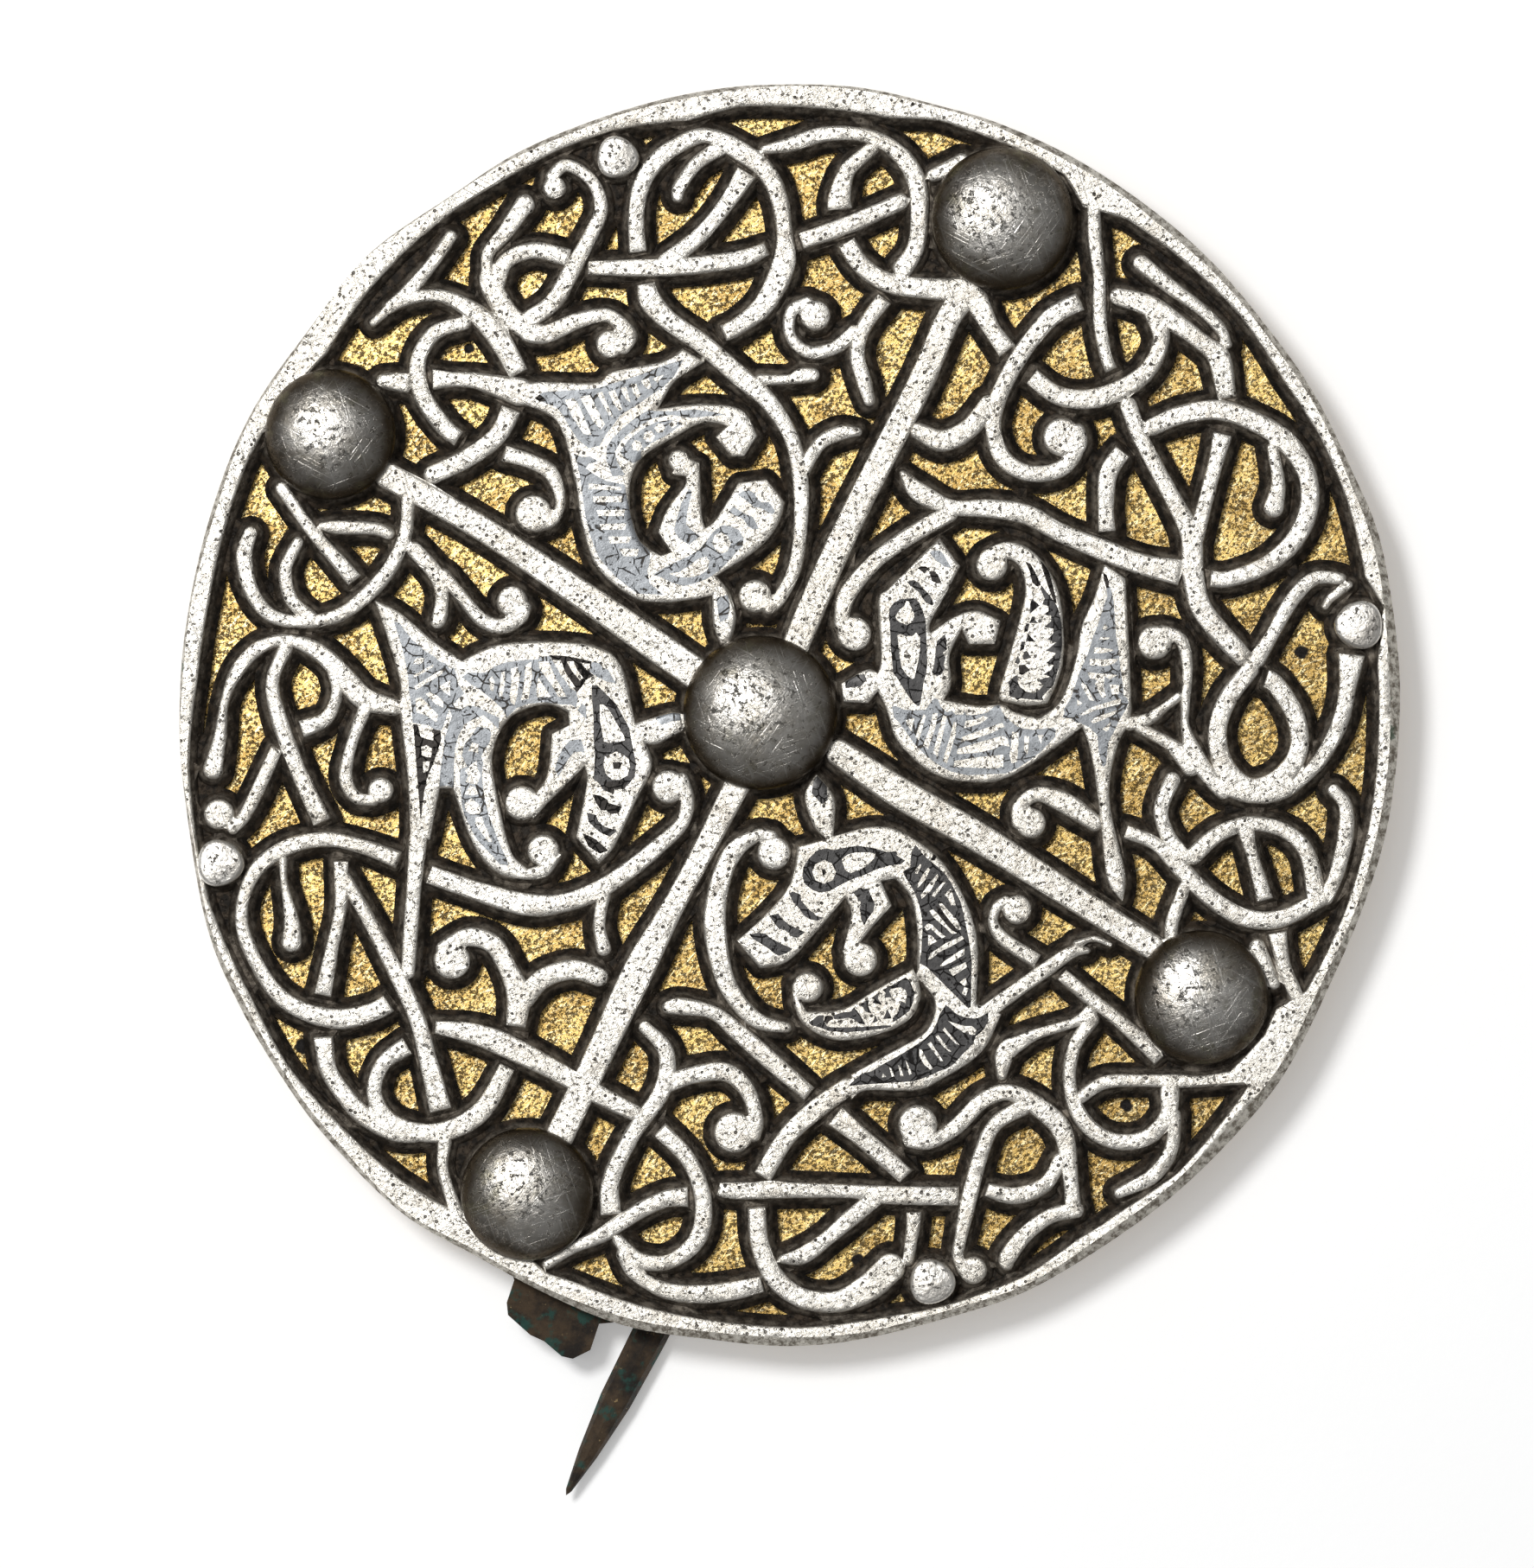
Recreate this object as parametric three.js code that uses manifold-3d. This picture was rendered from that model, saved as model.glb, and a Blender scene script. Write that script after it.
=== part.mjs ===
// Disc brooch: a carved openwork plate over a plain base plate, held together by five domed
// rivets and four small ones, with a pin, its hinge and a catch on the back.
// Millimetres, +Z out of the decorated face. The origin is on the disc's axis, in the flat of the
// middle rivet's wide head on the back.
import * as THREE from 'three';
import { mergeVertices } from 'three/addons/utils/BufferGeometryUtils.js';
import Module from 'manifold-3d';

const wasm = await Module();
wasm.setup();

// Thicknesses and heights, measured here from the back of the base plate.
const BASE_THICKNESS = 0.8;
const PLATE_THICKNESS = 2.2;
const CARVING_DEPTH = 1.35;
const PLATE_TOP = BASE_THICKNESS + PLATE_THICKNESS;
const VALLEY_FLOOR = PLATE_TOP - CARVING_DEPTH;
const BASE_INSET = 0.45;

// A valley is cut right through where it is wider than this on each side of its middle line.
const VALLEY_SIDE_RUN = 0.95;

// Rivets: shank, its clearance hole and the hammered head on the back.
const SHANK_RADIUS = 1.1;
const SHANK_CLEARANCE = 0.4;
const SMALL_SHANK_RADIUS = 0.75;
const BACK_HEAD_RADIUS = 1.95;
const WIDE_BACK_HEAD_RADIUS = 4.2;
const BACK_HEAD_BEVEL = 0.6;
const BACK_HEAD_HEIGHT = 0.7;
const SMALL_BACK_HEAD_RADIUS = 1.4;
const SMALL_HEAD_HEIGHT = 0.7;
const BOSS_EDGE_HEIGHT = 0.35;
const BOSS_SIDES = 14;
const BOSS_DOME_RINGS = 3;
const SMALL_RIVET_SIDES = 8;
const BOSS_SEAT_MARGIN = 0.3;

// Domed rivets: node name, centre, radius and height of the dome, and radius of the back head.
const BOSSES = [
  ['center_boss', -2.3, 0.1, 6.15, 3.3, WIDE_BACK_HEAD_RADIUS],
  ['boss_upper_left', -36.6, 22.3, 5.2, 2.8, BACK_HEAD_RADIUS],
  ['boss_upper_right', 17.0, 39.5, 5.7, 3.0, BACK_HEAD_RADIUS],
  ['boss_lower_right', 32.9, -22.6, 5.35, 2.8, BACK_HEAD_RADIUS],
  ['boss_lower_left', -20.9, -38.3, 5.3, 2.8, BACK_HEAD_RADIUS],
];

// Small flat-headed rivets: node name, centre and head radius.
const SMALL_RIVETS = [
  ['rivet_top_left', -13.7, 44.4, 1.75],
  ['rivet_right', 45.5, 7.1, 2.0],
  ['rivet_left', -45.4, -11.9, 1.95],
  ['rivet_bottom', 11.4, -45.3, 1.9],
];

// Pin and its hinge on the back.
const HINGE_CENTER = [26, 21.5];
const PIN_TIP = [-17.9, -62.7];
const AXLE_DEPTH = 2.6;
const AXLE_RADIUS = 0.6;
const AXLE_LENGTH = 7.6;
const AXLE_CLEARANCE = 0.35;
const PIN_EYE_RADIUS = 1.75;
const PIN_EYE_WIDTH = 2.4;
const PIN_FLATTENING = 0.75;
const PIN_SIDES = 8;
const HINGE_PAD = [7.0, 8.0, 0.8];
const EAR_THICKNESS = 1.1;
const EAR_GAP = 3.4;
const EAR_WIDTH = 4.2;
const BACK_REACH = 4.4;

// Catch: a strip flat on the back that runs out past the rim, with a hook at its end.
const CATCH_THICKNESS = 1.1;
const HOOK_WALL = 1.2;
const CATCH_OUTLINE = [
  -23,-41.6, -22,-45.3, -22.6,-47.1, -22.5,-48.1, -20.7,-49.7, -19.6,-50.2, -18.2,-51.4,
  -17.3,-51.6, -15.9,-50.9, -15.2,-48.8, -13,-48.6, -12.2,-46.5, -15.2,-41.4,
];
const HOOK_FOOT = [-18.9,-46.8, -18.6,-50.9, -17.3,-51.6, -15.9,-50.9, -15.6,-46.8];

// Rim: its outer outline and the inner edge of its flat top, round the disc from the top.
const RIM_OUTER = [
  0,50.3, 6,50, 12,48.6, 17,47.1, 23,44.3, 29,40.3, 34,35.9, 38.6,30.4, 42,25.5, 45,19.4, 47.2,14,
  48.5,6.5, 48.8,0, 48,-8, 46.2,-14.5, 43.5,-21, 40.1,-27.9, 36.6,-32.6, 31,-38.2, 25,-42.6, 19,-46.1,
  13.5,-48, 6,-49.9, 0,-50.5, -6,-50, -13,-48.9, -19,-46.5, -25,-43.3, -31,-39.8, -37,-33.8,
  -40.6,-28.9, -43.9,-23.3, -46.5,-17, -48.1,-8, -48.7,-1, -48.2,7, -46.2,16, -43,24, -38,31.2,
  -33.5,36.8, -27,41.4, -21,45.2, -13,48.3, -6,49.9,
];
const RIM_INNER = [
  0,48.5, 5,48.1, 8,47.6, 12,47.4, 16,46, 20,44.3, 22,43, 23.5,40.5, 27,39.5, 31.5,36.2, 36,31.9,
  39.5,26.6, 42.5,22, 44.5,17.3, 46,11, 47.5,8.5, 47,4, 47.1,-1, 46.5,-8, 44.7,-15, 42.6,-19.8,
  41.3,-22.1, 38.9,-23.6, 38,-25.6, 35.3,-28.5, 36.7,-29.7, 34.5,-32.7, 31,-36.7, 27,-39.4, 23,-42,
  18.8,-44.9, 13,-47.1, 8,-48.1, 1,-49, -5,-48.6, -12,-47.2, -17,-45.4, -19.4,-44.6, -20.4,-43.7,
  -23.5,-42.8, -26.2,-40, -31,-37.2, -36.1,-32.6, -40,-28.1, -43,-22.5, -46.3,-15, -47.6,-8, -47.9,-4,
  -47.2,3, -46.3,9, -45,15, -43.3,20, -42,22.5, -36.9,28.8, -33.8,33.5, -31,36.6, -27,40, -23,42.5,
  -18.5,45, -14,46.6, -8,47.4, -4,48.5,
];

// Ridges of the interlace, each a middle line of x, y and width of the flat top. The two letters
// say how its ends are cut: r round, f flat where it dips under the ridge that crosses it.
const TOP_STRANDS = [
  ["rf", -33.2,31.2,.5, -31,32.9,.85, -28,33.4,.9, -25.3,32.2,1.4, -23.3,30.2,1.7, -21.6,27.2,1.5],
  ["rr", -27,38.1,.9, -28.5,35.9,.9, -30.6,33.5,1, -31.8,32.5,.9],
  ["rf", -25.9,31.2,1, -28.3,30.4,1.1, -29.6,28.2,1.2, -29.3,25.5,1.3, -27.6,23,1.3, -26.4,22,1.2],
  ["rf", -32.4,26.6,1, -31.3,26.5,1.4, -30.3,26.4,1.5],
  ["fr", -28.4,26.7,1.5, -26.8,26.7,1.1, -25,26.6,1.2, -23,26.1,1.7, -21.5,25.7,2.1],
  ["fr", -22.2,24.3,1.5, -23.2,22.3,1.4, -25.5,20.5,1.4, -28.4,19.1,1.4],
  ["rr", -30.4,17.5,1, -30.6,14.5,.95, -31.7,11.9,1.05, -33.4,9.8,1.1, -35.7,8,1, -38.5,7.35,.9,
    -41.3,7.85,1, -42.9,9.8,1.1, -43.5,12.5,1.2, -43,14.4,1],
  ["rr", -29.9,13.1,1.2, -28.2,11.2,1.2, -27.7,9.5,1, -27.9,7.7,1.1, -28.1,7.3,.9],
  ["rr", -27.6,11,1.1, -26.3,9.6,.9, -24.6,7.6,1, -23,7,1.1, -21.5,7.7,1.1, -21.1,8.5,.9],
  ["rf", -40.5,18,.9, -38.1,14.6,.9, -35.9,12.1,1.1, -34.7,10.7,1.2],
  ["rr", -37.3,15,.5, -36,14.9,1, -33.1,14.8,.9, -32,14.4,.9],
  ["rr", -39.2,13.7,.8, -40.2,11.5,.95, -39.7,9.1,1, -38.2,7.7,1],
  ["rr", -21.1,40.7,1.4, -22.6,38.5,1.2, -24,36.8,.9, -24.1,35.4,.9, -23.8,34.2,1.6, -22.4,31.9,1.6,
    -20.5,30.4,1.5],
  ["fr", -17.6,36.4,1.3, -20.3,37,1.2, -22.6,36.1,1.2, -23.4,34,1.2],
  ["rr", -18.9,42.9,.9, -17.7,43.8,.9, -15.7,42.5,.9, -15,40.3,1, -15.9,38.1,1.1, -17.6,34.9,1.3,
    -18.9,32.8,1.3, -20.9,31.4,1.3],
  ["rr", -20.8,30.5,1.5, -19.3,30.35,1.4, -16.8,31.4,1.2, -14.4,31.8,1, -12.9,30.3,1.3, -13.2,29.3,1.1],
  ["rf", -20.2,15,.9, -18.8,15.5,.8, -18.25,17,.7, -18.9,19.1,1.1, -20.5,20.1,1.1, -22.7,20.8,1.2],
  ["ff", -12.05,36.9,1.3, -12.2,39.5,1.2, -11.8,42.1,1.25, -10.4,44.3,1.3, -7.9,45.9,1.2, -6.2,46.1,1.1,
    -4.2,45.1,1.5, -2,43.5,1.4, -.8,41.2,1.3, -.35,38.2,1.2, -.45,35.8,1.8, -1.9,32.8,1.6, -4,31,1.3,
    -5.2,30.4,1.3],
  ["rr", -5.3,45.3,1.2, -7.3,44,1, -8.7,42.1,.95, -8.9,41.3,.8],
  ["fr", -3.4,43.2,1.6, -5,40.7,1.2, -7.1,38.2,1.2, -9.8,36.1,1.3],
  ["ff", -16,35.6,1, -12.5,35.6,1.3, -8.5,35.7,1.3, -4,36.3,1.3, -1.8,37.1,1],
  ["fr", -11.4,34.3,1.3, -11,32.9,1.7, -9.5,31.3,1.5, -7,29.6,1.5, -4,27,1.5, -1.6,24.9,1.3, .2,22,1.1,
    .95,18.5,1.2, .9,14.5,1, .4,11.5,1, -.7,9.3,1, -1.6,8.5,1],
  ["rr", -2.3,26.7,.8, 0,26.7,.7, 1,27,1.1, 1.9,27.05,1],
  ["rr", 1.5,32.8,.9, .2,32.1,.9, .1,30.2,.8, 1.5,28.9,.9, 3.6,29.2,.95, 5.2,30.5,1],
  ["fr", 7.6,33.1,1.2, 6,30.9,1.1, 5.45,28.7,1.1, 6,26.5,1.1, 6.4,25,.8],
  ["rr", 1.2,19.5,1, 2.4,21.5,1, 4,22.4,1.1, 5.5,22.5,.6],
  ["rr", -2,45.05,.5, .3,45.5,1.1, 3,46.3,1.1, 6.5,46.1,1, 8.9,44.6,1.3, 10.2,42.4,1.4, 10.4,39.8,1.3,
    10.1,37.2,1.3, 9.1,35.6,1.5],
  ["rf", 6.6,45.1,1, 4.7,43.4,1.2, 4.05,41.3,1.7, 4.05,40.3,1.9],
  ["fr", 1,37.75,1.25, 5,39.15,1.3, 8.9,40.9,1.2],
  ["fr", 4.6,37.6,1.4, 5.9,35.7,1.4, 8.3,34.3,1.5, 12,33.9,1.6, 13.6,33.9,1.8],
  ["rr", 11.5,43,.9, 13.8,44,1.3],
];

const RIGHT_STRANDS = [
  ["rf", 15,33,1.8, 16.2,30.7,1.3, 17.4,29,1.5],
  ["fr", 23.2,32.9,1.4, 21.1,31.8,1.4, 19.3,29.8,1.3, 17.9,27.7,1.3, 16.7,25.2,1.3, 16.3,22.8,1.2,
    17.1,20.4,1.3, 19.2,19.2,1.2, 21.8,19.6,1.2, 23.2,21.4,1, 23,22.5,1.2],
  ["rr", 10.3,22.6,1.2, 12.3,21.8,1.6, 14.4,22.8,1.5, 15.9,24.7,1.4],
  ["fr", 19.4,26.9,1.3, 21.3,25.5,1.4, 23.7,25.1,1.5, 26.3,25.8,1.5, 28.6,27.4,1.3, 29.7,29.8,1.2,
    29.2,32,1.6],
  ["rf", 24.3,41.2,.9, 24.4,38,1, 24.75,35,.9, 24.8,31.5,1, 25.25,28.7,.9, 25.7,27.5,.9],
  ["rf", 26.3,33.3,1.3, 28.7,32.6,1.6, 31.2,31,1.4, 33.3,29.4,1.3, 34.3,28.5,1.7, 34.8,26.2,1.5,
    34.95,25.3,1.4],
  ["rr", 28.1,36,1.2, 30.3,34.2,1.1, 32.5,32.6,.9, 34.4,30.8,.8, 35,29.5,.6],
  ["rf", 27.1,24.6,1.3, 28,22.2,1.2, 29.4,19.5,1.2, 30.9,16.7,1.3, 32.1,14.2,1.6, 32.25,11.2,1.6,
    32.9,8.5,1.6, 34.7,6.2,1.6, 36.4,4.4,1.4],
  ["fr", 34.6,22.3,1.4, 34,19.8,1.1, 33.2,16.8,1.1, 32.5,14,1.2],
  ["ff", 26.6,20.9,1.3, 25.5,19.2,1.4, 25.3,16.5,1.2, 25.4,14.6,1.3],
  ["rf", 9.05,19.2,.4, 10.4,17.7,1.5, 13,16.5,1.1, 16,16.4,1.4, 19,15.9,1.5, 21.8,14.4,1.4, 25,13.1,1.6,
    28.3,11.9,1.6, 31.2,11.3,2],
  ["rr", 4.2,7.2,1.1, 4.6,9.4,1.3, 6.9,12.2,1.2, 9.8,14.3,1.3, 12.8,16,1.3],
  ["rf", 29,22.9,1.3, 31.4,23.9,1.4, 34.3,24.25,1.5, 37,23.4,1.5, 39.6,21.8,1.6, 41.3,19.3,1.4,
    41.5,16.4,1.4, 40.3,13.8,1.4, 38.1,11.9,1.3, 35.2,10.8,1.2, 33.7,10.8,1.2],
  ["rr", 38.6,21.2,.8, 39.05,18.5,1, 38.7,16.5,1.5],
  ["rr", 29.8,6.6,.9, 31.3,5.9,.9, 31.8,3.8,.8, 31.65,.7,.6, 31.65,-1,.6, 32.3,-3.1,1.3, 33.7,-5.2,1.2,
    34.7,-6.1,1.3],
  ["rr", 27.2,-.8,1, 28.7,-.4,.9, 30.2,.7,.6, 31.1,1.4,.6],
  ["rr", 28,-1.1,.8, 30.2,-2.3,.9, 31.2,-3.1,1.3, 32.1,-4.2,1.4],
  ["rr", 42.8,8.6,.5, 43.3,9.3,.6, 44.7,10.3,.5],
  ["rf", 44,10.8,.8, 41.9,10.8,1, 40.1,9,1.1, 38.5,6.2,1, 37,3.8,1.3, 35.1,1.3,1.4, 34.2,-1.4,1.4,
    34.8,-4.2,1.5, 36.8,-6,1.7, 39.3,-5.1,1.6, 40.7,-2.8,1.4, 40.4,-.1,1.4, 38.9,2.3,1.4, 38.1,2.8,1.4],
  ["fr", 44.9,4.7,2, 44.6,2.2,1.3, 44.1,-.3,1.2, 42.9,-2.9,1.1, 41.2,-5,.9, 39.2,-6.5,.7, 36.8,-6.6,.9,
    34.4,-5.8,1],
  ["rr", 43.5,-6.1,.9, 44.4,-7.3,1, 44.45,-9.5,1.2, 43.8,-12.5,1.1, 42.9,-14.7,1],
  ["rr", 32.3,-11.3,1.3, 34.4,-9.5,1.2, 37,-8.75,1.1, 39.7,-9.4,1.1, 41.4,-11.2,1.2, 42.1,-14.6,1.4],
  ["rf", 36.5,-9.4,1.3, 36.9,-11,.9, 38,-14.8,1.2],
  ["fr", 26.9,-9.4,1, 29.3,-10.4,1, 31.5,-12.6,1.3, 33.7,-14.7,1.3, 36.2,-16.2,1.4, 39.2,-16.35,1.3,
    42.4,-14.8,1.1],
  ["rr", 30.6,-5.3,1.2, 29.7,-7.6,1.1, 30.2,-9.6,1.1, 31.4,-11.4,1.3],
  ["rr", 24.4,-8.7,1.2, 22.2,-7.2,1.6, 19.9,-6.4,1.1, 18.4,-7.4,1, 18.3,-8.7,.9],
];

const BOTTOM_STRANDS = [
  ["rr", 15.6,-23.9,1.2, 18.1,-22.1,1.1, 20.5,-20.4,1.1, 22.6,-19,.9, 23.8,-18.9,.4],
  ["rr", 22.9,-18.3,.35, 24.4,-17.95,.4, 25.6,-18.4,.3],
  ["fr", 19.8,-19.7,1.1, 17.3,-18.1,1, 16.3,-16.7,.7, 16.6,-15.4,.7, 17.3,-14.9,.7],
  ["ff", 21.8,-20.8,1, 23.8,-22.5,1, 25.9,-24.1,1, 27.7,-25.7,1.1, 29.5,-27.6,.9],
  ["rr", 24,-23.8,1, 22.8,-24.6,.7, 19.9,-25.5,.8, 18.5,-26.2,1.1, 17.3,-27,1.5, 17,-28.8,.7],
  ["rr", 24.2,-24.4,1, 22.8,-26.5,1, 22.4,-29.5,.95, 23.4,-32.3,1.2, 25.6,-34,1.2, 28.4,-33.9,1.2,
    30.2,-32.1,1.2, 30.4,-30.2,1.5],
  ["rr", 23.3,-30.6,.9, 25.2,-29.4,1, 28,-29.25,.9, 31,-29.3,1, 33,-29.3,.8, 36.6,-28.9,1.2],
  ["rr", 30.8,-32,.9, 30.5,-34.8,1, 29,-36.9,1.1, 26.4,-38.2,.8],
  ["rr", 9.8,-33.9,1.4, 11.2,-34.2,1, 13.4,-32.9,1.2, 15.4,-30.9,1.2, 17.6,-30.2,1.2, 20.1,-31.5,1.5,
    21.9,-33.5,1.5, 22.5,-37.3,1.1, 22.7,-39.6,1.2],
  ["rr", 18.7,-31.4,1.2, 16.5,-32.7,1.1, 15.4,-34.9,1.1, 14.4,-38.6,1.2, 13.6,-42.3,.9, 13.5,-43.3,.8,
    13.9,-44.3,.9],
  ["rf", 21.6,-35.6,1, 20.5,-37.5,1.1, 18.1,-38.45,1.3, 15.8,-37.95,1],
  ["rr", 22.9,-39.6,1.2, 20.8,-40.1,1.1, 18.8,-41.6,1.2, 17.5,-43.3,1.3, 17.4,-43.9,.9],
  ["rr", 31.6,-13.8,.9, 30.6,-16.5,1, 30.5,-17.7,.9],
  ["fr", 39,-17.5,1.4, 39.5,-20,1, 40.5,-22.5,1.1],
  ["rr", 37.4,-18.6,1.2, 38.7,-21.5,.9],
  ["rf", -9.6,-23.4,.9, -8.6,-23.35,1.3, -6.1,-23.8,1, -4.2,-25.3,1.3, -1.2,-27.9,1.4, 1.6,-30.3,1.2],
  ["fr", -2.1,-36.9,1.4, -.2,-33.8,1.4, 2.1,-31.6,1.5, 4.6,-29.8,1.4],
  ["ff", -5.6,-37.9,.9, -4.3,-38.05,1.3, 0,-38,1.2, 5,-38.1,1, 8,-38.4,1.4, 13.5,-38.5,1.4],
  ["rr", 7,-38.6,1.2, 5.1,-40.1,1.3, 3,-41.9,1.1, 1.1,-43.2,1.3, -.5,-43.5,.6],
  ["fr", -2.6,-39.4,1.35, -2.3,-42.4,1.4, -1.1,-45,1.5, 1,-46.6,1.5, 3.8,-46.9,1.6, 6.3,-45.8,2.1,
    8.1,-44.2,2.2],
  ["fr", 9.95,-39.8,1.1, 9.9,-41.1,1, 9.5,-43.6,.8],
  ["ff", 3.7,-32.1,1.7, 5.8,-33.8,1.4, 7.9,-35.6,1.4, 9.3,-36.9,1.3],
  ["rf", -19.3,-43.9,.7, -17.2,-42.6,.8, -15,-41.6,1.1, -12,-39.7,1.2, -9.8,-38.7,1.3, -8.1,-38.55,1.5],
  ["rf", -13.6,-42,.8, -12,-43.6,1.2, -9.6,-43.7,1.1, -7.5,-42.2,1.3, -6.8,-39.8,1.3, -7.2,-37.3,1.2,
    -8.3,-35.2,1.2, -10.3,-33.2,1.3],
  ["rf", -13.1,-43.1,1.2, -12.4,-44.6,1, -9.9,-46,1.2, -7,-46.3,1.4, -4.3,-46,1.4, -2.2,-45.5,1.2],
];

const LEFT_STRANDS = [
  ["rr", -46,-4.4,1.5, -45.4,-1.8,.9, -45.05,1,.6, -44,3.5,1, -42.3,5.3,1, -40.1,5.9,.8, -37.6,5,1.3,
    -35.7,3.2,1.5, -34,1.3,1.7, -31.5,.55,1.2],
  ["rf", -40.2,5.2,1, -41.25,2.5,1, -40.6,-.7,1.2, -39.1,-4.7,1.2, -37.3,-8.6,1.4],
  ["fr", -38.9,-1.2,1.3, -36.9,-.3,1, -36.1,1.7,.8, -36.4,3.8,1.1],
  ["fr", -40.9,-2.8,.9, -42.4,-6.1,1, -43.5,-8.2,.9, -44.4,-9.1,.9],
  ["rr", -33.9,.3,1, -34.9,-2.4,.8, -35.4,-5,1, -34.6,-6.6,.9, -33.2,-6.9,.8],
  ["ff", -31.2,-11.65,1.3, -34,-10.6,1.1, -37,-10,1.1, -40,-10.6,1.2, -42.4,-12.3,1.1, -43.6,-15,.9,
    -43.4,-17.9,1, -41.3,-21.8,1.1, -39,-23.6,1.3, -36,-24.35,1.5, -33.3,-23.8,1.4, -32,-23.1,1.4],
  ["rr", -40.4,-11.6,.6, -40.3,-13.5,.5, -39.7,-16.5,1.1, -39.7,-18.2,1.5],
  ["ff", -35.75,-11.8,1.1, -35.8,-15.5,.9, -36.4,-18.4,.95, -37.2,-22.4,1.3],
  ["rf", -35.4,-13.2,1, -33.3,-16.9,1, -31.4,-20.6,1.2, -29.7,-24.3,1.2, -28.7,-28,1.4, -27.8,-31.6,1.7],
  ["fr", -37.15,-25.8,1.5, -36.8,-28.3,1.3, -35.5,-30.4,1.3, -33.9,-32.1,1.4, -31.5,-33.3,1.5,
    -30,-33.5,1.4],
  ["ff", -30.5,-26.5,1.4, -32.4,-27.9,1.1, -33.1,-30.3,1.1, -31.8,-32.5,1.2, -29,-33.45,1.4,
    -26.3,-32.9,1.5, -24.2,-31.3,1.5, -22.5,-28.2,1.2],
  ["rr", -29.6,-10,1.4, -29.95,-14,1.1, -30.25,-18,1.1, -30.4,-20.6,1],
  ["fr", -28.7,-12.8,1.4, -25.6,-13.9,1.4, -21.1,-15.2,1.7, -18.1,-15.1,1.4, -15.3,-14.1,1.4,
    -12.8,-12.5,1.3, -10.6,-10.7,1.2, -8.6,-8.8,1, -8.1,-6.9,1, -8.5,-5.2,.9],
  ["rr", -14.8,-14.5,1, -15.15,-16.8,.9, -14.8,-18.7,1.1],
  ["rf", -27.6,-18.7,1, -25.6,-17.8,1.4, -23.6,-18.4,1.4, -22.4,-20.4,1.4, -21.6,-22.5,1.8,
    -21.8,-24.9,1.5],
  ["rr", -21.2,-22.8,1.6, -19.6,-21.1,1.5, -17.2,-20.4,1.5, -15.2,-21,1.4],
  ["fr", -28.2,-25,.9, -25.2,-25.5,1.6, -22.3,-26.6,1.8, -18.6,-28.5,1.5, -14.6,-30.7,1.4,
    -12.4,-31.8,1.2],
  ["rf", -11.5,-25,.9, -9.8,-27,1.2, -10.1,-30,1.3, -12.5,-33.6,1.2, -14.2,-37.2,1.35, -14.2,-39.9,1.6],
  ["rr", -9.9,-29.6,1.3, -7.6,-28.8,1.3, -5,-28.6,1.4, -3.3,-30.1,1.2, -2.6,-32.4,1, -2.8,-33.6,1],
  ["rr", -1.4,-9.8,.9, -2.6,-9.7,.9, -4.5,-11.1,1.4, -5.6,-13.9,1.5, -5.9,-17.2,1.7, -5,-21.4,1.4,
    -2.8,-24.3,1.2, -.2,-25.05,.7],
  ["rr", -27.5,-34.2,1, -27.6,-36.5,.8, -26.5,-39.9,1],
];

const CURL_DISCS = [
  -22.1,9,1.15, -21.1,40.6,.75, -18.7,42,.85, -14.3,29.5,1.05, -20.4,16,1.4, -2.7,9.4,1.25,
  2.1,31.8,1.15, 21.8,22.1,1.45, 5.2,6.4,1.3, 29.2,5.7,1.3, 19.3,-8.7,1.15, 18.2,-15.6,1.1,
  10.3,-32.8,1.5, 14.7,-44.4,1.05, -45.5,-8,1.15, -32.6,-6.1,.95, -9.6,-5.8,1.25, -26.9,-19.7,1.4,
  -4.4,-33.4,1.55, -1.2,-11.1,1.25, -8.8,20.2,.8, 16.2,11.9,1.2, 5.7,-19.6,1.3, 1.5,-21.8,1.15,
  -21.3,-7.1,1.3, -19.6,-10.9,1.2,
];

const CROSS_ARMS = [
  ["rr", -32,19,2, -25,15.1,1.9, -18,10.5,2.1, -11,5.7,2.4, -6,2.2,2.4],
  ["rr", 14.3,33.6,2, 12.7,31.5,1.9, 10.4,26.2,2, 5.6,16.8,2, 2.8,10.8,2.1, .6,5.6,2.1],
  ["rr", 4,-3.1,2, 9,-6.4,2.4, 15.4,-10,2.3, 22.5,-14.5,2, 29,-18.6,1.9],
  ["rr", -4.1,-5.6,2, -6.6,-10.5,1.7, -9.2,-15.3,1.7, -12,-20.5,2.4, -15.3,-27.5,2.1, -18.2,-33.5,2.2],
];

const TOP_BEAST = [
  -20.6,26.4, -15.5,26.4, -14,27.3, -10,28.1, -8.5,29.1, -6.8,28.1, -9,26.7, -9.9,25.4, -10.5,24.3,
  -6.8,24.7, -3.8,24.2, -2.6,22.2, -3.6,20.6, -4.6,20.6, -5.8,22.1, -4.8,23, -6.8,23.3, -9,22.2,
  -12,20.2, -12.8,17.2, -12,13.9, -10.2,12.6, -9.3,12.9, -10.4,14.5, -9.7,16.3, -8.3,18.2, -8.2,19,
  -9.3,19.2, -8.6,20.6, -7.2,20, -7,16, -6.7,14.8, -5.8,15.5, -4,18.4, -1.8,18.7, -.4,16.9, -1.1,14.8,
  -2.8,13, -5.9,11, -5,10, -4.3,8, -4.7,6, -5.4,5.6, -6,7.2, -6.1,9.5, -7.5,9.2, -10,8.95, -12.5,9.4,
  -15.3,11.8, -16.5,15.2, -17,18.5, -18.1,22.6, -19.5,24.1, -22.8,25.2,
];

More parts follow.
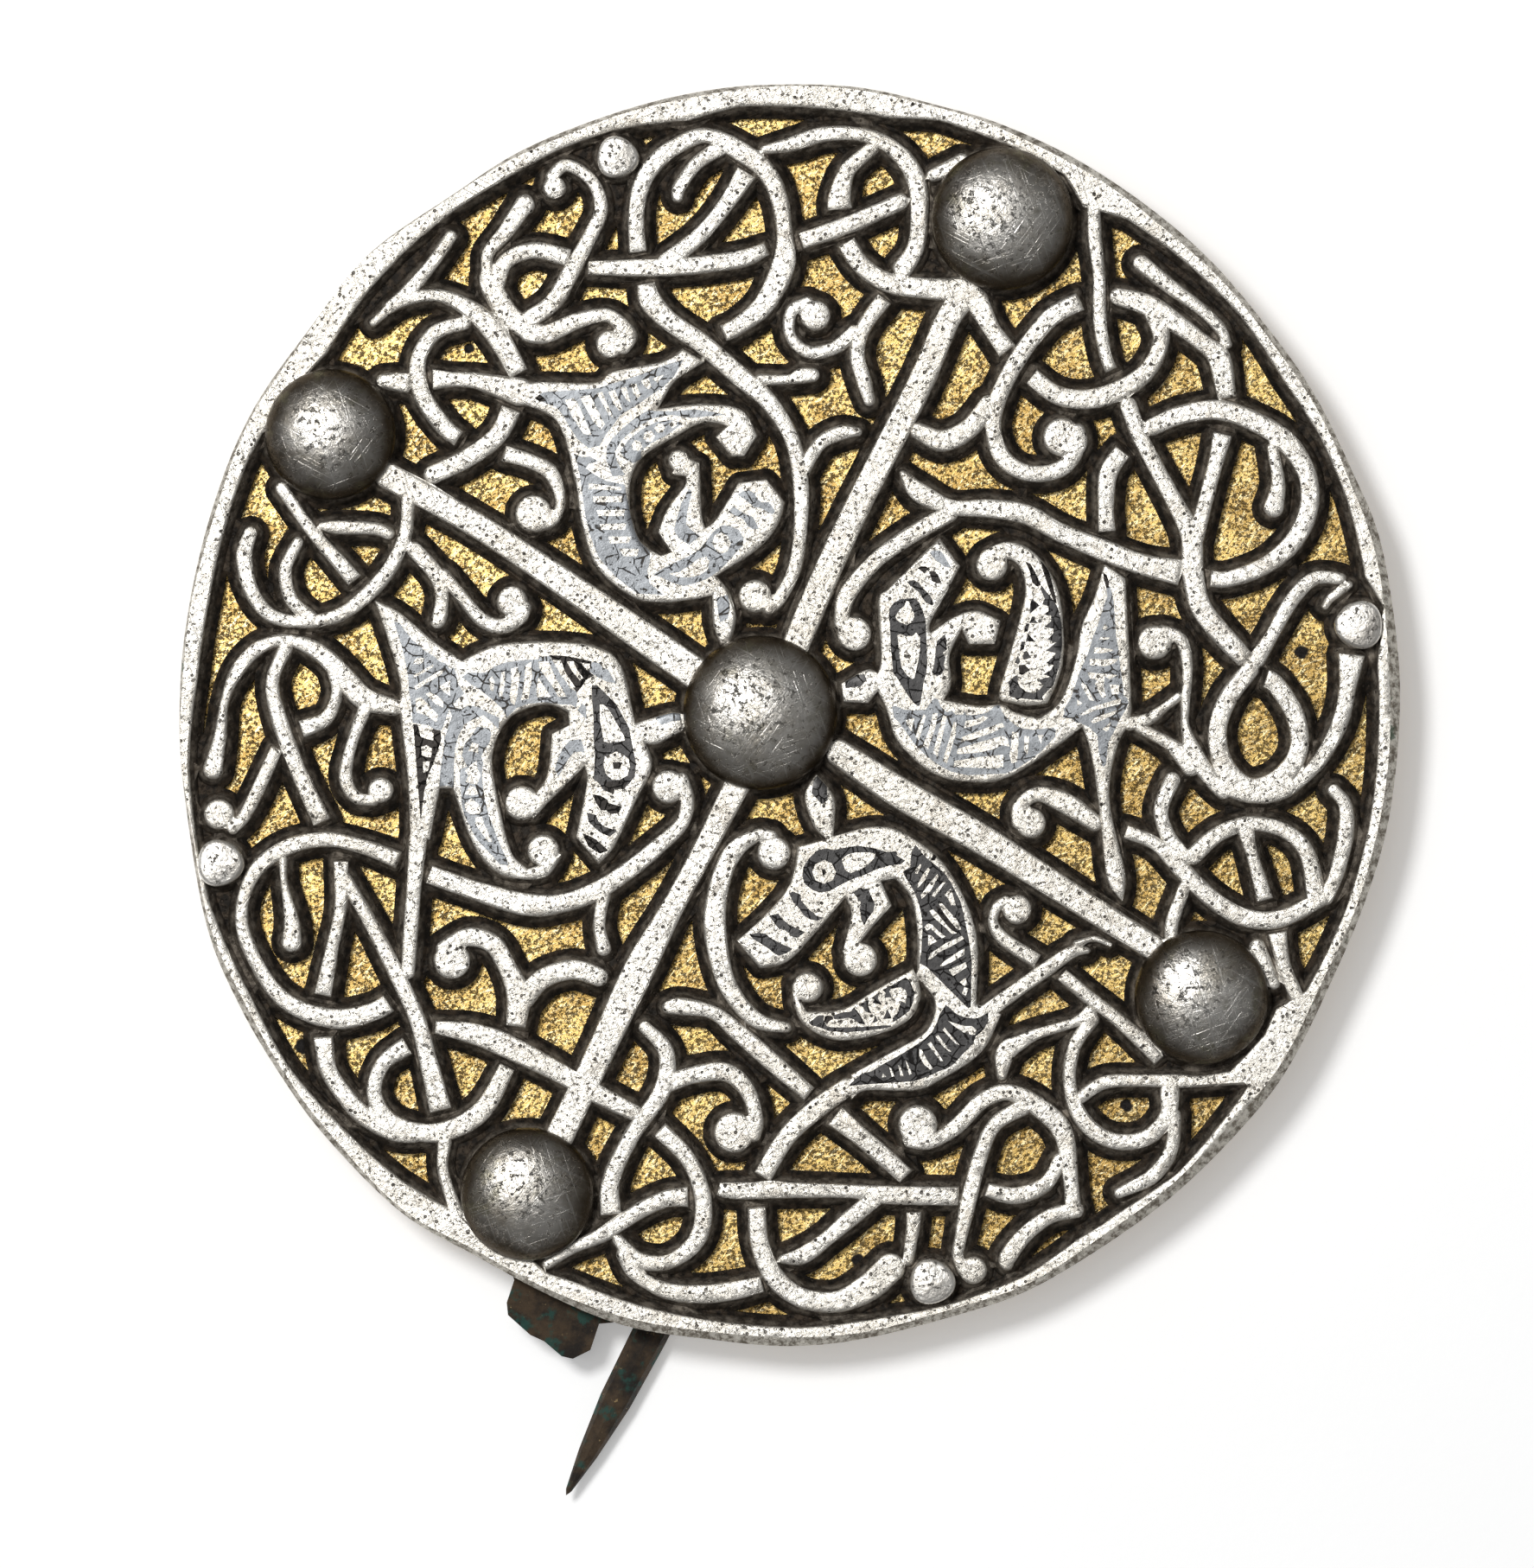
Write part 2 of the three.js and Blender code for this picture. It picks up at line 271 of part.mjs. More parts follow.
const LEFT_BEAST = [
  -33,9, -31,8, -28.3,5.7, -26.1,4.2, -23.5,5.4, -19.5,5.75, -15.3,5.3, -13.4,3.7, -12.3,-.8,
  -11.4,-.5, -9.5,.05, -8.6,0, -8.5,-1.3, -10.5,-2.3, -11.5,-2.3, -11,-4.2, -12.2,-6.8, -14,-10.6,
  -15.2,-11.9, -16.95,-9.8, -16.1,-5.5, -16.3,-4.1, -18.8,-6.6, -20.4,-8.3, -20.6,-7, -19.3,-5,
  -18.9,-1.6, -17.5,-.9, -17.6,.2, -19.5,.8, -22.3,-.3, -23.7,-3.3, -23.2,-7.2, -22.2,-11, -20.9,-12.4,
  -19.6,-12, -18.2,-11.2, -19.2,-12.8, -21,-13.15, -23.3,-12.6, -25.2,-10.3, -26.8,-5.9, -27.9,-5.9,
  -28.7,-10, -30.2,-9.5, -30.4,-5, -31,0, -31,2.5, -32,6,
];

const RIGHT_BEAST_HEAD = [
  7.1,1.9, 7.8,.4, 8.8,-2.3, 11.5,-4.7, 14.5,-5.4, 17.5,-5, 21.3,-2.6, 23.4,-1, 24.1,-3, 24.8,-7.5,
  25.4,-13, 26.6,-14.9, 26.8,-12.8, 25.7,-8, 25.6,-5.2, 26.3,-2.2, 27.2,-.3, 27.2,3.5, 26.8,10.8,
  25.2,11.9, 24.4,9.3, 23.4,7, 22.9,4.2, 21.7,1, 20,-.4, 18,.1, 17,.7, 15,.6, 12.3,1.1, 12.9,2.4,
  12.8,4.7, 13.8,6.9, 14.4,5.6, 16.4,5.6, 16.8,7.4, 15,8.2, 13.2,7.7, 11.3,6.4, 11.2,7.2, 12.5,9.6,
  13.6,11.8, 12,13.9, 10.6,12.6, 8,10, 7.2,9, 7.4,4.5, 7.1,3.2, 6.2,3.5, 4.2,2.4, 4.4,1, 6.3,.9,
];

const RIGHT_BEAST_WING = [
  17,1.1, 19,.7, 20.6,.9, 21.6,3.2, 21.9,6, 21.4,10, 19.6,12.8, 17.5,13.7, 15.6,13, 15.2,12.3,
  17.6,12.4, 18.7,11.2, 18.8,9, 17.6,4.5, 16.8,1.7,
];

const BOTTOM_BEAST_BODY = [
  .8,-10.6, 3.1,-10, 2,-8.9, 1.3,-6.5, 2.2,-4.9, 3.6,-6.8, 3.5,-9.8, 7,-9, 9.8,-9.9, 12.8,-12.6,
  14.9,-17.5, 14.9,-23.2, 16.9,-24, 15.3,-27, 12,-29.2, 10,-30, 6.2,-30, 5,-30.7, 5,-28.8, 8.6,-26.8,
  11,-25.3, 11.7,-23, 10.4,-20.8, 10.3,-17.5, 9.8,-14.7, 8.5,-13.1, 7.3,-13.3, 8.15,-15.3, 6.6,-17,
  5.4,-18.5, 4.3,-19, 5,-16, 4.5,-14.6, 2.2,-17.3, -.1,-19.7, -2.3,-20.2, -4.1,-18.1, -1.8,-16,
  .1,-13.6,
];

const BOTTOM_BEAST_WING = [
  9.9,-20.4, 7,-22, 4.3,-23.6, 1.4,-23.8, .7,-22.6, .3,-21.5, .5,-23.4, 1.5,-25, 3.8,-26, 6.8,-25.6,
  9.4,-24.5, 10.4,-22.8, 10.3,-21.3,
];

// Field of the carving: how far inside a ridge a point lies, negative out in a valley.
const CELL = 0.1;
const FIELD_HALF = 52;
const FIELD_SIDE = Math.round(2 * FIELD_HALF / CELL) + 1;
const FAR = 9;
const REACH = VALLEY_SIDE_RUN + 0.3;
const STEPS_PER_SPAN = 6;
const FLAT_END_REACH = 1.6;
const CORNER_TURN = THREE.MathUtils.degToRad(50);
const RIDGE_TOLERANCE = 0.36;
const HOLE_TOLERANCE = 0.42;
const DISC_TOLERANCE = 0.14;
const SMALLEST_VALLEY = 0.6;
const SMALLEST_HOLE = 1.8;

function pairs(numbers) {
  const points = [];
  for (let i = 0; i < numbers.length; i += 2) points.push([numbers[i], numbers[i + 1]]);
  return points;
}

function triples(numbers) {
  const points = [];
  for (let i = 0; i < numbers.length; i += 3) points.push(numbers.slice(i, i + 3));
  return points;
}

// Catmull-Rom value between b and c, for every coordinate of the points.
function between(a, b, c, d, t) {
  return b.map((value, k) => value + 0.5 * t * (c[k] - a[k]
    + t * (2 * a[k] - 5 * b[k] + 4 * c[k] - d[k] + t * (3 * (b[k] - c[k]) + d[k] - a[k]))));
}

function smoothLine(points) {
  const line = [];
  for (let i = 0; i + 1 < points.length; i++) {
    const before = points[Math.max(i - 1, 0)];
    const after = points[Math.min(i + 2, points.length - 1)];
    for (let s = 0; s < STEPS_PER_SPAN; s++) {
      line.push(between(before, points[i], points[i + 1], after, s / STEPS_PER_SPAN));
    }
  }
  line.push(points[points.length - 1]);
  return line;
}

function turnAt(a, b, c) {
  const first = Math.atan2(b[1] - a[1], b[0] - a[0]);
  const second = Math.atan2(c[1] - b[1], c[0] - b[0]);
  return Math.abs(Math.atan2(Math.sin(second - first), Math.cos(second - first)));
}

// Closed outline, rounded between its points but sharp where it turns hard.
function smoothOutline(points) {
  const count = points.length;
  const at = (i) => points[(i + count) % count];
  const sharp = points.map((point, i) => turnAt(at(i - 1), point, at(i + 1)) > CORNER_TURN);
  const line = [];
  for (let i = 0; i < count; i++) {
    const before = sharp[i] ? at(i) : at(i - 1);
    const after = sharp[(i + 1) % count] ? at(i + 1) : at(i + 2);
    for (let s = 0; s < STEPS_PER_SPAN; s++) {
      line.push(between(before, at(i), at(i + 1), after, s / STEPS_PER_SPAN));
    }
  }
  return line;
}

function polar(outline) {
  const rays = outline.map(([x, y]) => [Math.atan2(y, x), Math.hypot(x, y)]);
  rays.sort((a, b) => a[0] - b[0]);
  const last = rays[rays.length - 1];
  return [[last[0] - 2 * Math.PI, last[1]], ...rays, [rays[0][0] + 2 * Math.PI, rays[0][1]]];
}

function radiusAt(rays, angle) {
  let i = 1;
  while (rays[i][0] < angle) i++;
  const t = (angle - rays[i - 1][0]) / (rays[i][0] - rays[i - 1][0]);
  return THREE.MathUtils.lerp(rays[i - 1][1], rays[i][1], t);
}

const field = new Float32Array(FIELD_SIDE * FIELD_SIDE);

function raiseField(xLow, xHigh, yLow, yHigh, height) {
  const column = (x) => THREE.MathUtils.clamp(Math.round((x + FIELD_HALF) / CELL), 0, FIELD_SIDE - 1);
  for (let j = column(yLow); j <= column(yHigh); j++) {
    for (let i = column(xLow); i <= column(xHigh); i++) {
      const value = height(i * CELL - FIELD_HALF, j * CELL - FIELD_HALF);
      const cell = j * FIELD_SIDE + i;
      if (value > field[cell]) field[cell] = value;
    }
  }
}

function startFieldAtRim() {
  const inner = polar(pairs(RIM_INNER));
  for (let j = 0; j < FIELD_SIDE; j++) {
    for (let i = 0; i < FIELD_SIDE; i++) {
      const x = i * CELL - FIELD_HALF;
      const y = j * CELL - FIELD_HALF;
      field[j * FIELD_SIDE + i] = Math.max(-FAR, Math.hypot(x, y) - radiusAt(inner, Math.atan2(y, x)));
    }
  }
}

function addDiscToField(cx, cy, radius) {
  const out = radius + REACH;
  raiseField(cx - out, cx + out, cy - out, cy + out, (x, y) => radius - Math.hypot(x - cx, y - cy));
}

// Distance past the end of a strand, measured along it, for the flat ends.
function endCut(line, start) {
  const near = start ? line[0] : line[line.length - 1];
  const next = start ? line[3] : line[line.length - 4];
  const length = Math.hypot(next[0] - near[0], next[1] - near[1]);
  const dx = (next[0] - near[0]) / length;
  const dy = (next[1] - near[1]) / length;
  return (x, y) => (x - near[0]) * dx + (y - near[1]) * dy;
}

function addStrandToField([ends, ...numbers]) {
  const line = smoothLine(triples(numbers));
  const cuts = [ends[0] === 'f' ? endCut(line, true) : null, ends[1] === 'f' ? endCut(line, false) : null];
  const first = line[0];
  const last = line[line.length - 1];
  for (let i = 0; i + 1 < line.length; i++) {
    const [ax, ay, aWidth] = line[i];
    const [bx, by, bWidth] = line[i + 1];
    const dx = bx - ax;
    const dy = by - ay;
    const lengthSquared = dx * dx + dy * dy;
    const out = Math.max(aWidth, bWidth) / 2 + REACH;
    const cutStart = cuts[0] && Math.hypot(ax - first[0], ay - first[1]) < FLAT_END_REACH;
    const cutEnd = cuts[1] && Math.hypot(bx - last[0], by - last[1]) < FLAT_END_REACH;
    raiseField(Math.min(ax, bx) - out, Math.max(ax, bx) + out,
      Math.min(ay, by) - out, Math.max(ay, by) + out, (x, y) => {
        const t = THREE.MathUtils.clamp(((x - ax) * dx + (y - ay) * dy) / lengthSquared, 0, 1);
        const distance = Math.hypot(x - ax - t * dx, y - ay - t * dy);
        let value = THREE.MathUtils.lerp(aWidth, bWidth, t) / 2 - distance;
        if (cutStart) value = Math.min(value, cuts[0](x, y));
        if (cutEnd) value = Math.min(value, cuts[1](x, y));
        return value;
      });
  }
}

function addOutlineToField(numbers) {
  const outline = smoothOutline(pairs(numbers));
  const xs = outline.map((point) => point[0]);
  const ys = outline.map((point) => point[1]);
  raiseField(Math.min(...xs) - REACH, Math.max(...xs) + REACH,
    Math.min(...ys) - REACH, Math.max(...ys) + REACH, (x, y) => {
      let inside = false;
      let nearest = FAR * FAR;
      for (let i = 0, j = outline.length - 1; i < outline.length; j = i++) {
        const [ax, ay] = outline[j];
        const [bx, by] = outline[i];
        if ((ay > y) !== (by > y) && x < (bx - ax) * (y - ay) / (by - ay) + ax) inside = !inside;
        const dx = bx - ax;
        const dy = by - ay;
        const t = THREE.MathUtils.clamp(((x - ax) * dx + (y - ay) * dy) / (dx * dx + dy * dy), 0, 1);
        nearest = Math.min(nearest, (x - ax - t * dx) ** 2 + (y - ay - t * dy) ** 2);
      }
      return inside ? Math.sqrt(nearest) : -Math.sqrt(nearest);
    });
}

// Outlines of the region where the field is below the level, the region on their left.
function valleyOutlines(level) {
  const corners = [[0, 0], [1, 0], [1, 1], [0, 1]];
  const next = new Map();
  const crossing = new Map();
  const valueAt = (i, j) => field[j * FIELD_SIDE + i];
  const edgeKey = (i, j, k) => 2 * ((j + (k === 2)) * FIELD_SIDE + i + (k === 1)) + (k % 2);
  for (let j = 0; j + 1 < FIELD_SIDE; j++) {
    for (let i = 0; i + 1 < FIELD_SIDE; i++) {
      const inside = corners.map(([di, dj]) => valueAt(i + di, j + dj) < level);
      if (inside.every(Boolean) || !inside.some(Boolean)) continue;
      for (let k = 0; k < 4; k++) {
        if (inside[k] === inside[(k + 1) % 4]) continue;
        const [fromI, fromJ] = corners[k];
        const [toI, toJ] = corners[(k + 1) % 4];
        const from = valueAt(i + fromI, j + fromJ);
        const t = (level - from) / (valueAt(i + toI, j + toJ) - from);
        crossing.set(edgeKey(i, j, k), [
          (i + fromI + t * (toI - fromI)) * CELL - FIELD_HALF,
          (j + fromJ + t * (toJ - fromJ)) * CELL - FIELD_HALF,
        ]);
        if (!inside[k]) continue;
        let back = k;
        while (inside[(back + 3) % 4]) back = (back + 3) % 4;
        next.set(edgeKey(i, j, k), edgeKey(i, j, (back + 3) % 4));
      }
    }
  }
  return chained(next, crossing);
}

function chained(next, crossing) {
  const loops = [];
  while (next.size > 0) {
    const loop = [];
    let key = next.keys().next().value;
    while (next.has(key)) {
      loop.push(crossing.get(key));
      const following = next.get(key);
      next.delete(key);
      key = following;
    }
    loops.push(loop);
  }
  return loops;
}

function signedArea(loop) {
  let area = 0;
  for (let i = 0, j = loop.length - 1; i < loop.length; j = i++) {
    area += (loop[j][0] * loop[i][1] - loop[i][0] * loop[j][1]) / 2;
  }
  return area;
}

// Leaves out the points that lie within the tolerance of the line between those that stay.
function thinned(line, tolerance) {
  const [ax, ay] = line[0];
  const [bx, by] = line[line.length - 1];
  const length = Math.hypot(bx - ax, by - ay);
  let worst = 0;
  let at = 0;
  for (let i = 1; i + 1 < line.length; i++) {
    const [x, y] = line[i];
    const off = length > 0 ? Math.abs((x - ax) * (by - ay) - (y - ay) * (bx - ax)) / length
      : Math.hypot(x - ax, y - ay);
    if (off > worst) {
      worst = off;
      at = i;
    }
  }
  if (worst <= tolerance) return [line[0], line[line.length - 1]];
  return [...thinned(line.slice(0, at + 1), tolerance).slice(0, -1), ...thinned(line.slice(at), tolerance)];
}

function thinnedLoop(loop, tolerance) {
  let far = 0;
  for (let i = 1; i < loop.length; i++) {
    const further = Math.hypot(loop[i][0] - loop[0][0], loop[i][1] - loop[0][1])
      > Math.hypot(loop[far][0] - loop[0][0], loop[far][1] - loop[0][1]);
    if (further) far = i;
  }
  const there = thinned(loop.slice(0, far + 1), tolerance);
  const back = thinned([...loop.slice(far), loop[0]], tolerance);
  return [...there.slice(0, -1), ...back.slice(0, -1)];
}

function toSolid(geometry) {
  const bare = geometry.clone();
  bare.deleteAttribute('normal');
  bare.deleteAttribute('uv');
  const merged = mergeVertices(bare, 1e-4);
  const vertProperties = new Float32Array(merged.attributes.position.array);
  const triVerts = new Uint32Array(merged.index.array);
  return new wasm.Manifold(new wasm.Mesh({ numProp: 3, vertProperties, triVerts }));
}

function toGeometry(solid) {
  const { vertProperties, triVerts } = solid.getMesh();
  const geometry = new THREE.BufferGeometry();
  geometry.setAttribute('position', new THREE.BufferAttribute(new Float32Array(vertProperties), 3));
  geometry.setIndex(new THREE.BufferAttribute(new Uint32Array(triVerts), 1));
  return geometry;
}

// Upright solid between two heights on a closed outline.
function prism(outline, low, high) {
  const shape = new THREE.Shape(outline.map(([x, y]) => new THREE.Vector2(x, y)));
  const geometry = new THREE.ExtrudeGeometry(shape, { depth: high - low, bevelEnabled: false });
  geometry.translate(0, 0, low);
  return geometry;
}

function ring(cx, cy, radius, sides) {
  const points = [];
  for (let i = 0; i < sides; i++) {
    const angle = 2 * Math.PI * i / sides;
    points.push([cx + radius * Math.cos(angle), cy + radius * Math.sin(angle)]);
  }
  return points;
}

// Solid of revolution about Z from a profile of radius and height, from its foot to its top.
function turned(profile, sides) {
  const geometry = new THREE.LatheGeometry(profile.map(([r, z]) => new THREE.Vector2(r, z)), sides);
  geometry.rotateX(Math.PI / 2);
  return geometry;
}

function named(name, geometry, material) {
  const mesh = new THREE.Mesh(geometry, material);
  mesh.name = name;
  return mesh;
}

const silver = new THREE.MeshStandardMaterial({ color: 0xd8d2c4, roughness: 0.35, metalness: 0.9 });
const gilding = new THREE.MeshStandardMaterial({ color: 0xd9a944, roughness: 0.4, metalness: 1.0 });
const dullSilver = new THREE.MeshStandardMaterial({ color: 0x8e8a80, roughness: 0.45, metalness: 0.85 });
const copperAlloy = new THREE.MeshStandardMaterial({ color: 0x4a3a28, roughness: 0.6, metalness: 0.6 });

function discOutline(inset) {
  const outline = thinnedLoop(smoothOutline(pairs(RIM_OUTER)), DISC_TOLERANCE);
  return outline.map(([x, y]) => {
    const scale = 1 - inset / Math.hypot(x, y);
    return [x * scale, y * scale];
  });
}

function fillField() {
  startFieldAtRim();
  const strands = [...TOP_STRANDS, ...RIGHT_STRANDS, ...BOTTOM_STRANDS, ...LEFT_STRANDS, ...CROSS_ARMS];
  strands.forEach(addStrandToField);
  triples(CURL_DISCS).forEach(([x, y, radius]) => addDiscToField(x, y, radius));
  for (const [, x, y, radius] of [...BOSSES, ...SMALL_RIVETS]) {
    addDiscToField(x, y, radius + BOSS_SEAT_MARGIN);
  }
  const beasts = [TOP_BEAST, LEFT_BEAST, RIGHT_BEAST_HEAD, RIGHT_BEAST_WING, BOTTOM_BEAST_BODY,
    BOTTOM_BEAST_WING];
  beasts.forEach(addOutlineToField);
}

// Takes the valleys out of a plate: outlines that run with the valley on their left are cut,
// and the ridges that stand inside them are put back, from the largest to the smallest.
function valleySolid(level, smallest, tolerance, low, high) {
  const loops = valleyOutlines(level).map((loop) => thinnedLoop(loop, tolerance));
  const kept = loops.filter((loop) => loop.length > 2 && Math.abs(signedArea(loop)) > smallest);
  kept.sort((a, b) => Math.abs(signedArea(b)) - Math.abs(signedArea(a)));
  let valley = null;
  for (const loop of kept) {
    const solid = toSolid(prism(loop, low, high));
    if (valley === null) valley = solid;
    else valley = signedArea(loop) > 0 ? valley.add(solid) : valley.subtract(solid);
  }
  return valley;
}

function shankHoles(low, high) {
  let holes = null;
  const rivets = [...BOSSES.map(([, x, y]) => [x, y, SHANK_RADIUS]),
    ...SMALL_RIVETS.map(([, x, y]) => [x, y, SMALL_SHANK_RADIUS])];
  for (const [x, y, radius] of rivets) {
    const hole = toSolid(prism(ring(x, y, radius + SHANK_CLEARANCE, SMALL_RIVET_SIDES), low, high));
    holes = holes === null ? hole : holes.add(hole);
  }
  return holes;
}

function openworkPlate() {
  const above = PLATE_TOP + 1;
  const below = BASE_THICKNESS - 1;
  const blank = toSolid(prism(discOutline(0), BASE_THICKNESS, PLATE_TOP));
  const valleys = valleySolid(0, SMALLEST_VALLEY, RIDGE_TOLERANCE, VALLEY_FLOOR, above);
  const pierced = valleySolid(-VALLEY_SIDE_RUN, SMALLEST_HOLE, HOLE_TOLERANCE, below, above);
  const plate = blank.subtract(valleys).subtract(pierced).subtract(shankHoles(below, above));
  return named('openwork_plate', toGeometry(plate), silver);
}

function basePlate() {
  const blank = toSolid(prism(discOutline(BASE_INSET), 0, BASE_THICKNESS));
  return named('base_plate', toGeometry(blank.subtract(shankHoles(-1, BASE_THICKNESS + 1))), gilding);
}

function boss([name, x, y, radius, height, backRadius]) {
  const domeHeight = height - BOSS_EDGE_HEIGHT;
  const profile = [
    [0, -BACK_HEAD_HEIGHT], [backRadius - BACK_HEAD_BEVEL, -BACK_HEAD_HEIGHT], [backRadius, 0],
    [SHANK_RADIUS, 0], [SHANK_RADIUS, PLATE_TOP], [radius, PLATE_TOP],
  ];
  for (let i = 0; i < BOSS_DOME_RINGS; i++) {
    const angle = Math.PI / 2 * i / BOSS_DOME_RINGS;
    profile.push([radius * Math.cos(angle), PLATE_TOP + BOSS_EDGE_HEIGHT + domeHeight * Math.sin(angle)]);
  }
  profile.push([0, PLATE_TOP + height]);
  const mesh = named(name, turned(profile, BOSS_SIDES), dullSilver);
  mesh.position.set(x, y, 0);
  return mesh;
}

function smallRivet([name, x, y, radius]) {
  const profile = [
    [0, -BACK_HEAD_HEIGHT], [SMALL_BACK_HEAD_RADIUS, 0], [SMALL_SHANK_RADIUS, 0],
    [SMALL_SHANK_RADIUS, PLATE_TOP], [radius, PLATE_TOP], [radius, PLATE_TOP + SMALL_HEAD_HEIGHT * 0.6],
    [radius * 0.8, PLATE_TOP + SMALL_HEAD_HEIGHT], [0, PLATE_TOP + SMALL_HEAD_HEIGHT],
  ];
  const mesh = named(name, turned(profile, SMALL_RIVET_SIDES), dullSilver);
  mesh.position.set(x, y, 0);
  return mesh;
}

// The hinge's own frame: X along its axle, Y from the hinge towards the pin's tip.
const pinRun = [PIN_TIP[0] - HINGE_CENTER[0], PIN_TIP[1] - HINGE_CENTER[1]];
const PIN_LENGTH = Math.hypot(...pinRun);
const HINGE_TURN = Math.atan2(pinRun[1], pinRun[0]) - Math.PI / 2;

function atHinge(mesh) {
  mesh.position.set(HINGE_CENTER[0], HINGE_CENTER[1], 0);
  mesh.rotation.z = HINGE_TURN;
  return mesh;
}

function box(xSize, ySize, low, high, x = 0, y = 0) {
  const geometry = new THREE.BoxGeometry(xSize, ySize, high - low);
  geometry.translate(x, y, (low + high) / 2);
  return geometry;
}

// Round bar along the axle, at the axle's depth below the plate.
function alongAxle(radius, length, sides) {
  const geometry = new THREE.CylinderGeometry(radius, radius, length, sides);
  geometry.rotateZ(Math.PI / 2);
  geometry.translate(0, 0, -AXLE_DEPTH);
  return geometry;
}

function hingeLug() {
  const [padLength, padWidth, padThickness] = HINGE_PAD;
  const earPlace = (EAR_GAP + EAR_THICKNESS) / 2;
  let lug = toSolid(box(padLength, padWidth, -padThickness, 0));
  for (const side of [-1, 1]) {
    lug = lug.add(toSolid(box(EAR_THICKNESS, EAR_WIDTH, -BACK_REACH, 0, side * earPlace)));
  }
  const hole = toSolid(alongAxle(AXLE_RADIUS + AXLE_CLEARANCE, 2 * padLength, SMALL_RIVET_SIDES));
  return atHinge(named('hinge_lug', toGeometry(lug.subtract(hole)), copperAlloy));
}

function hingeAxle() {
  return atHinge(named('hinge_axle', alongAxle(AXLE_RADIUS, AXLE_LENGTH, SMALL_RIVET_SIDES), copperAlloy));
}

// Pin: an eye on the axle and a shank that swells before it tapers to its tip.
function pin() {
  const swell = 0.85 * PIN_LENGTH;
  const profile = [
    [0, PIN_EYE_RADIUS * 0.75], [1.1, PIN_EYE_RADIUS * 0.75], [1.15, 0.4 * PIN_LENGTH], [1.45, swell],
    [1.3, 0.91 * PIN_LENGTH], [0.8, 0.96 * PIN_LENGTH], [0.25, 0.995 * PIN_LENGTH], [0, PIN_LENGTH],
  ];
  const shank = new THREE.LatheGeometry(profile.map(([r, y]) => new THREE.Vector2(r, y)), PIN_SIDES);
  shank.scale(1, 1, PIN_FLATTENING);
  shank.translate(0, 0, -AXLE_DEPTH);
  const eye = toSolid(alongAxle(PIN_EYE_RADIUS, PIN_EYE_WIDTH, 2 * PIN_SIDES));
  const hole = toSolid(alongAxle(AXLE_RADIUS + AXLE_CLEARANCE, 2 * PIN_EYE_WIDTH, PIN_SIDES));
  const solid = eye.subtract(hole).add(toSolid(shank));
  return atHinge(named('pin', toGeometry(solid), copperAlloy));
}

function pinCatch() {
  const strip = toSolid(prism(pairs(CATCH_OUTLINE), -CATCH_THICKNESS, 0));
  const foot = toSolid(prism(pairs(HOOK_FOOT), -BACK_REACH, -CATCH_THICKNESS / 2));
  const hollow = toSolid(box(6, 8, -BACK_REACH + HOOK_WALL, -CATCH_THICKNESS, -14.6, -48));
  return named('catch', toGeometry(strip.add(foot.subtract(hollow))), copperAlloy);
}

fillField();
const brooch = new THREE.Group();
brooch.add(openworkPlate(), basePlate(), ...BOSSES.map(boss), ...SMALL_RIVETS.map(smallRivet));
brooch.add(hingeLug(), hingeAxle(), pin(), pinCatch());
for (const piece of brooch.children) piece.position.z += BACK_HEAD_HEIGHT;

export default brooch;
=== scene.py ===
# Disc brooch: carved silver openwork over a gilded plate, seen from straight above.
# Shapes are worked out in millimetres and made in metres, in the frame of the CAD model. The
# openwork plate is one closed mesh that follows a field of the carving, the bosses and rivets are
# turned, and the other pieces are the CAD model's own with a finish.
import math

import bpy
import numpy as np
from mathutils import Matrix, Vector
from mathutils.geometry import delaunay_2d_cdt

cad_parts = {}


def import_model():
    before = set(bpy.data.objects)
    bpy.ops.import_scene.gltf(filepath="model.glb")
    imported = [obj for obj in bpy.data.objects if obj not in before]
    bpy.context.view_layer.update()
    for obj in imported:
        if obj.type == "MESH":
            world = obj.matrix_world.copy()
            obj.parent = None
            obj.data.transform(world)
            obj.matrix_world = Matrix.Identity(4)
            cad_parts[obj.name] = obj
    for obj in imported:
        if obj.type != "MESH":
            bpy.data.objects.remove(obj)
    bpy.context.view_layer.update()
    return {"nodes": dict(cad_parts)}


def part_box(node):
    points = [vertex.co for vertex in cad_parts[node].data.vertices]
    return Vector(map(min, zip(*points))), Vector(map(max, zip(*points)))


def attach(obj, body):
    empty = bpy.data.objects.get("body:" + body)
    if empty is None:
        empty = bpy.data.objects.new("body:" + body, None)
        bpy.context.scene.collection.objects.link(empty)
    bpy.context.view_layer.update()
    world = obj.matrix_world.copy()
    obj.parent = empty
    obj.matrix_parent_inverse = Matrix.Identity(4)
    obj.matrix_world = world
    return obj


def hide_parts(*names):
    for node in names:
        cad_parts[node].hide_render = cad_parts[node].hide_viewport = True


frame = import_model()

MM = 0.001

# Rivets and heights, from the frame.
BOSSES = sorted(node for node in frame["nodes"] if "boss" in node)
SMALL_RIVETS = sorted(node for node in frame["nodes"] if "rivet" in node)
BASE_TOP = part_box("base_plate")[1][2] / MM
PLATE_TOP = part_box("openwork_plate")[1][2] / MM
LOWEST = min(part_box(node)[0][2] for node in frame["nodes"]) / MM

# Carving: how far a valley's sides run before it is pierced, how deep they go, the worn shoulder.
VALLEY_SIDE_RUN = 0.95
CARVING_DEPTH = 1.35
SIDE_STEEPNESS = 1.7
SHOULDER_WIDTH = 0.15
SHOULDER_DROP = 0.09

# Levels of the carving's field that the surface follows down a valley's side.
SIDE_LEVELS = (-0.18, -0.38, -0.62)

# How much narrower than a rivet's head its seat is, so that a dark gap shows under the head's edge.
SEAT_INSET = 0.2

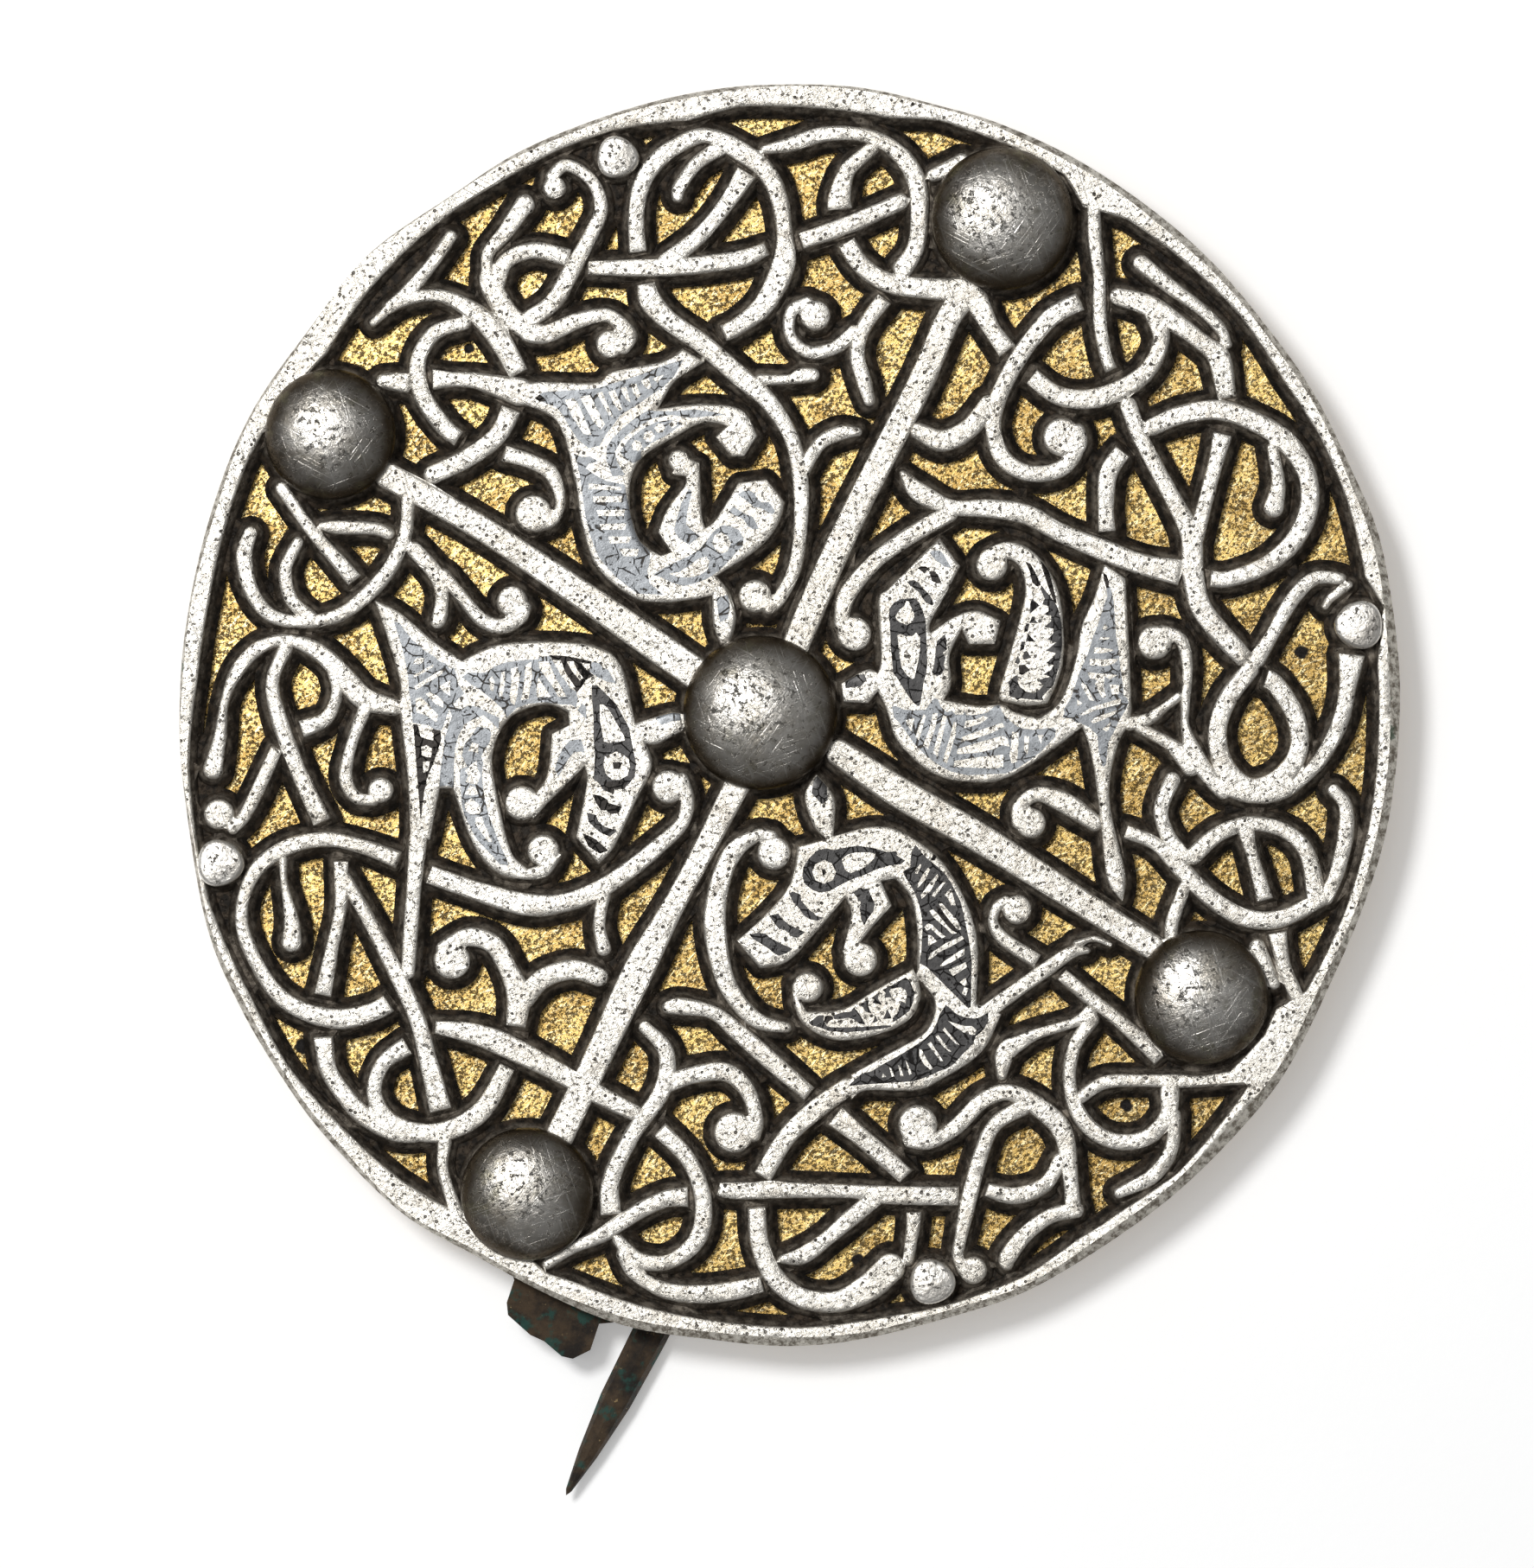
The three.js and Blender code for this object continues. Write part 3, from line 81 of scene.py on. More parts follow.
# Photograph: its size in pixels, its scale and the pixel at the disc's middle.
PHOTO_WIDTH = 1775
PHOTO_HEIGHT = 1814
PIXELS_PER_MM = 14.5
DISC_PIXEL = (913, 826)

# Dents: two crossing waves, each bent by a slower one.
DENT_HEIGHT = 0.018
DENT_WAVES = (0.61, 0.53)
DENT_BENDS = (1.3, -0.9)
DENT_BEND_WAVES = (0.43, 0.37)

# Rim's outer edge, just inside that of the CAD model, and the rough bevel along it.
RIM_INSET = 0.03
RIM_STEPS = 360
RIM_ANGLES = np.arange(RIM_STEPS) * 2 * math.pi / RIM_STEPS
BEVEL_DROP = 0.55
BEVEL_WIDTH = 0.45
BEVEL_SWELL = 0.28
BEVEL_SWELL_ANGLE = math.radians(35)
BEVEL_WAVE = 0.12
BEVEL_WAVES = 7
BEVEL_WAVE_START = 1.0
BEVEL_RIPPLE = 0.06
BEVEL_RIPPLES = 23

# Loose points of the mesh, in staggered rows that are shaken out of line.
FILL_HALF = 50.5
FILL_SPACING = 0.62
FILL_ROW_SPACING = FILL_SPACING * 0.87
FILL_CLEARANCE = 0.16
FILL_SHAKE = 0.22
SHAKE_WAVES = ((12.9, 78.2), (78.2, 37.7))

# Corners of the mesh that are nearer than this are joined, on the carved side and underneath.
SURFACE_MERGE = 1e-4
UNDERSIDE_MERGE = 1e-6

# Turned form of a boss: its shank and back head as in the CAD model, then edge and dome.
SHANK_RADIUS = 1.1
BACK_HEAD_HEIGHT = 0.7
BACK_HEAD_RADIUS = 1.95
WIDE_BACK_HEAD_RADIUS = 4.2
BACK_HEAD_BEVEL = 0.6
BOSS_EDGE_HEIGHT = 0.35
BOSS_EDGE_BEVEL = 0.12
BOSS_SIDES = 112
DOME_RINGS = 22

# Turned form of a small rivet, whose head is a worn lump: shares of its radius and of its rise.
SMALL_SHANK_RADIUS = 0.75
SMALL_BACK_HEAD_RADIUS = 1.4
SMALL_RIVET_SIDES = 48
LUMP_SHAPE = ((1.0, 0.5), (0.975, 0.74), (0.92, 0.91), (0.82, 1.0))
LUMP_WOBBLE = 0.1
LUMP_LOBES = 3

# An edge that turns by more than this stays sharp.
HARD_EDGE = math.radians(32)

# Camera: its height and sensor in millimetres, and how far it sees in metres.
CAMERA_HEIGHT = 900.0
CAMERA_SENSOR = 24.0
CAMERA_REACH = 10.0

# Floor, in metres but for its gap under the brooch, and how much it glows.
FLOOR_SIDE = 3.0
FLOOR_GAP = 0.05
FLOOR_GLOW = 0.30

# Lights, in metres and watts: a broad soft box, a smaller key up to the left, an even surround.
SOFT_BOX_PLACE = (-0.31, 0.22, 1.2)
SOFT_BOX_WIDTH = 0.85
SOFT_BOX_POWER = 3.5
KEY_PLACE = (-0.225, 0.19, 0.70)
KEY_WIDTH = 0.16
KEY_POWER = 3.0
SURROUND = 0.16
SURROUND_COLOR = (0.97, 0.98, 1.0, 1.0)

# Colours as linear red, green and blue.
SILVER_POLISHED = (0.94, 0.90, 0.82)
SILVER_WORN = (0.80, 0.755, 0.67)
SILVER_BLOTCH = (0.50, 0.44, 0.36)
SILVER_SPECKLE = (0.26, 0.215, 0.165)
SILVER_PIT = (0.05, 0.038, 0.028)
# Valleys: tarnish, darkened further with painted shade towards the foot.
VALLEY_SIDE_DARK = (0.06, 0.048, 0.036)
VALLEY_SIDE_LIGHT = (0.30, 0.26, 0.21)
VALLEY_FOOT_DARK = (0.012, 0.009, 0.006)
VALLEY_FOOT_LIGHT = (0.06, 0.043, 0.028)
RIM_LIGHT = (0.74, 0.70, 0.62)
RIM_DARK = (0.22, 0.19, 0.15)
RIM_GREEN = (0.06, 0.12, 0.075)
LIGHT_NIELLO = (0.33, 0.345, 0.36)
LIGHT_NIELLO_CRACK = (0.10, 0.085, 0.07)
DARK_NIELLO = (0.075, 0.072, 0.07)
DARK_NIELLO_CRACK = (0.02, 0.017, 0.015)
# Painted shade of the empty hollow where inlay has fallen out, drawn flush.
LOST_INLAY_SHADE = (0.028, 0.023, 0.019)
LOST_INLAY_SHADE_CRACK = (0.012, 0.010, 0.009)
GOLD_BRIGHT = (0.70, 0.49, 0.17)
GOLD_DULL = (0.43, 0.275, 0.085)
# Painted highlight on the brushed lines of the gilding.
GOLD_PAINTED_GLINT = (0.98, 0.84, 0.50)
GOLD_DIRT = (0.13, 0.075, 0.025)
# Painted shade of the holes in the gilded sheet.
GOLD_HOLE_SHADE = (0.012, 0.009, 0.007)
BOSS_LIGHT = (0.66, 0.635, 0.59)
BOSS_DULL = (0.40, 0.365, 0.305)
# Dark foot of a boss's dome: dirt and painted shade.
BOSS_FOOT_DIRT_AND_SHADE = (0.070, 0.052, 0.032)
BOSS_GREEN = (0.17, 0.155, 0.095)
BOSS_SPECK = (0.045, 0.038, 0.030)
BOSS_SCRATCH = (0.72, 0.70, 0.66)
RIVET_LIGHT = (0.92, 0.89, 0.83)
RIVET_DULL = (0.62, 0.585, 0.53)
RIVET_PIT = (0.14, 0.115, 0.085)
ALLOY_DARK = (0.020, 0.015, 0.011)
ALLOY_BROWN = (0.085, 0.055, 0.030)
ALLOY_GREEN = (0.022, 0.085, 0.068)
ALLOY_GLINT = (0.50, 0.36, 0.18)
PAPER_SHADE = (0.90, 0.90, 0.895)
PAPER_LIGHT = (0.93, 0.93, 0.925)

# Scratches: the scale and direction of each set, and the noise's stretch along them.
SCRATCH_SETS = ((1.0, 0.5), (1.3, 1.25), (1.6, 2.2), (1.9, 2.8))
SCRATCH_STRETCH = (110.0, 4200.0, 300.0)
BRUSHED_STRETCH = (900.0, 5600.0, 900.0)

# How far a colour's edge wanders from the depth or place it is set at, in metres.
RAGGED = 0.0006

# Depths under the plate's top, in metres, over which the bright silver turns into a valley's side
# and the side into its nearly black foot: tarnish in the hollows, deepened with painted shade.
SIDE_DEPTHS = (0.00008, 0.00030)
FOOT_DEPTHS = (0.0006, 0.0012)

# Heights above the plate between which a boss goes from its dark foot, dirt deepened with painted
# shade, to worn bright, and how far that edge wanders.
BOSS_SHADE_AND_WEAR_FROM = 1.9
BOSS_SHADE_AND_WEAR_TO = 3.7
BOSS_SHADE_AND_WEAR_WANDER = 1.4

# How far the grain of each finish stands out of its surface, in metres.
SILVER_RELIEF = 0.00009
NIELLO_RELIEF = 0.00008
GILDING_RELIEF = 0.00004
RIM_RELIEF = 0.00022
BOSS_RELIEF = 0.00009
RIVET_RELIEF = 0.00016
ALLOY_RELIEF = 0.00025
PAPER_RELIEF = 0.00002

# Where the gilded sheet is pierced or cracked, drawn as spots of painted shade: x, y and radius in
# millimetres.
SHEET_DAMAGE = (
    (27.0, -31.3, 0.6),
    (-38.9, -26.6, 0.75),
    (41.0, 5.0, 0.6),
    (-25.6, 29.2, 0.5),
    (5.5, -43.7, 0.6),
)

# Field of the carving: how far inside a ridge a point lies, negative out in a valley. It is a grid
# of square cells, whose corners and sides are numbered round from the lower left.
CELL = 0.05
FIELD_HALF = 52.0
FIELD_SIDE = int(round(2 * FIELD_HALF / CELL)) + 1
FIELD_PLACES = np.arange(FIELD_SIDE) * CELL - FIELD_HALF
FIELD_END = FIELD_SIDE - 1.001
SQUARE = ((0, 0), (1, 0), (1, 1), (0, 1))

# How far out from a ridge the field is worked out, which is past the deepest level that is used.
REACH = VALLEY_SIDE_RUN + 0.35

# Curves through the points of the tables, and the straight cut at a strand's flat end.
STEPS_PER_SPAN = 8
FLAT_END_REACH = 1.6
CORNER_TURN = math.radians(50)
SHORTEST_SQUARED = 1e-9

# Outlines taken from the field: how near they keep to it, and the least areas that count.
OUTLINE_TOLERANCE = 0.014
SMALLEST_LOOP = 0.02
SMALLEST_HOLE = 0.3

# Rim: its outer outline and the inner edge of its flat top, each x, y round the disc from the top.
RIM_OUTER = [
  0,50.3, 6,50, 12,48.6, 17,47.1, 23,44.3, 29,40.3, 34,35.9, 38.6,30.4, 42,25.5, 45,19.4, 47.2,14,
  48.5,6.5, 48.8,0, 48,-8, 46.2,-14.5, 43.5,-21, 40.1,-27.9, 36.6,-32.6, 31,-38.2, 25,-42.6, 19,-46.1,
  13.5,-48, 6,-49.9, 0,-50.5, -6,-50, -13,-48.9, -19,-46.5, -25,-43.3, -31,-39.8, -37,-33.8,
  -40.6,-28.9, -43.9,-23.3, -46.5,-17, -48.1,-8, -48.7,-1, -48.2,7, -46.2,16, -43,24, -38,31.2,
  -33.5,36.8, -27,41.4, -21,45.2, -13,48.3, -6,49.9,
]
RIM_INNER = [
  0,48.5, 5,48.1, 8,47.6, 12,47.4, 16,46, 20,44.3, 22,43, 23.5,40.5, 27,39.5, 31.5,36.2, 36,31.9,
  39.5,26.6, 42.5,22, 44.5,17.3, 46,11, 47.5,8.5, 47,4, 47.1,-1, 46.5,-8, 44.7,-15, 42.6,-19.8,
  41.3,-22.1, 38.9,-23.6, 38,-25.6, 35.3,-28.5, 36.7,-29.7, 34.5,-32.7, 31,-36.7, 27,-39.4, 23,-42,
  18.8,-44.9, 13,-47.1, 8,-48.1, 1,-49, -5,-48.6, -12,-47.2, -17,-45.4, -19.4,-44.6, -20.4,-43.7,
  -23.5,-42.8, -26.2,-40, -31,-37.2, -36.1,-32.6, -40,-28.1, -43,-22.5, -46.3,-15, -47.6,-8, -47.9,-4,
  -47.2,3, -46.3,9, -45,15, -43.3,20, -42,22.5, -36.9,28.8, -33.8,33.5, -31,36.6, -27,40, -23,42.5,
  -18.5,45, -14,46.6, -8,47.4, -4,48.5,
]

# Ridges of the interlace, each a middle line of x, y and width of the flat top. The two letters
# say how its ends are cut: r round, f flat where it dips under the ridge that crosses it.
TOP_STRANDS = [
  ["rf", -33.2,31.2,.5, -31,32.9,.85, -28,33.4,.9, -25.3,32.2,1.4, -23.3,30.2,1.7, -21.6,27.2,1.5],
  ["rr", -27,38.1,.9, -28.5,35.9,.9, -30.6,33.5,1, -31.8,32.5,.9],
  ["rf", -25.9,31.2,1, -28.3,30.4,1.1, -29.6,28.2,1.2, -29.3,25.5,1.3, -27.6,23,1.3, -26.4,22,1.2],
  ["rf", -32.4,26.6,1, -31.3,26.5,1.4, -30.3,26.4,1.5],
  ["fr", -28.4,26.7,1.5, -26.8,26.7,1.1, -25,26.6,1.2, -23,26.1,1.7, -21.5,25.7,2.1],
  ["fr", -22.2,24.3,1.5, -23.2,22.3,1.4, -25.5,20.5,1.4, -28.4,19.1,1.4],
  ["rr", -30.4,17.5,1, -30.6,14.5,.95, -31.7,11.9,1.05, -33.4,9.8,1.1, -35.7,8,1, -38.5,7.35,.9,
    -41.3,7.85,1, -42.9,9.8,1.1, -43.5,12.5,1.2, -43,14.4,1],
  ["rr", -29.9,13.1,1.2, -28.2,11.2,1.2, -27.7,9.5,1, -27.9,7.7,1.1, -28.1,7.3,.9],
  ["rr", -27.6,11,1.1, -26.3,9.6,.9, -24.6,7.6,1, -23,7,1.1, -21.5,7.7,1.1, -21.1,8.5,.9],
  ["rf", -40.5,18,.9, -38.1,14.6,.9, -35.9,12.1,1.1, -34.7,10.7,1.2],
  ["rr", -37.3,15,.5, -36,14.9,1, -33.1,14.8,.9, -32,14.4,.9],
  ["rr", -39.2,13.7,.8, -40.2,11.5,.95, -39.7,9.1,1, -38.2,7.7,1],
  ["rr", -21.1,40.7,1.4, -22.6,38.5,1.2, -24,36.8,.9, -24.1,35.4,.9, -23.8,34.2,1.6, -22.4,31.9,1.6,
    -20.5,30.4,1.5],
  ["fr", -17.6,36.4,1.3, -20.3,37,1.2, -22.6,36.1,1.2, -23.4,34,1.2],
  ["rr", -18.9,42.9,.9, -17.7,43.8,.9, -15.7,42.5,.9, -15,40.3,1, -15.9,38.1,1.1, -17.6,34.9,1.3,
    -18.9,32.8,1.3, -20.9,31.4,1.3],
  ["rr", -20.8,30.5,1.5, -19.3,30.35,1.4, -16.8,31.4,1.2, -14.4,31.8,1, -12.9,30.3,1.3, -13.2,29.3,1.1],
  ["rf", -20.2,15,.9, -18.8,15.5,.8, -18.25,17,.7, -18.9,19.1,1.1, -20.5,20.1,1.1, -22.7,20.8,1.2],
  ["ff", -12.05,36.9,1.3, -12.2,39.5,1.2, -11.8,42.1,1.25, -10.4,44.3,1.3, -7.9,45.9,1.2, -6.2,46.1,1.1,
    -4.2,45.1,1.5, -2,43.5,1.4, -.8,41.2,1.3, -.35,38.2,1.2, -.45,35.8,1.8, -1.9,32.8,1.6, -4,31,1.3,
    -5.2,30.4,1.3],
  ["rr", -5.3,45.3,1.2, -7.3,44,1, -8.7,42.1,.95, -8.9,41.3,.8],
  ["fr", -3.4,43.2,1.6, -5,40.7,1.2, -7.1,38.2,1.2, -9.8,36.1,1.3],
  ["ff", -16,35.6,1, -12.5,35.6,1.3, -8.5,35.7,1.3, -4,36.3,1.3, -1.8,37.1,1],
  ["fr", -11.4,34.3,1.3, -11,32.9,1.7, -9.5,31.3,1.5, -7,29.6,1.5, -4,27,1.5, -1.6,24.9,1.3, .2,22,1.1,
    .95,18.5,1.2, .9,14.5,1, .4,11.5,1, -.7,9.3,1, -1.6,8.5,1],
  ["rr", -2.3,26.7,.8, 0,26.7,.7, 1,27,1.1, 1.9,27.05,1],
  ["rr", 1.5,32.8,.9, .2,32.1,.9, .1,30.2,.8, 1.5,28.9,.9, 3.6,29.2,.95, 5.2,30.5,1],
  ["fr", 7.6,33.1,1.2, 6,30.9,1.1, 5.45,28.7,1.1, 6,26.5,1.1, 6.4,25,.8],
  ["rr", 1.2,19.5,1, 2.4,21.5,1, 4,22.4,1.1, 5.5,22.5,.6],
  ["rr", -2,45.05,.5, .3,45.5,1.1, 3,46.3,1.1, 6.5,46.1,1, 8.9,44.6,1.3, 10.2,42.4,1.4, 10.4,39.8,1.3,
    10.1,37.2,1.3, 9.1,35.6,1.5],
  ["rf", 6.6,45.1,1, 4.7,43.4,1.2, 4.05,41.3,1.7, 4.05,40.3,1.9],
  ["fr", 1,37.75,1.25, 5,39.15,1.3, 8.9,40.9,1.2],
  ["fr", 4.6,37.6,1.4, 5.9,35.7,1.4, 8.3,34.3,1.5, 12,33.9,1.6, 13.6,33.9,1.8],
  ["rr", 11.5,43,.9, 13.8,44,1.3],
]

RIGHT_STRANDS = [
  ["rf", 15,33,1.8, 16.2,30.7,1.3, 17.4,29,1.5],
  ["fr", 23.2,32.9,1.4, 21.1,31.8,1.4, 19.3,29.8,1.3, 17.9,27.7,1.3, 16.7,25.2,1.3, 16.3,22.8,1.2,
    17.1,20.4,1.3, 19.2,19.2,1.2, 21.8,19.6,1.2, 23.2,21.4,1, 23,22.5,1.2],
  ["rr", 10.3,22.6,1.2, 12.3,21.8,1.6, 14.4,22.8,1.5, 15.9,24.7,1.4],
  ["fr", 19.4,26.9,1.3, 21.3,25.5,1.4, 23.7,25.1,1.5, 26.3,25.8,1.5, 28.6,27.4,1.3, 29.7,29.8,1.2,
    29.2,32,1.6],
  ["rf", 24.3,41.2,.9, 24.4,38,1, 24.75,35,.9, 24.8,31.5,1, 25.25,28.7,.9, 25.7,27.5,.9],
  ["rf", 26.3,33.3,1.3, 28.7,32.6,1.6, 31.2,31,1.4, 33.3,29.4,1.3, 34.3,28.5,1.7, 34.8,26.2,1.5,
    34.95,25.3,1.4],
  ["rr", 28.1,36,1.2, 30.3,34.2,1.1, 32.5,32.6,.9, 34.4,30.8,.8, 35,29.5,.6],
  ["rf", 27.1,24.6,1.3, 28,22.2,1.2, 29.4,19.5,1.2, 30.9,16.7,1.3, 32.1,14.2,1.6, 32.25,11.2,1.6,
    32.9,8.5,1.6, 34.7,6.2,1.6, 36.4,4.4,1.4],
  ["fr", 34.6,22.3,1.4, 34,19.8,1.1, 33.2,16.8,1.1, 32.5,14,1.2],
  ["ff", 26.6,20.9,1.3, 25.5,19.2,1.4, 25.3,16.5,1.2, 25.4,14.6,1.3],
  ["rf", 9.05,19.2,.4, 10.4,17.7,1.5, 13,16.5,1.1, 16,16.4,1.4, 19,15.9,1.5, 21.8,14.4,1.4, 25,13.1,1.6,
    28.3,11.9,1.6, 31.2,11.3,2],
  ["rr", 4.2,7.2,1.1, 4.6,9.4,1.3, 6.9,12.2,1.2, 9.8,14.3,1.3, 12.8,16,1.3],
  ["rf", 29,22.9,1.3, 31.4,23.9,1.4, 34.3,24.25,1.5, 37,23.4,1.5, 39.6,21.8,1.6, 41.3,19.3,1.4,
    41.5,16.4,1.4, 40.3,13.8,1.4, 38.1,11.9,1.3, 35.2,10.8,1.2, 33.7,10.8,1.2],
  ["rr", 38.6,21.2,.8, 39.05,18.5,1, 38.7,16.5,1.5],
  ["rr", 29.8,6.6,.9, 31.3,5.9,.9, 31.8,3.8,.8, 31.65,.7,.6, 31.65,-1,.6, 32.3,-3.1,1.3, 33.7,-5.2,1.2,
    34.7,-6.1,1.3],
  ["rr", 27.2,-.8,1, 28.7,-.4,.9, 30.2,.7,.6, 31.1,1.4,.6],
  ["rr", 28,-1.1,.8, 30.2,-2.3,.9, 31.2,-3.1,1.3, 32.1,-4.2,1.4],
  ["rr", 42.8,8.6,.5, 43.3,9.3,.6, 44.7,10.3,.5],
  ["rf", 44,10.8,.8, 41.9,10.8,1, 40.1,9,1.1, 38.5,6.2,1, 37,3.8,1.3, 35.1,1.3,1.4, 34.2,-1.4,1.4,
    34.8,-4.2,1.5, 36.8,-6,1.7, 39.3,-5.1,1.6, 40.7,-2.8,1.4, 40.4,-.1,1.4, 38.9,2.3,1.4, 38.1,2.8,1.4],
  ["fr", 44.9,4.7,2, 44.6,2.2,1.3, 44.1,-.3,1.2, 42.9,-2.9,1.1, 41.2,-5,.9, 39.2,-6.5,.7, 36.8,-6.6,.9,
    34.4,-5.8,1],
  ["rr", 43.5,-6.1,.9, 44.4,-7.3,1, 44.45,-9.5,1.2, 43.8,-12.5,1.1, 42.9,-14.7,1],
  ["rr", 32.3,-11.3,1.3, 34.4,-9.5,1.2, 37,-8.75,1.1, 39.7,-9.4,1.1, 41.4,-11.2,1.2, 42.1,-14.6,1.4],
  ["rf", 36.5,-9.4,1.3, 36.9,-11,.9, 38,-14.8,1.2],
  ["fr", 26.9,-9.4,1, 29.3,-10.4,1, 31.5,-12.6,1.3, 33.7,-14.7,1.3, 36.2,-16.2,1.4, 39.2,-16.35,1.3,
    42.4,-14.8,1.1],
  ["rr", 30.6,-5.3,1.2, 29.7,-7.6,1.1, 30.2,-9.6,1.1, 31.4,-11.4,1.3],
  ["rr", 24.4,-8.7,1.2, 22.2,-7.2,1.6, 19.9,-6.4,1.1, 18.4,-7.4,1, 18.3,-8.7,.9],
]

BOTTOM_STRANDS = [
  ["rr", 15.6,-23.9,1.2, 18.1,-22.1,1.1, 20.5,-20.4,1.1, 22.6,-19,.9, 23.8,-18.9,.4],
  ["rr", 22.9,-18.3,.35, 24.4,-17.95,.4, 25.6,-18.4,.3],
  ["fr", 19.8,-19.7,1.1, 17.3,-18.1,1, 16.3,-16.7,.7, 16.6,-15.4,.7, 17.3,-14.9,.7],
  ["ff", 21.8,-20.8,1, 23.8,-22.5,1, 25.9,-24.1,1, 27.7,-25.7,1.1, 29.5,-27.6,.9],
  ["rr", 24,-23.8,1, 22.8,-24.6,.7, 19.9,-25.5,.8, 18.5,-26.2,1.1, 17.3,-27,1.5, 17,-28.8,.7],
  ["rr", 24.2,-24.4,1, 22.8,-26.5,1, 22.4,-29.5,.95, 23.4,-32.3,1.2, 25.6,-34,1.2, 28.4,-33.9,1.2,
    30.2,-32.1,1.2, 30.4,-30.2,1.5],
  ["rr", 23.3,-30.6,.9, 25.2,-29.4,1, 28,-29.25,.9, 31,-29.3,1, 33,-29.3,.8, 36.6,-28.9,1.2],
  ["rr", 30.8,-32,.9, 30.5,-34.8,1, 29,-36.9,1.1, 26.4,-38.2,.8],
  ["rr", 9.8,-33.9,1.4, 11.2,-34.2,1, 13.4,-32.9,1.2, 15.4,-30.9,1.2, 17.6,-30.2,1.2, 20.1,-31.5,1.5,
    21.9,-33.5,1.5, 22.5,-37.3,1.1, 22.7,-39.6,1.2],
  ["rr", 18.7,-31.4,1.2, 16.5,-32.7,1.1, 15.4,-34.9,1.1, 14.4,-38.6,1.2, 13.6,-42.3,.9, 13.5,-43.3,.8,
    13.9,-44.3,.9],
  ["rf", 21.6,-35.6,1, 20.5,-37.5,1.1, 18.1,-38.45,1.3, 15.8,-37.95,1],
  ["rr", 22.9,-39.6,1.2, 20.8,-40.1,1.1, 18.8,-41.6,1.2, 17.5,-43.3,1.3, 17.4,-43.9,.9],
  ["rr", 31.6,-13.8,.9, 30.6,-16.5,1, 30.5,-17.7,.9],
  ["fr", 39,-17.5,1.4, 39.5,-20,1, 40.5,-22.5,1.1],
  ["rr", 37.4,-18.6,1.2, 38.7,-21.5,.9],
  ["rf", -9.6,-23.4,.9, -8.6,-23.35,1.3, -6.1,-23.8,1, -4.2,-25.3,1.3, -1.2,-27.9,1.4, 1.6,-30.3,1.2],
  ["fr", -2.1,-36.9,1.4, -.2,-33.8,1.4, 2.1,-31.6,1.5, 4.6,-29.8,1.4],
  ["ff", -5.6,-37.9,.9, -4.3,-38.05,1.3, 0,-38,1.2, 5,-38.1,1, 8,-38.4,1.4, 13.5,-38.5,1.4],
  ["rr", 7,-38.6,1.2, 5.1,-40.1,1.3, 3,-41.9,1.1, 1.1,-43.2,1.3, -.5,-43.5,.6],
  ["fr", -2.6,-39.4,1.35, -2.3,-42.4,1.4, -1.1,-45,1.5, 1,-46.6,1.5, 3.8,-46.9,1.6, 6.3,-45.8,2.1,
    8.1,-44.2,2.2],
  ["fr", 9.95,-39.8,1.1, 9.9,-41.1,1, 9.5,-43.6,.8],
  ["ff", 3.7,-32.1,1.7, 5.8,-33.8,1.4, 7.9,-35.6,1.4, 9.3,-36.9,1.3],
  ["rf", -19.3,-43.9,.7, -17.2,-42.6,.8, -15,-41.6,1.1, -12,-39.7,1.2, -9.8,-38.7,1.3, -8.1,-38.55,1.5],
  ["rf", -13.6,-42,.8, -12,-43.6,1.2, -9.6,-43.7,1.1, -7.5,-42.2,1.3, -6.8,-39.8,1.3, -7.2,-37.3,1.2,
    -8.3,-35.2,1.2, -10.3,-33.2,1.3],
  ["rf", -13.1,-43.1,1.2, -12.4,-44.6,1, -9.9,-46,1.2, -7,-46.3,1.4, -4.3,-46,1.4, -2.2,-45.5,1.2],
]

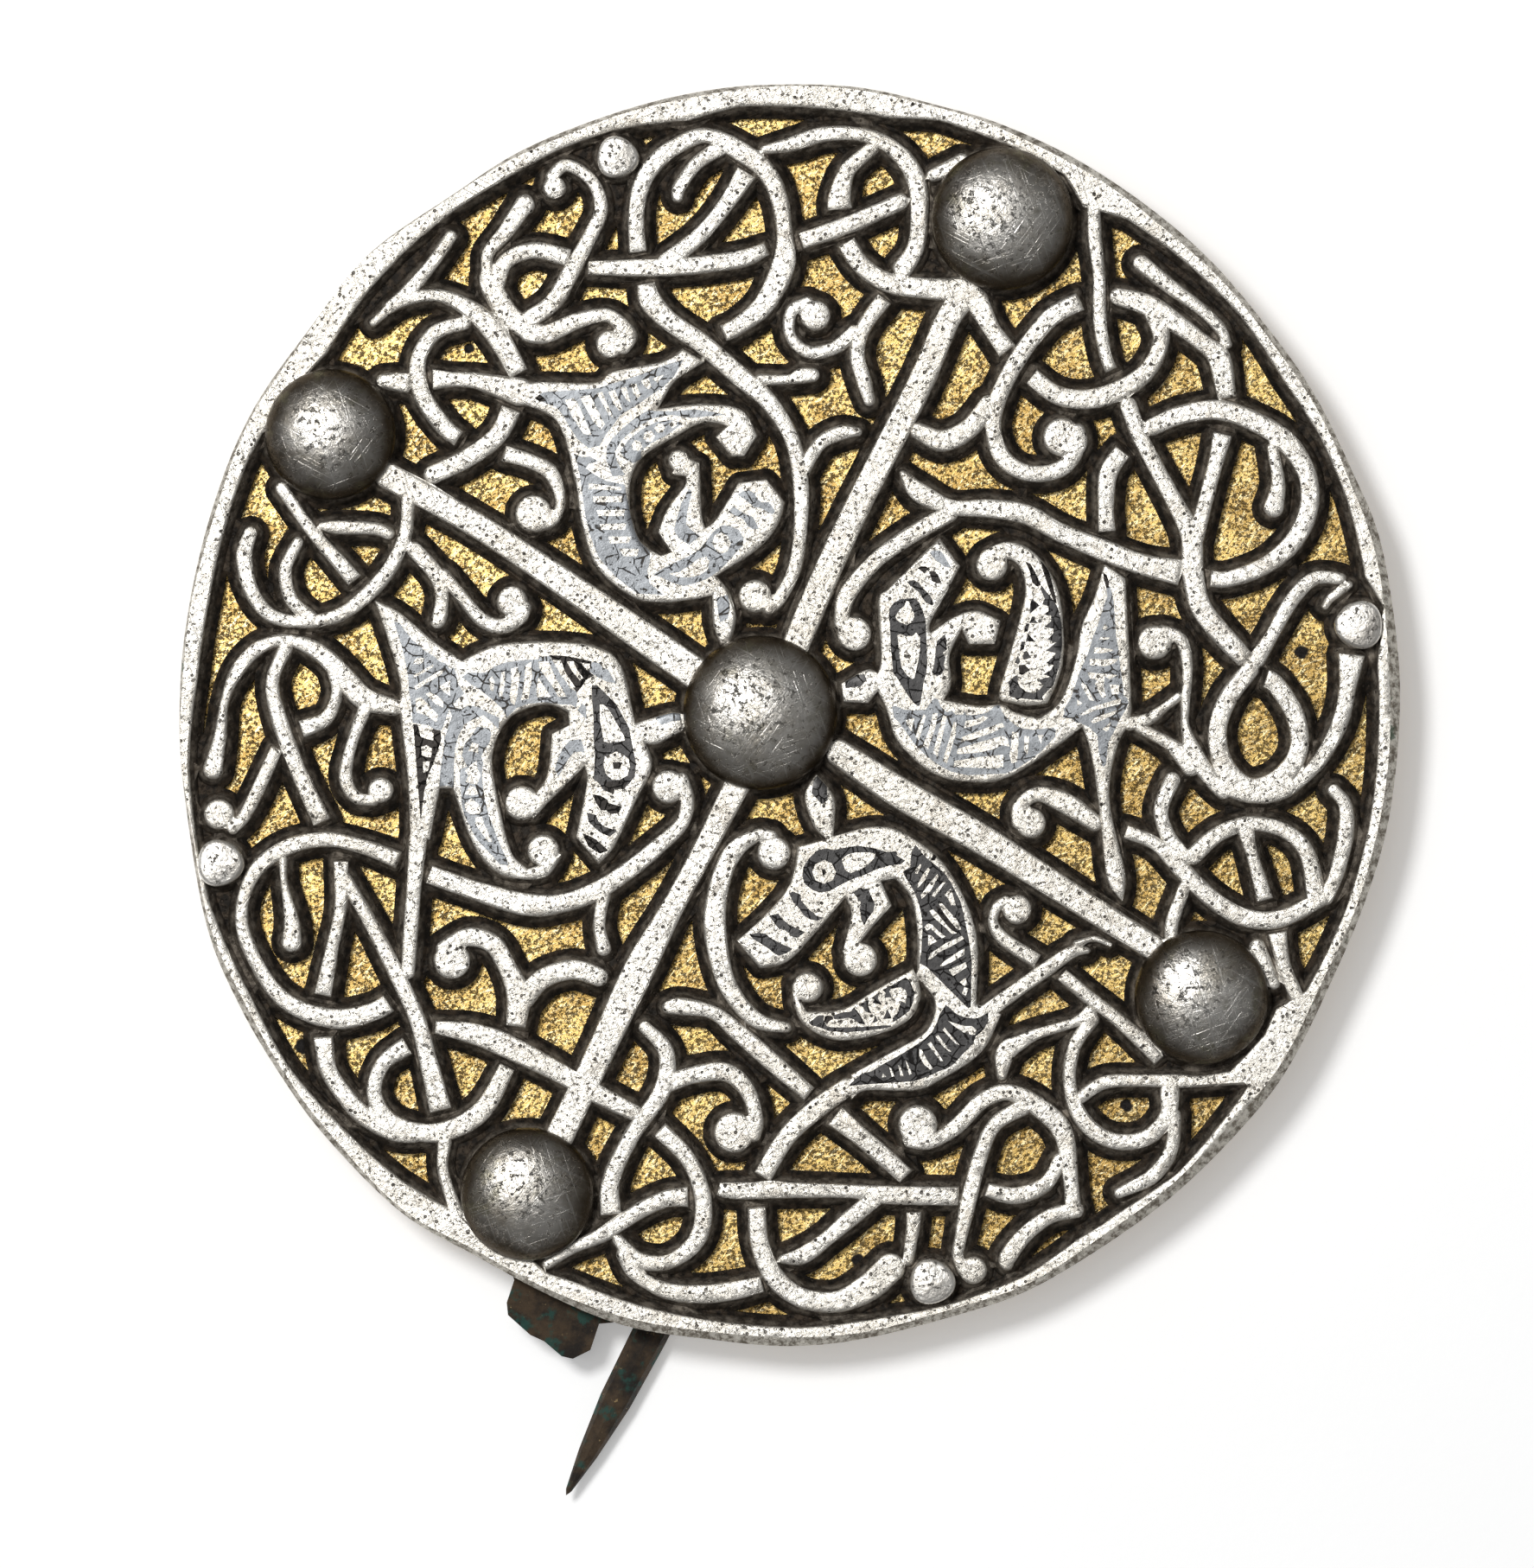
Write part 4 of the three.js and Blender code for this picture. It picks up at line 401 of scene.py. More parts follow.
LEFT_STRANDS = [
  ["rr", -46,-4.4,1.5, -45.4,-1.8,.9, -45.05,1,.6, -44,3.5,1, -42.3,5.3,1, -40.1,5.9,.8, -37.6,5,1.3,
    -35.7,3.2,1.5, -34,1.3,1.7, -31.5,.55,1.2],
  ["rf", -40.2,5.2,1, -41.25,2.5,1, -40.6,-.7,1.2, -39.1,-4.7,1.2, -37.3,-8.6,1.4],
  ["fr", -38.9,-1.2,1.3, -36.9,-.3,1, -36.1,1.7,.8, -36.4,3.8,1.1],
  ["fr", -40.9,-2.8,.9, -42.4,-6.1,1, -43.5,-8.2,.9, -44.4,-9.1,.9],
  ["rr", -33.9,.3,1, -34.9,-2.4,.8, -35.4,-5,1, -34.6,-6.6,.9, -33.2,-6.9,.8],
  ["ff", -31.2,-11.65,1.3, -34,-10.6,1.1, -37,-10,1.1, -40,-10.6,1.2, -42.4,-12.3,1.1, -43.6,-15,.9,
    -43.4,-17.9,1, -41.3,-21.8,1.1, -39,-23.6,1.3, -36,-24.35,1.5, -33.3,-23.8,1.4, -32,-23.1,1.4],
  ["rr", -40.4,-11.6,.6, -40.3,-13.5,.5, -39.7,-16.5,1.1, -39.7,-18.2,1.5],
  ["ff", -35.75,-11.8,1.1, -35.8,-15.5,.9, -36.4,-18.4,.95, -37.2,-22.4,1.3],
  ["rf", -35.4,-13.2,1, -33.3,-16.9,1, -31.4,-20.6,1.2, -29.7,-24.3,1.2, -28.7,-28,1.4, -27.8,-31.6,1.7],
  ["fr", -37.15,-25.8,1.5, -36.8,-28.3,1.3, -35.5,-30.4,1.3, -33.9,-32.1,1.4, -31.5,-33.3,1.5,
    -30,-33.5,1.4],
  ["ff", -30.5,-26.5,1.4, -32.4,-27.9,1.1, -33.1,-30.3,1.1, -31.8,-32.5,1.2, -29,-33.45,1.4,
    -26.3,-32.9,1.5, -24.2,-31.3,1.5, -22.5,-28.2,1.2],
  ["rr", -29.6,-10,1.4, -29.95,-14,1.1, -30.25,-18,1.1, -30.4,-20.6,1],
  ["fr", -28.7,-12.8,1.4, -25.6,-13.9,1.4, -21.1,-15.2,1.7, -18.1,-15.1,1.4, -15.3,-14.1,1.4,
    -12.8,-12.5,1.3, -10.6,-10.7,1.2, -8.6,-8.8,1, -8.1,-6.9,1, -8.5,-5.2,.9],
  ["rr", -14.8,-14.5,1, -15.15,-16.8,.9, -14.8,-18.7,1.1],
  ["rf", -27.6,-18.7,1, -25.6,-17.8,1.4, -23.6,-18.4,1.4, -22.4,-20.4,1.4, -21.6,-22.5,1.8,
    -21.8,-24.9,1.5],
  ["rr", -21.2,-22.8,1.6, -19.6,-21.1,1.5, -17.2,-20.4,1.5, -15.2,-21,1.4],
  ["fr", -28.2,-25,.9, -25.2,-25.5,1.6, -22.3,-26.6,1.8, -18.6,-28.5,1.5, -14.6,-30.7,1.4,
    -12.4,-31.8,1.2],
  ["rf", -11.5,-25,.9, -9.8,-27,1.2, -10.1,-30,1.3, -12.5,-33.6,1.2, -14.2,-37.2,1.35, -14.2,-39.9,1.6],
  ["rr", -9.9,-29.6,1.3, -7.6,-28.8,1.3, -5,-28.6,1.4, -3.3,-30.1,1.2, -2.6,-32.4,1, -2.8,-33.6,1],
  ["rr", -1.4,-9.8,.9, -2.6,-9.7,.9, -4.5,-11.1,1.4, -5.6,-13.9,1.5, -5.9,-17.2,1.7, -5,-21.4,1.4,
    -2.8,-24.3,1.2, -.2,-25.05,.7],
  ["rr", -27.5,-34.2,1, -27.6,-36.5,.8, -26.5,-39.9,1],
]

# Discs that end the curls of the interlace: x, y and radius.
CURL_DISCS = [
  -22.1,9,1.15, -21.1,40.6,.75, -18.7,42,.85, -14.3,29.5,1.05, -20.4,16,1.4, -2.7,9.4,1.25,
  2.1,31.8,1.15, 21.8,22.1,1.45, 5.2,6.4,1.3, 29.2,5.7,1.3, 19.3,-8.7,1.15, 18.2,-15.6,1.1,
  10.3,-32.8,1.5, 14.7,-44.4,1.05, -45.5,-8,1.15, -32.6,-6.1,.95, -9.6,-5.8,1.25, -26.9,-19.7,1.4,
  -4.4,-33.4,1.55, -1.2,-11.1,1.25, -8.8,20.2,.8, 16.2,11.9,1.2, 5.7,-19.6,1.3, 1.5,-21.8,1.15,
  -21.3,-7.1,1.3, -19.6,-10.9,1.2,
]

# Arms of the saltire cross, as strands.
CROSS_ARMS = [
  ["rr", -32,19,2, -25,15.1,1.9, -18,10.5,2.1, -11,5.7,2.4, -6,2.2,2.4],
  ["rr", 14.3,33.6,2, 12.7,31.5,1.9, 10.4,26.2,2, 5.6,16.8,2, 2.8,10.8,2.1, .6,5.6,2.1],
  ["rr", 4,-3.1,2, 9,-6.4,2.4, 15.4,-10,2.3, 22.5,-14.5,2, 29,-18.6,1.9],
  ["rr", -4.1,-5.6,2, -6.6,-10.5,1.7, -9.2,-15.3,1.7, -12,-20.5,2.4, -15.3,-27.5,2.1, -18.2,-33.5,2.2],
]

# Flat tops of the four beasts, as outlines of x, y.
TOP_BEAST = [
  -20.6,26.4, -15.5,26.4, -14,27.3, -10,28.1, -8.5,29.1, -6.8,28.1, -9,26.7, -9.9,25.4, -10.5,24.3,
  -6.8,24.7, -3.8,24.2, -2.6,22.2, -3.6,20.6, -4.6,20.6, -5.8,22.1, -4.8,23, -6.8,23.3, -9,22.2,
  -12,20.2, -12.8,17.2, -12,13.9, -10.2,12.6, -9.3,12.9, -10.4,14.5, -9.7,16.3, -8.3,18.2, -8.2,19,
  -9.3,19.2, -8.6,20.6, -7.2,20, -7,16, -6.7,14.8, -5.8,15.5, -4,18.4, -1.8,18.7, -.4,16.9, -1.1,14.8,
  -2.8,13, -5.9,11, -5,10, -4.3,8, -4.7,6, -5.4,5.6, -6,7.2, -6.1,9.5, -7.5,9.2, -10,8.95, -12.5,9.4,
  -15.3,11.8, -16.5,15.2, -17,18.5, -18.1,22.6, -19.5,24.1, -22.8,25.2,
]

LEFT_BEAST = [
  -33,9, -31,8, -28.3,5.7, -26.1,4.2, -23.5,5.4, -19.5,5.75, -15.3,5.3, -13.4,3.7, -12.3,-.8,
  -11.4,-.5, -9.5,.05, -8.6,0, -8.5,-1.3, -10.5,-2.3, -11.5,-2.3, -11,-4.2, -12.2,-6.8, -14,-10.6,
  -15.2,-11.9, -16.95,-9.8, -16.1,-5.5, -16.3,-4.1, -18.8,-6.6, -20.4,-8.3, -20.6,-7, -19.3,-5,
  -18.9,-1.6, -17.5,-.9, -17.6,.2, -19.5,.8, -22.3,-.3, -23.7,-3.3, -23.2,-7.2, -22.2,-11, -20.9,-12.4,
  -19.6,-12, -18.2,-11.2, -19.2,-12.8, -21,-13.15, -23.3,-12.6, -25.2,-10.3, -26.8,-5.9, -27.9,-5.9,
  -28.7,-10, -30.2,-9.5, -30.4,-5, -31,0, -31,2.5, -32,6,
]

RIGHT_BEAST_HEAD = [
  7.1,1.9, 7.8,.4, 8.8,-2.3, 11.5,-4.7, 14.5,-5.4, 17.5,-5, 21.3,-2.6, 23.4,-1, 24.1,-3, 24.8,-7.5,
  25.4,-13, 26.6,-14.9, 26.8,-12.8, 25.7,-8, 25.6,-5.2, 26.3,-2.2, 27.2,-.3, 27.2,3.5, 26.8,10.8,
  25.2,11.9, 24.4,9.3, 23.4,7, 22.9,4.2, 21.7,1, 20,-.4, 18,.1, 17,.7, 15,.6, 12.3,1.1, 12.9,2.4,
  12.8,4.7, 13.8,6.9, 14.4,5.6, 16.4,5.6, 16.8,7.4, 15,8.2, 13.2,7.7, 11.3,6.4, 11.2,7.2, 12.5,9.6,
  13.6,11.8, 12,13.9, 10.6,12.6, 8,10, 7.2,9, 7.4,4.5, 7.1,3.2, 6.2,3.5, 4.2,2.4, 4.4,1, 6.3,.9,
]

RIGHT_BEAST_WING = [
  17,1.1, 19,.7, 20.6,.9, 21.6,3.2, 21.9,6, 21.4,10, 19.6,12.8, 17.5,13.7, 15.6,13, 15.2,12.3,
  17.6,12.4, 18.7,11.2, 18.8,9, 17.6,4.5, 16.8,1.7,
]

BOTTOM_BEAST_BODY = [
  .8,-10.6, 3.1,-10, 2,-8.9, 1.3,-6.5, 2.2,-4.9, 3.6,-6.8, 3.5,-9.8, 7,-9, 9.8,-9.9, 12.8,-12.6,
  14.9,-17.5, 14.9,-23.2, 16.9,-24, 15.3,-27, 12,-29.2, 10,-30, 6.2,-30, 5,-30.7, 5,-28.8, 8.6,-26.8,
  11,-25.3, 11.7,-23, 10.4,-20.8, 10.3,-17.5, 9.8,-14.7, 8.5,-13.1, 7.3,-13.3, 8.15,-15.3, 6.6,-17,
  5.4,-18.5, 4.3,-19, 5,-16, 4.5,-14.6, 2.2,-17.3, -.1,-19.7, -2.3,-20.2, -4.1,-18.1, -1.8,-16,
  .1,-13.6,
]

BOTTOM_BEAST_WING = [
  9.9,-20.4, 7,-22, 4.3,-23.6, 1.4,-23.8, .7,-22.6, .3,-21.5, .5,-23.4, 1.5,-25, 3.8,-26, 6.8,-25.6,
  9.4,-24.5, 10.4,-22.8, 10.3,-21.3,
]

BEASTS = (TOP_BEAST, LEFT_BEAST, RIGHT_BEAST_HEAD, RIGHT_BEAST_WING, BOTTOM_BEAST_BODY,
          BOTTOM_BEAST_WING)

# Black inlay let into the beasts, flush with the silver: outlines of a kind, x and y, of which each
# covers those before it. The kinds are light and dark inlay, lost where it has fallen out, painted
# near black as the shade of the empty hollow, and bar for silver left standing inside an inlay.
TOP_INLAY = [
  ["light", -20.3,25.2, -19.6,25.7, -17,25.85, -15.3,26, -14,26.4, -12.5,26.85, -11.3,27.3, -10,27.8,
    -8.4,28.3, -9.2,26.9, -10,26.1, -10.9,25.5, -12.2,24.6, -13.5,23.8, -13.9,23.2, -14.6,22.3,
    -15.1,21.4, -16,21.2, -16.9,21.95, -17.6,23, -18,23.8, -18.6,24.5, -19.5,24.8],
  ["lost", -20.3,25.2, -19.9,25.5, -19.5,25.2, -19.4,24.95, -19.9,24.9],
  ["bar", -17.9,25.05, -17.2,25.2, -16.9,24.9, -15.75,22.25, -16.4,22.35, -17.3,23.7],
  ["bar", -16.7,25.3, -15.9,25.45, -15.7,25.1, -14.7,23.1, -15,22.7, -15.6,23.3],
  ["bar", -15.35,25.6, -14.9,25.7, -14.7,25.2, -14.05,23.65, -14.4,23.9],
  ["bar", -14.4,25.7, -13.9,25.85, -13.3,24.3, -13.55,24.2, -14,24.8],
  ["bar", -13.5,26, -13,26.1, -12.65,24.85, -13,25.1],
  ["bar", -12.6,26.35, -12.2,26.35, -11.85,25.4, -12.05,25.2, -12.4,25.5],
  ["bar", -11.8,26.6, -11.2,26.8, -11,26.1, -11.2,25.9, -11.6,26.2],
  ["bar", -10.9,26.75, -10.4,26.95, -10,27.05, -10.5,26.45],
  ["light", -14.1,18.95, -14.6,20.3, -14.55,21.3, -14.1,22, -13.3,22.8, -12.2,23.7, -11.3,24.2,
    -9.5,24.15, -7.6,24.3, -6,24.1, -5.05,23.85, -6.5,23.75, -7.8,23.6, -9.4,23.85, -10.8,23.6,
    -11.6,23.2, -12.4,22.7, -13.4,21.8, -13.9,20.9, -13.7,20.1, -13.1,19.05],
  ["light", -13.5,20.9, -12.9,21.8, -11.8,22.7, -10.6,23.3, -9.4,23.5, -8.5,23.2, -9.1,22.7, -10,22.1,
    -11,21.6, -11.8,21, -11.8,20.4, -12.4,20, -13,20.25],
  ["bar", -12.6,21.4, -12.3,21.85, -11.9,21.75, -11.7,21.3, -12,21, -12.4,21.05],
  ["bar", -11.65,22, -11.5,22.45, -11,22.6, -10.7,22.2, -10.9,21.75, -11.3,21.7],
  ["bar", -10.75,22.8, -10.5,23.15, -10.1,23.2, -9.9,22.8, -10.1,22.45, -10.5,22.45],
  ["bar", -9.6,23.1, -9.3,23.4, -8.95,23.3, -9,23, -9.3,22.8],
  ["light", -17.2,20.8, -16.5,20.5, -15.9,20.55, -15.2,20.15, -16,19.95, -16.2,19.6, -15.5,19.1,
    -14.6,18.6, -13.8,18.45, -13.1,18.3, -12.9,17, -12.6,15.8, -12.2,14.6, -11.8,13.8, -11.1,12.9,
    -11.1,12.2, -11.3,11.4, -11.1,10.4, -10,9.5, -12.1,9.6, -13.8,10.9, -15.2,12.5, -15.9,14.3,
    -16.3,16, -16.5,17.5, -16.7,19, -16.9,20],
  ["bar", -16,18.4, -13.4,18.1, -13.4,17.85, -16,17.95],
  ["bar", -15.7,17.35, -13.3,17.4, -13.4,16.9, -15.6,16.9],
  ["bar", -15.35,16.25, -13.1,16.3, -13.2,15.8, -15.2,15.8],
  ["bar", -15.1,15.15, -13,15.2, -13.1,14.7, -15,14.7],
  ["bar", -14.4,14.15, -12.6,14.15, -12.8,13.65, -14.3,13.6],
  ["bar", -13.6,13.2, -12,13.15, -12.1,12.6, -13.2,12.6],
  ["light", -5.3,15.05, -4.7,15, -4,14.7, -3.6,14, -3.7,13.4, -4.3,12.8, -5,12, -5.6,11.4, -6.5,10.8,
    -7.5,10.4, -8.4,10.2, -9.4,10.5, -10.2,10.9, -10.9,11.1, -10.1,11.6, -9.3,12, -8,12.6, -7.2,13.1,
    -6.6,13.8, -6.1,14.5, -5.6,14.9],
  ["bar", -6.15,13.6, -5.9,14.3, -5.4,14.45, -4.9,14.2, -4.65,13.6, -4.9,13, -5.3,12.8, -5.8,13],
  ["bar", -9.6,11.2, -8.9,10.95, -8,10.9, -7.2,11.05, -6.5,11.5, -6.35,12.2, -6.6,12.55, -7.2,12.4,
    -8,11.8, -8.8,11.3],
  ["light", -7.95,18, -7.75,17.7, -8.1,16.2, -8.2,15.1, -7.8,14.7, -7.1,14.2, -7.95,13.5, -8.8,14,
    -9.2,14.7, -8.9,15.8, -8.6,16.8, -8.2,17.6],
  ["light", -4.1,17.5, -3.7,17.8, -3.2,17.85, -2.7,17.6, -2.6,17.2, -2.2,16.9, -1.6,16.9, -1.1,16.2,
    -1.3,15.9, -2.2,16.4, -2.8,16.5, -3.5,17.1],
  ["light", -4.9,16.1, -4.4,16.6, -4.2,16.4, -3.5,15.95, -2.9,15.75, -2.6,15.2, -2.4,14.75, -2.9,14.75,
    -3.3,15, -3.6,15.5, -4.4,15.9],
  ["light", -5.8,9.3, -5.3,9.4, -4.9,9.5, -4.7,8.5, -4.9,7.6, -5.5,7.3, -5.7,8.3],
]

LEFT_INLAY = [
  ["light", -31.55,7.4, -31.1,7.3, -30.6,6.6, -30.1,5.95, -29,5, -28.3,4.6, -27.9,4.2, -27.4,4.05,
    -27.1,3.6, -26.75,3.7, -26.6,3.3, -26.4,2.4, -25.9,1.6, -26.4,1.2, -26.8,.8, -26.6,.5, -26.1,.4,
    -25.6,.7, -24.8,.55, -24,.1, -23.1,-.3, -23.2,-1.2, -23.8,-.6, -24.4,-.1, -25.1,-.4, -25.9,-.8,
    -26.4,-1.8, -26.65,-2.8, -26.75,-4.4, -26.75,-5.9, -27.3,-5.7, -27.9,-5.8, -27.85,-4.6,
    -27.6,-3, -27.5,-2, -27.2,-1, -26.9,-.2, -27.1,.4, -27.5,-.7, -27.7,-1.3, -28.2,-1.25, -28.9,-.9,
    -30.05,-.7, -30.1,.3, -30.35,2, -30.4,3, -30.6,4, -30.8,5, -31.1,6],
  ["bar", -30,4, -29.8,4.4, -29.4,4.5, -29.1,4.4, -29.3,4.05, -29.6,3.95],
  ["bar", -29.95,2.85, -29.95,3.1, -28.4,3.95, -28.4,3.75],
  ["bar", -29.9,2.2, -29.8,1.9, -27.7,3.2, -27.6,3.45, -27.9,3.45],
  ["bar", -27.9,2.2, -27.05,2.7, -27.05,1.45, -27.6,1.8],
  ["bar", -29,1.6, -28.6,1.75, -28,1.4, -27.6,1, -27.6,.5, -28.2,.8],
  ["bar", -29.8,1.2, -29.4,1.35, -28.9,.9, -28,-.1, -28.15,-.65, -29,-.1, -29.75,.15],
  ["lost", -30,-.8, -29.6,-.85, -28.9,-1.1, -28.3,-1.25, -27.8,-1.3, -27.75,-2, -28.05,-3, -28.4,-4,
    -28.85,-5, -29.1,-6.2, -29.4,-8.6, -29.6,-6, -29.75,-4, -29.9,-2],
  ["bar", -29.6,-.95, -28.8,-.9, -28.35,-1.2, -28.4,-2.1, -28.9,-2, -29.4,-1.8],
  ["bar", -29.35,-2.6, -28.9,-2.5, -28.5,-2.75, -28.55,-3.5, -29,-3.4, -29.3,-3.3],
  ["bar", -29.2,-3.8, -28.65,-3.75, -28.8,-4.5, -29.2,-4.7],
  ["light", -24.9,-1, -23.9,-1.15, -23.75,-1.6, -23.9,-2.3, -24.3,-2.9, -24.55,-3.4, -24.4,-3.9,
    -24.5,-4.7, -24.4,-6, -24.2,-7, -24,-8, -23.6,-9, -23.3,-9.8, -22.9,-10.8, -22.5,-11.6,
    -22.4,-12.1, -23.1,-12, -23.6,-11.4, -24.2,-10.8, -25,-9.9, -25.5,-8.9, -25.9,-8.1, -26.1,-7.4,
    -26.2,-6.2, -26.3,-5, -26.2,-4.4, -25.7,-4.2, -26.1,-3.3, -25.9,-2.4, -25.3,-1.7],
  ["bar", -25.6,-2.95, -25.3,-2.3, -24.8,-2.4, -24.8,-3.2, -25.1,-3],
  ["bar", -25.85,-4.5, -25.3,-4, -24.95,-3.75, -24.85,-4.4, -24.6,-4.9, -24.9,-5.6, -25.3,-5.6,
    -25.8,-5.4, -25.6,-4.9],
  ["bar", -25.9,-6.4, -25.4,-5.65, -25,-5.9, -24.8,-6.4, -25.3,-6.5],
  ["bar", -25.9,-7.2, -25.35,-6.7, -24.9,-7.1, -24.6,-7.4, -24.6,-7.9, -25,-8, -25.4,-8, -25.8,-7.7],
  ["bar", -25,-8.2, -24.5,-8.2, -24.3,-8.9, -24.1,-9.2, -23.7,-10.2, -24,-10.2, -24.6,-9.4, -25,-8.8],
  ["light", -26.1,2.95, -25.6,3.3, -24.9,3.3, -24.2,3.3, -23.5,3.8, -22.5,4.15, -21.2,4.3, -20,4.4,
    -19.9,4.55, -19.1,4.65, -18.8,4.1, -18,2.9, -17.5,2.1, -17,1.8, -16.85,1.2, -17,.5, -17.4,.75,
    -18.2,.75, -19.5,.95, -20.8,.8, -21.7,.5, -22,.2, -22.5,-.25, -22.9,.4, -23.4,.9, -24,1.4,
    -24.9,2.1, -25.3,2.3],
  ["bar", -23.85,1.9, -23.9,2.8, -23.7,3, -23.5,2.6, -23.6,1.8],
  ["bar", -23.1,2, -22.95,3.3, -22.7,3.4, -22.65,2.6, -22.9,1.4, -23.15,1.4],
  ["bar", -22.2,3.6, -21.65,3.75, -21.5,3, -21.7,1.5, -21.9,.7, -22.2,.9, -22.3,1.5, -22.15,2.5],
  ["bar", -21,3.9, -20.6,4.15, -20.5,3, -20.8,1.2, -21.4,1.1, -21.2,2],
  ["bar", -20,2.9, -19,1.35, -20.15,1.35, -20.15,2],
  ["bar", -20,4.2, -19.2,4.2, -18.7,3, -17.75,1.4, -18.4,1.35, -19,2.4, -19.9,3.6],
  ["lost", -19.1,4.7, -18,4.65, -16.8,4.45, -15.75,4.2, -15.85,3.3, -15.6,3.05, -16.2,2.7, -16.6,2.1,
    -16.95,1.7, -17.3,2.2, -18.2,3.2, -18.9,4.3],
  ["bar", -18.85,4.3, -18.2,4.3, -17.9,3.4, -17.05,2.1, -17.4,2.2, -18.2,3.1],
  ["bar", -17.75,4.2, -17.2,4.2, -16.9,3.5, -16.4,2.85, -16.7,2.7, -17.3,3.4],
  ["bar", -16.65,4.1, -15.9,4, -15.9,3.5, -16.1,3.5],
  ["light", -15.75,4.1, -15.5,4.25, -15.1,4, -14.9,3.75, -14.4,3.5, -14.2,3.1, -13.8,2.45, -14.6,2.6,
    -15.3,2.95, -15.9,3.35],
  ["light", -16.9,.3, -16.5,.85, -16.2,.6, -16.15,-.4, -16.6,0],
  ["dark", -15.75,2.3, -15.3,2.3, -14.9,1.9, -14.3,1.3, -13.8,.8, -13.3,-.1, -12.75,-1.1, -12.6,-2,
    -12.4,-3, -12.2,-4, -12.3,-5, -12.8,-5.6, -13.2,-6, -13.9,-6, -14,-6.4, -14.8,-6.1, -15.1,-5.6,
    -15.6,-5.2, -15.5,-3.5, -15.6,-2, -15.6,-.5, -15.7,1],
  ["bar", -15.1,.75, -14.8,.75, -14.4,.4, -13.9,-.5, -13.2,-1.7, -13.1,-2.1, -13.6,-2.2, -14.3,-2.3,
    -14.8,-2.2, -14.9,-1.5, -15.1,-.5],
  ["lost", -14.8,-5.4, -14,-5.35, -13.2,-5.2, -12.9,-5.5, -13.2,-6, -13.9,-6, -14,-6.4, -14.7,-6.1],
  ["bar", -14.7,-3.4, -14.2,-3.2, -13.8,-3, -13.3,-3.2, -12.8,-3.6, -12.7,-4.2, -12.9,-4.9, -13.5,-5.25,
    -14.1,-5.25, -14.6,-4.8, -14.8,-4.1],
  ["lost", -14.1,-3.85, -13.3,-3.85, -13.5,-4.4, -14,-4.4],
  ["lost", -15.7,-6.4, -15.1,-6.5, -14.5,-6.8, -14.4,-7.1, -13.3,-7.4, -13.6,-7.9, -14.2,-8, -14.6,-7.7,
    -15,-7.7, -15.4,-7.1],
  ["dark", -16.15,-7.85, -15.4,-8.05, -15.2,-8.6, -14.7,-9, -13.7,-9.3, -14.3,-9.8, -15,-9.5, -15.5,-9.1,
    -16,-8.6],
  ["lost", -16.5,-9.5, -15.9,-9.75, -15.4,-10, -14.4,-10.9, -15.1,-11.15, -15.5,-10.9, -16,-10.6,
    -16.2,-10.2],
  ["light", -17.5,-2.1, -16.6,-2, -16.4,-2.6, -16.3,-3.1, -16.7,-3, -17.2,-3.1, -17.6,-3.6, -18,-4.3,
    -18.4,-5, -18.7,-4.4, -18.4,-3.5, -18.1,-2.8],
  ["light", -10.6,.2, -9.6,.5, -8.7,.6, -8.6,-.5, -9.4,-.6, -10.2,-.9, -10.6,-.4],
]

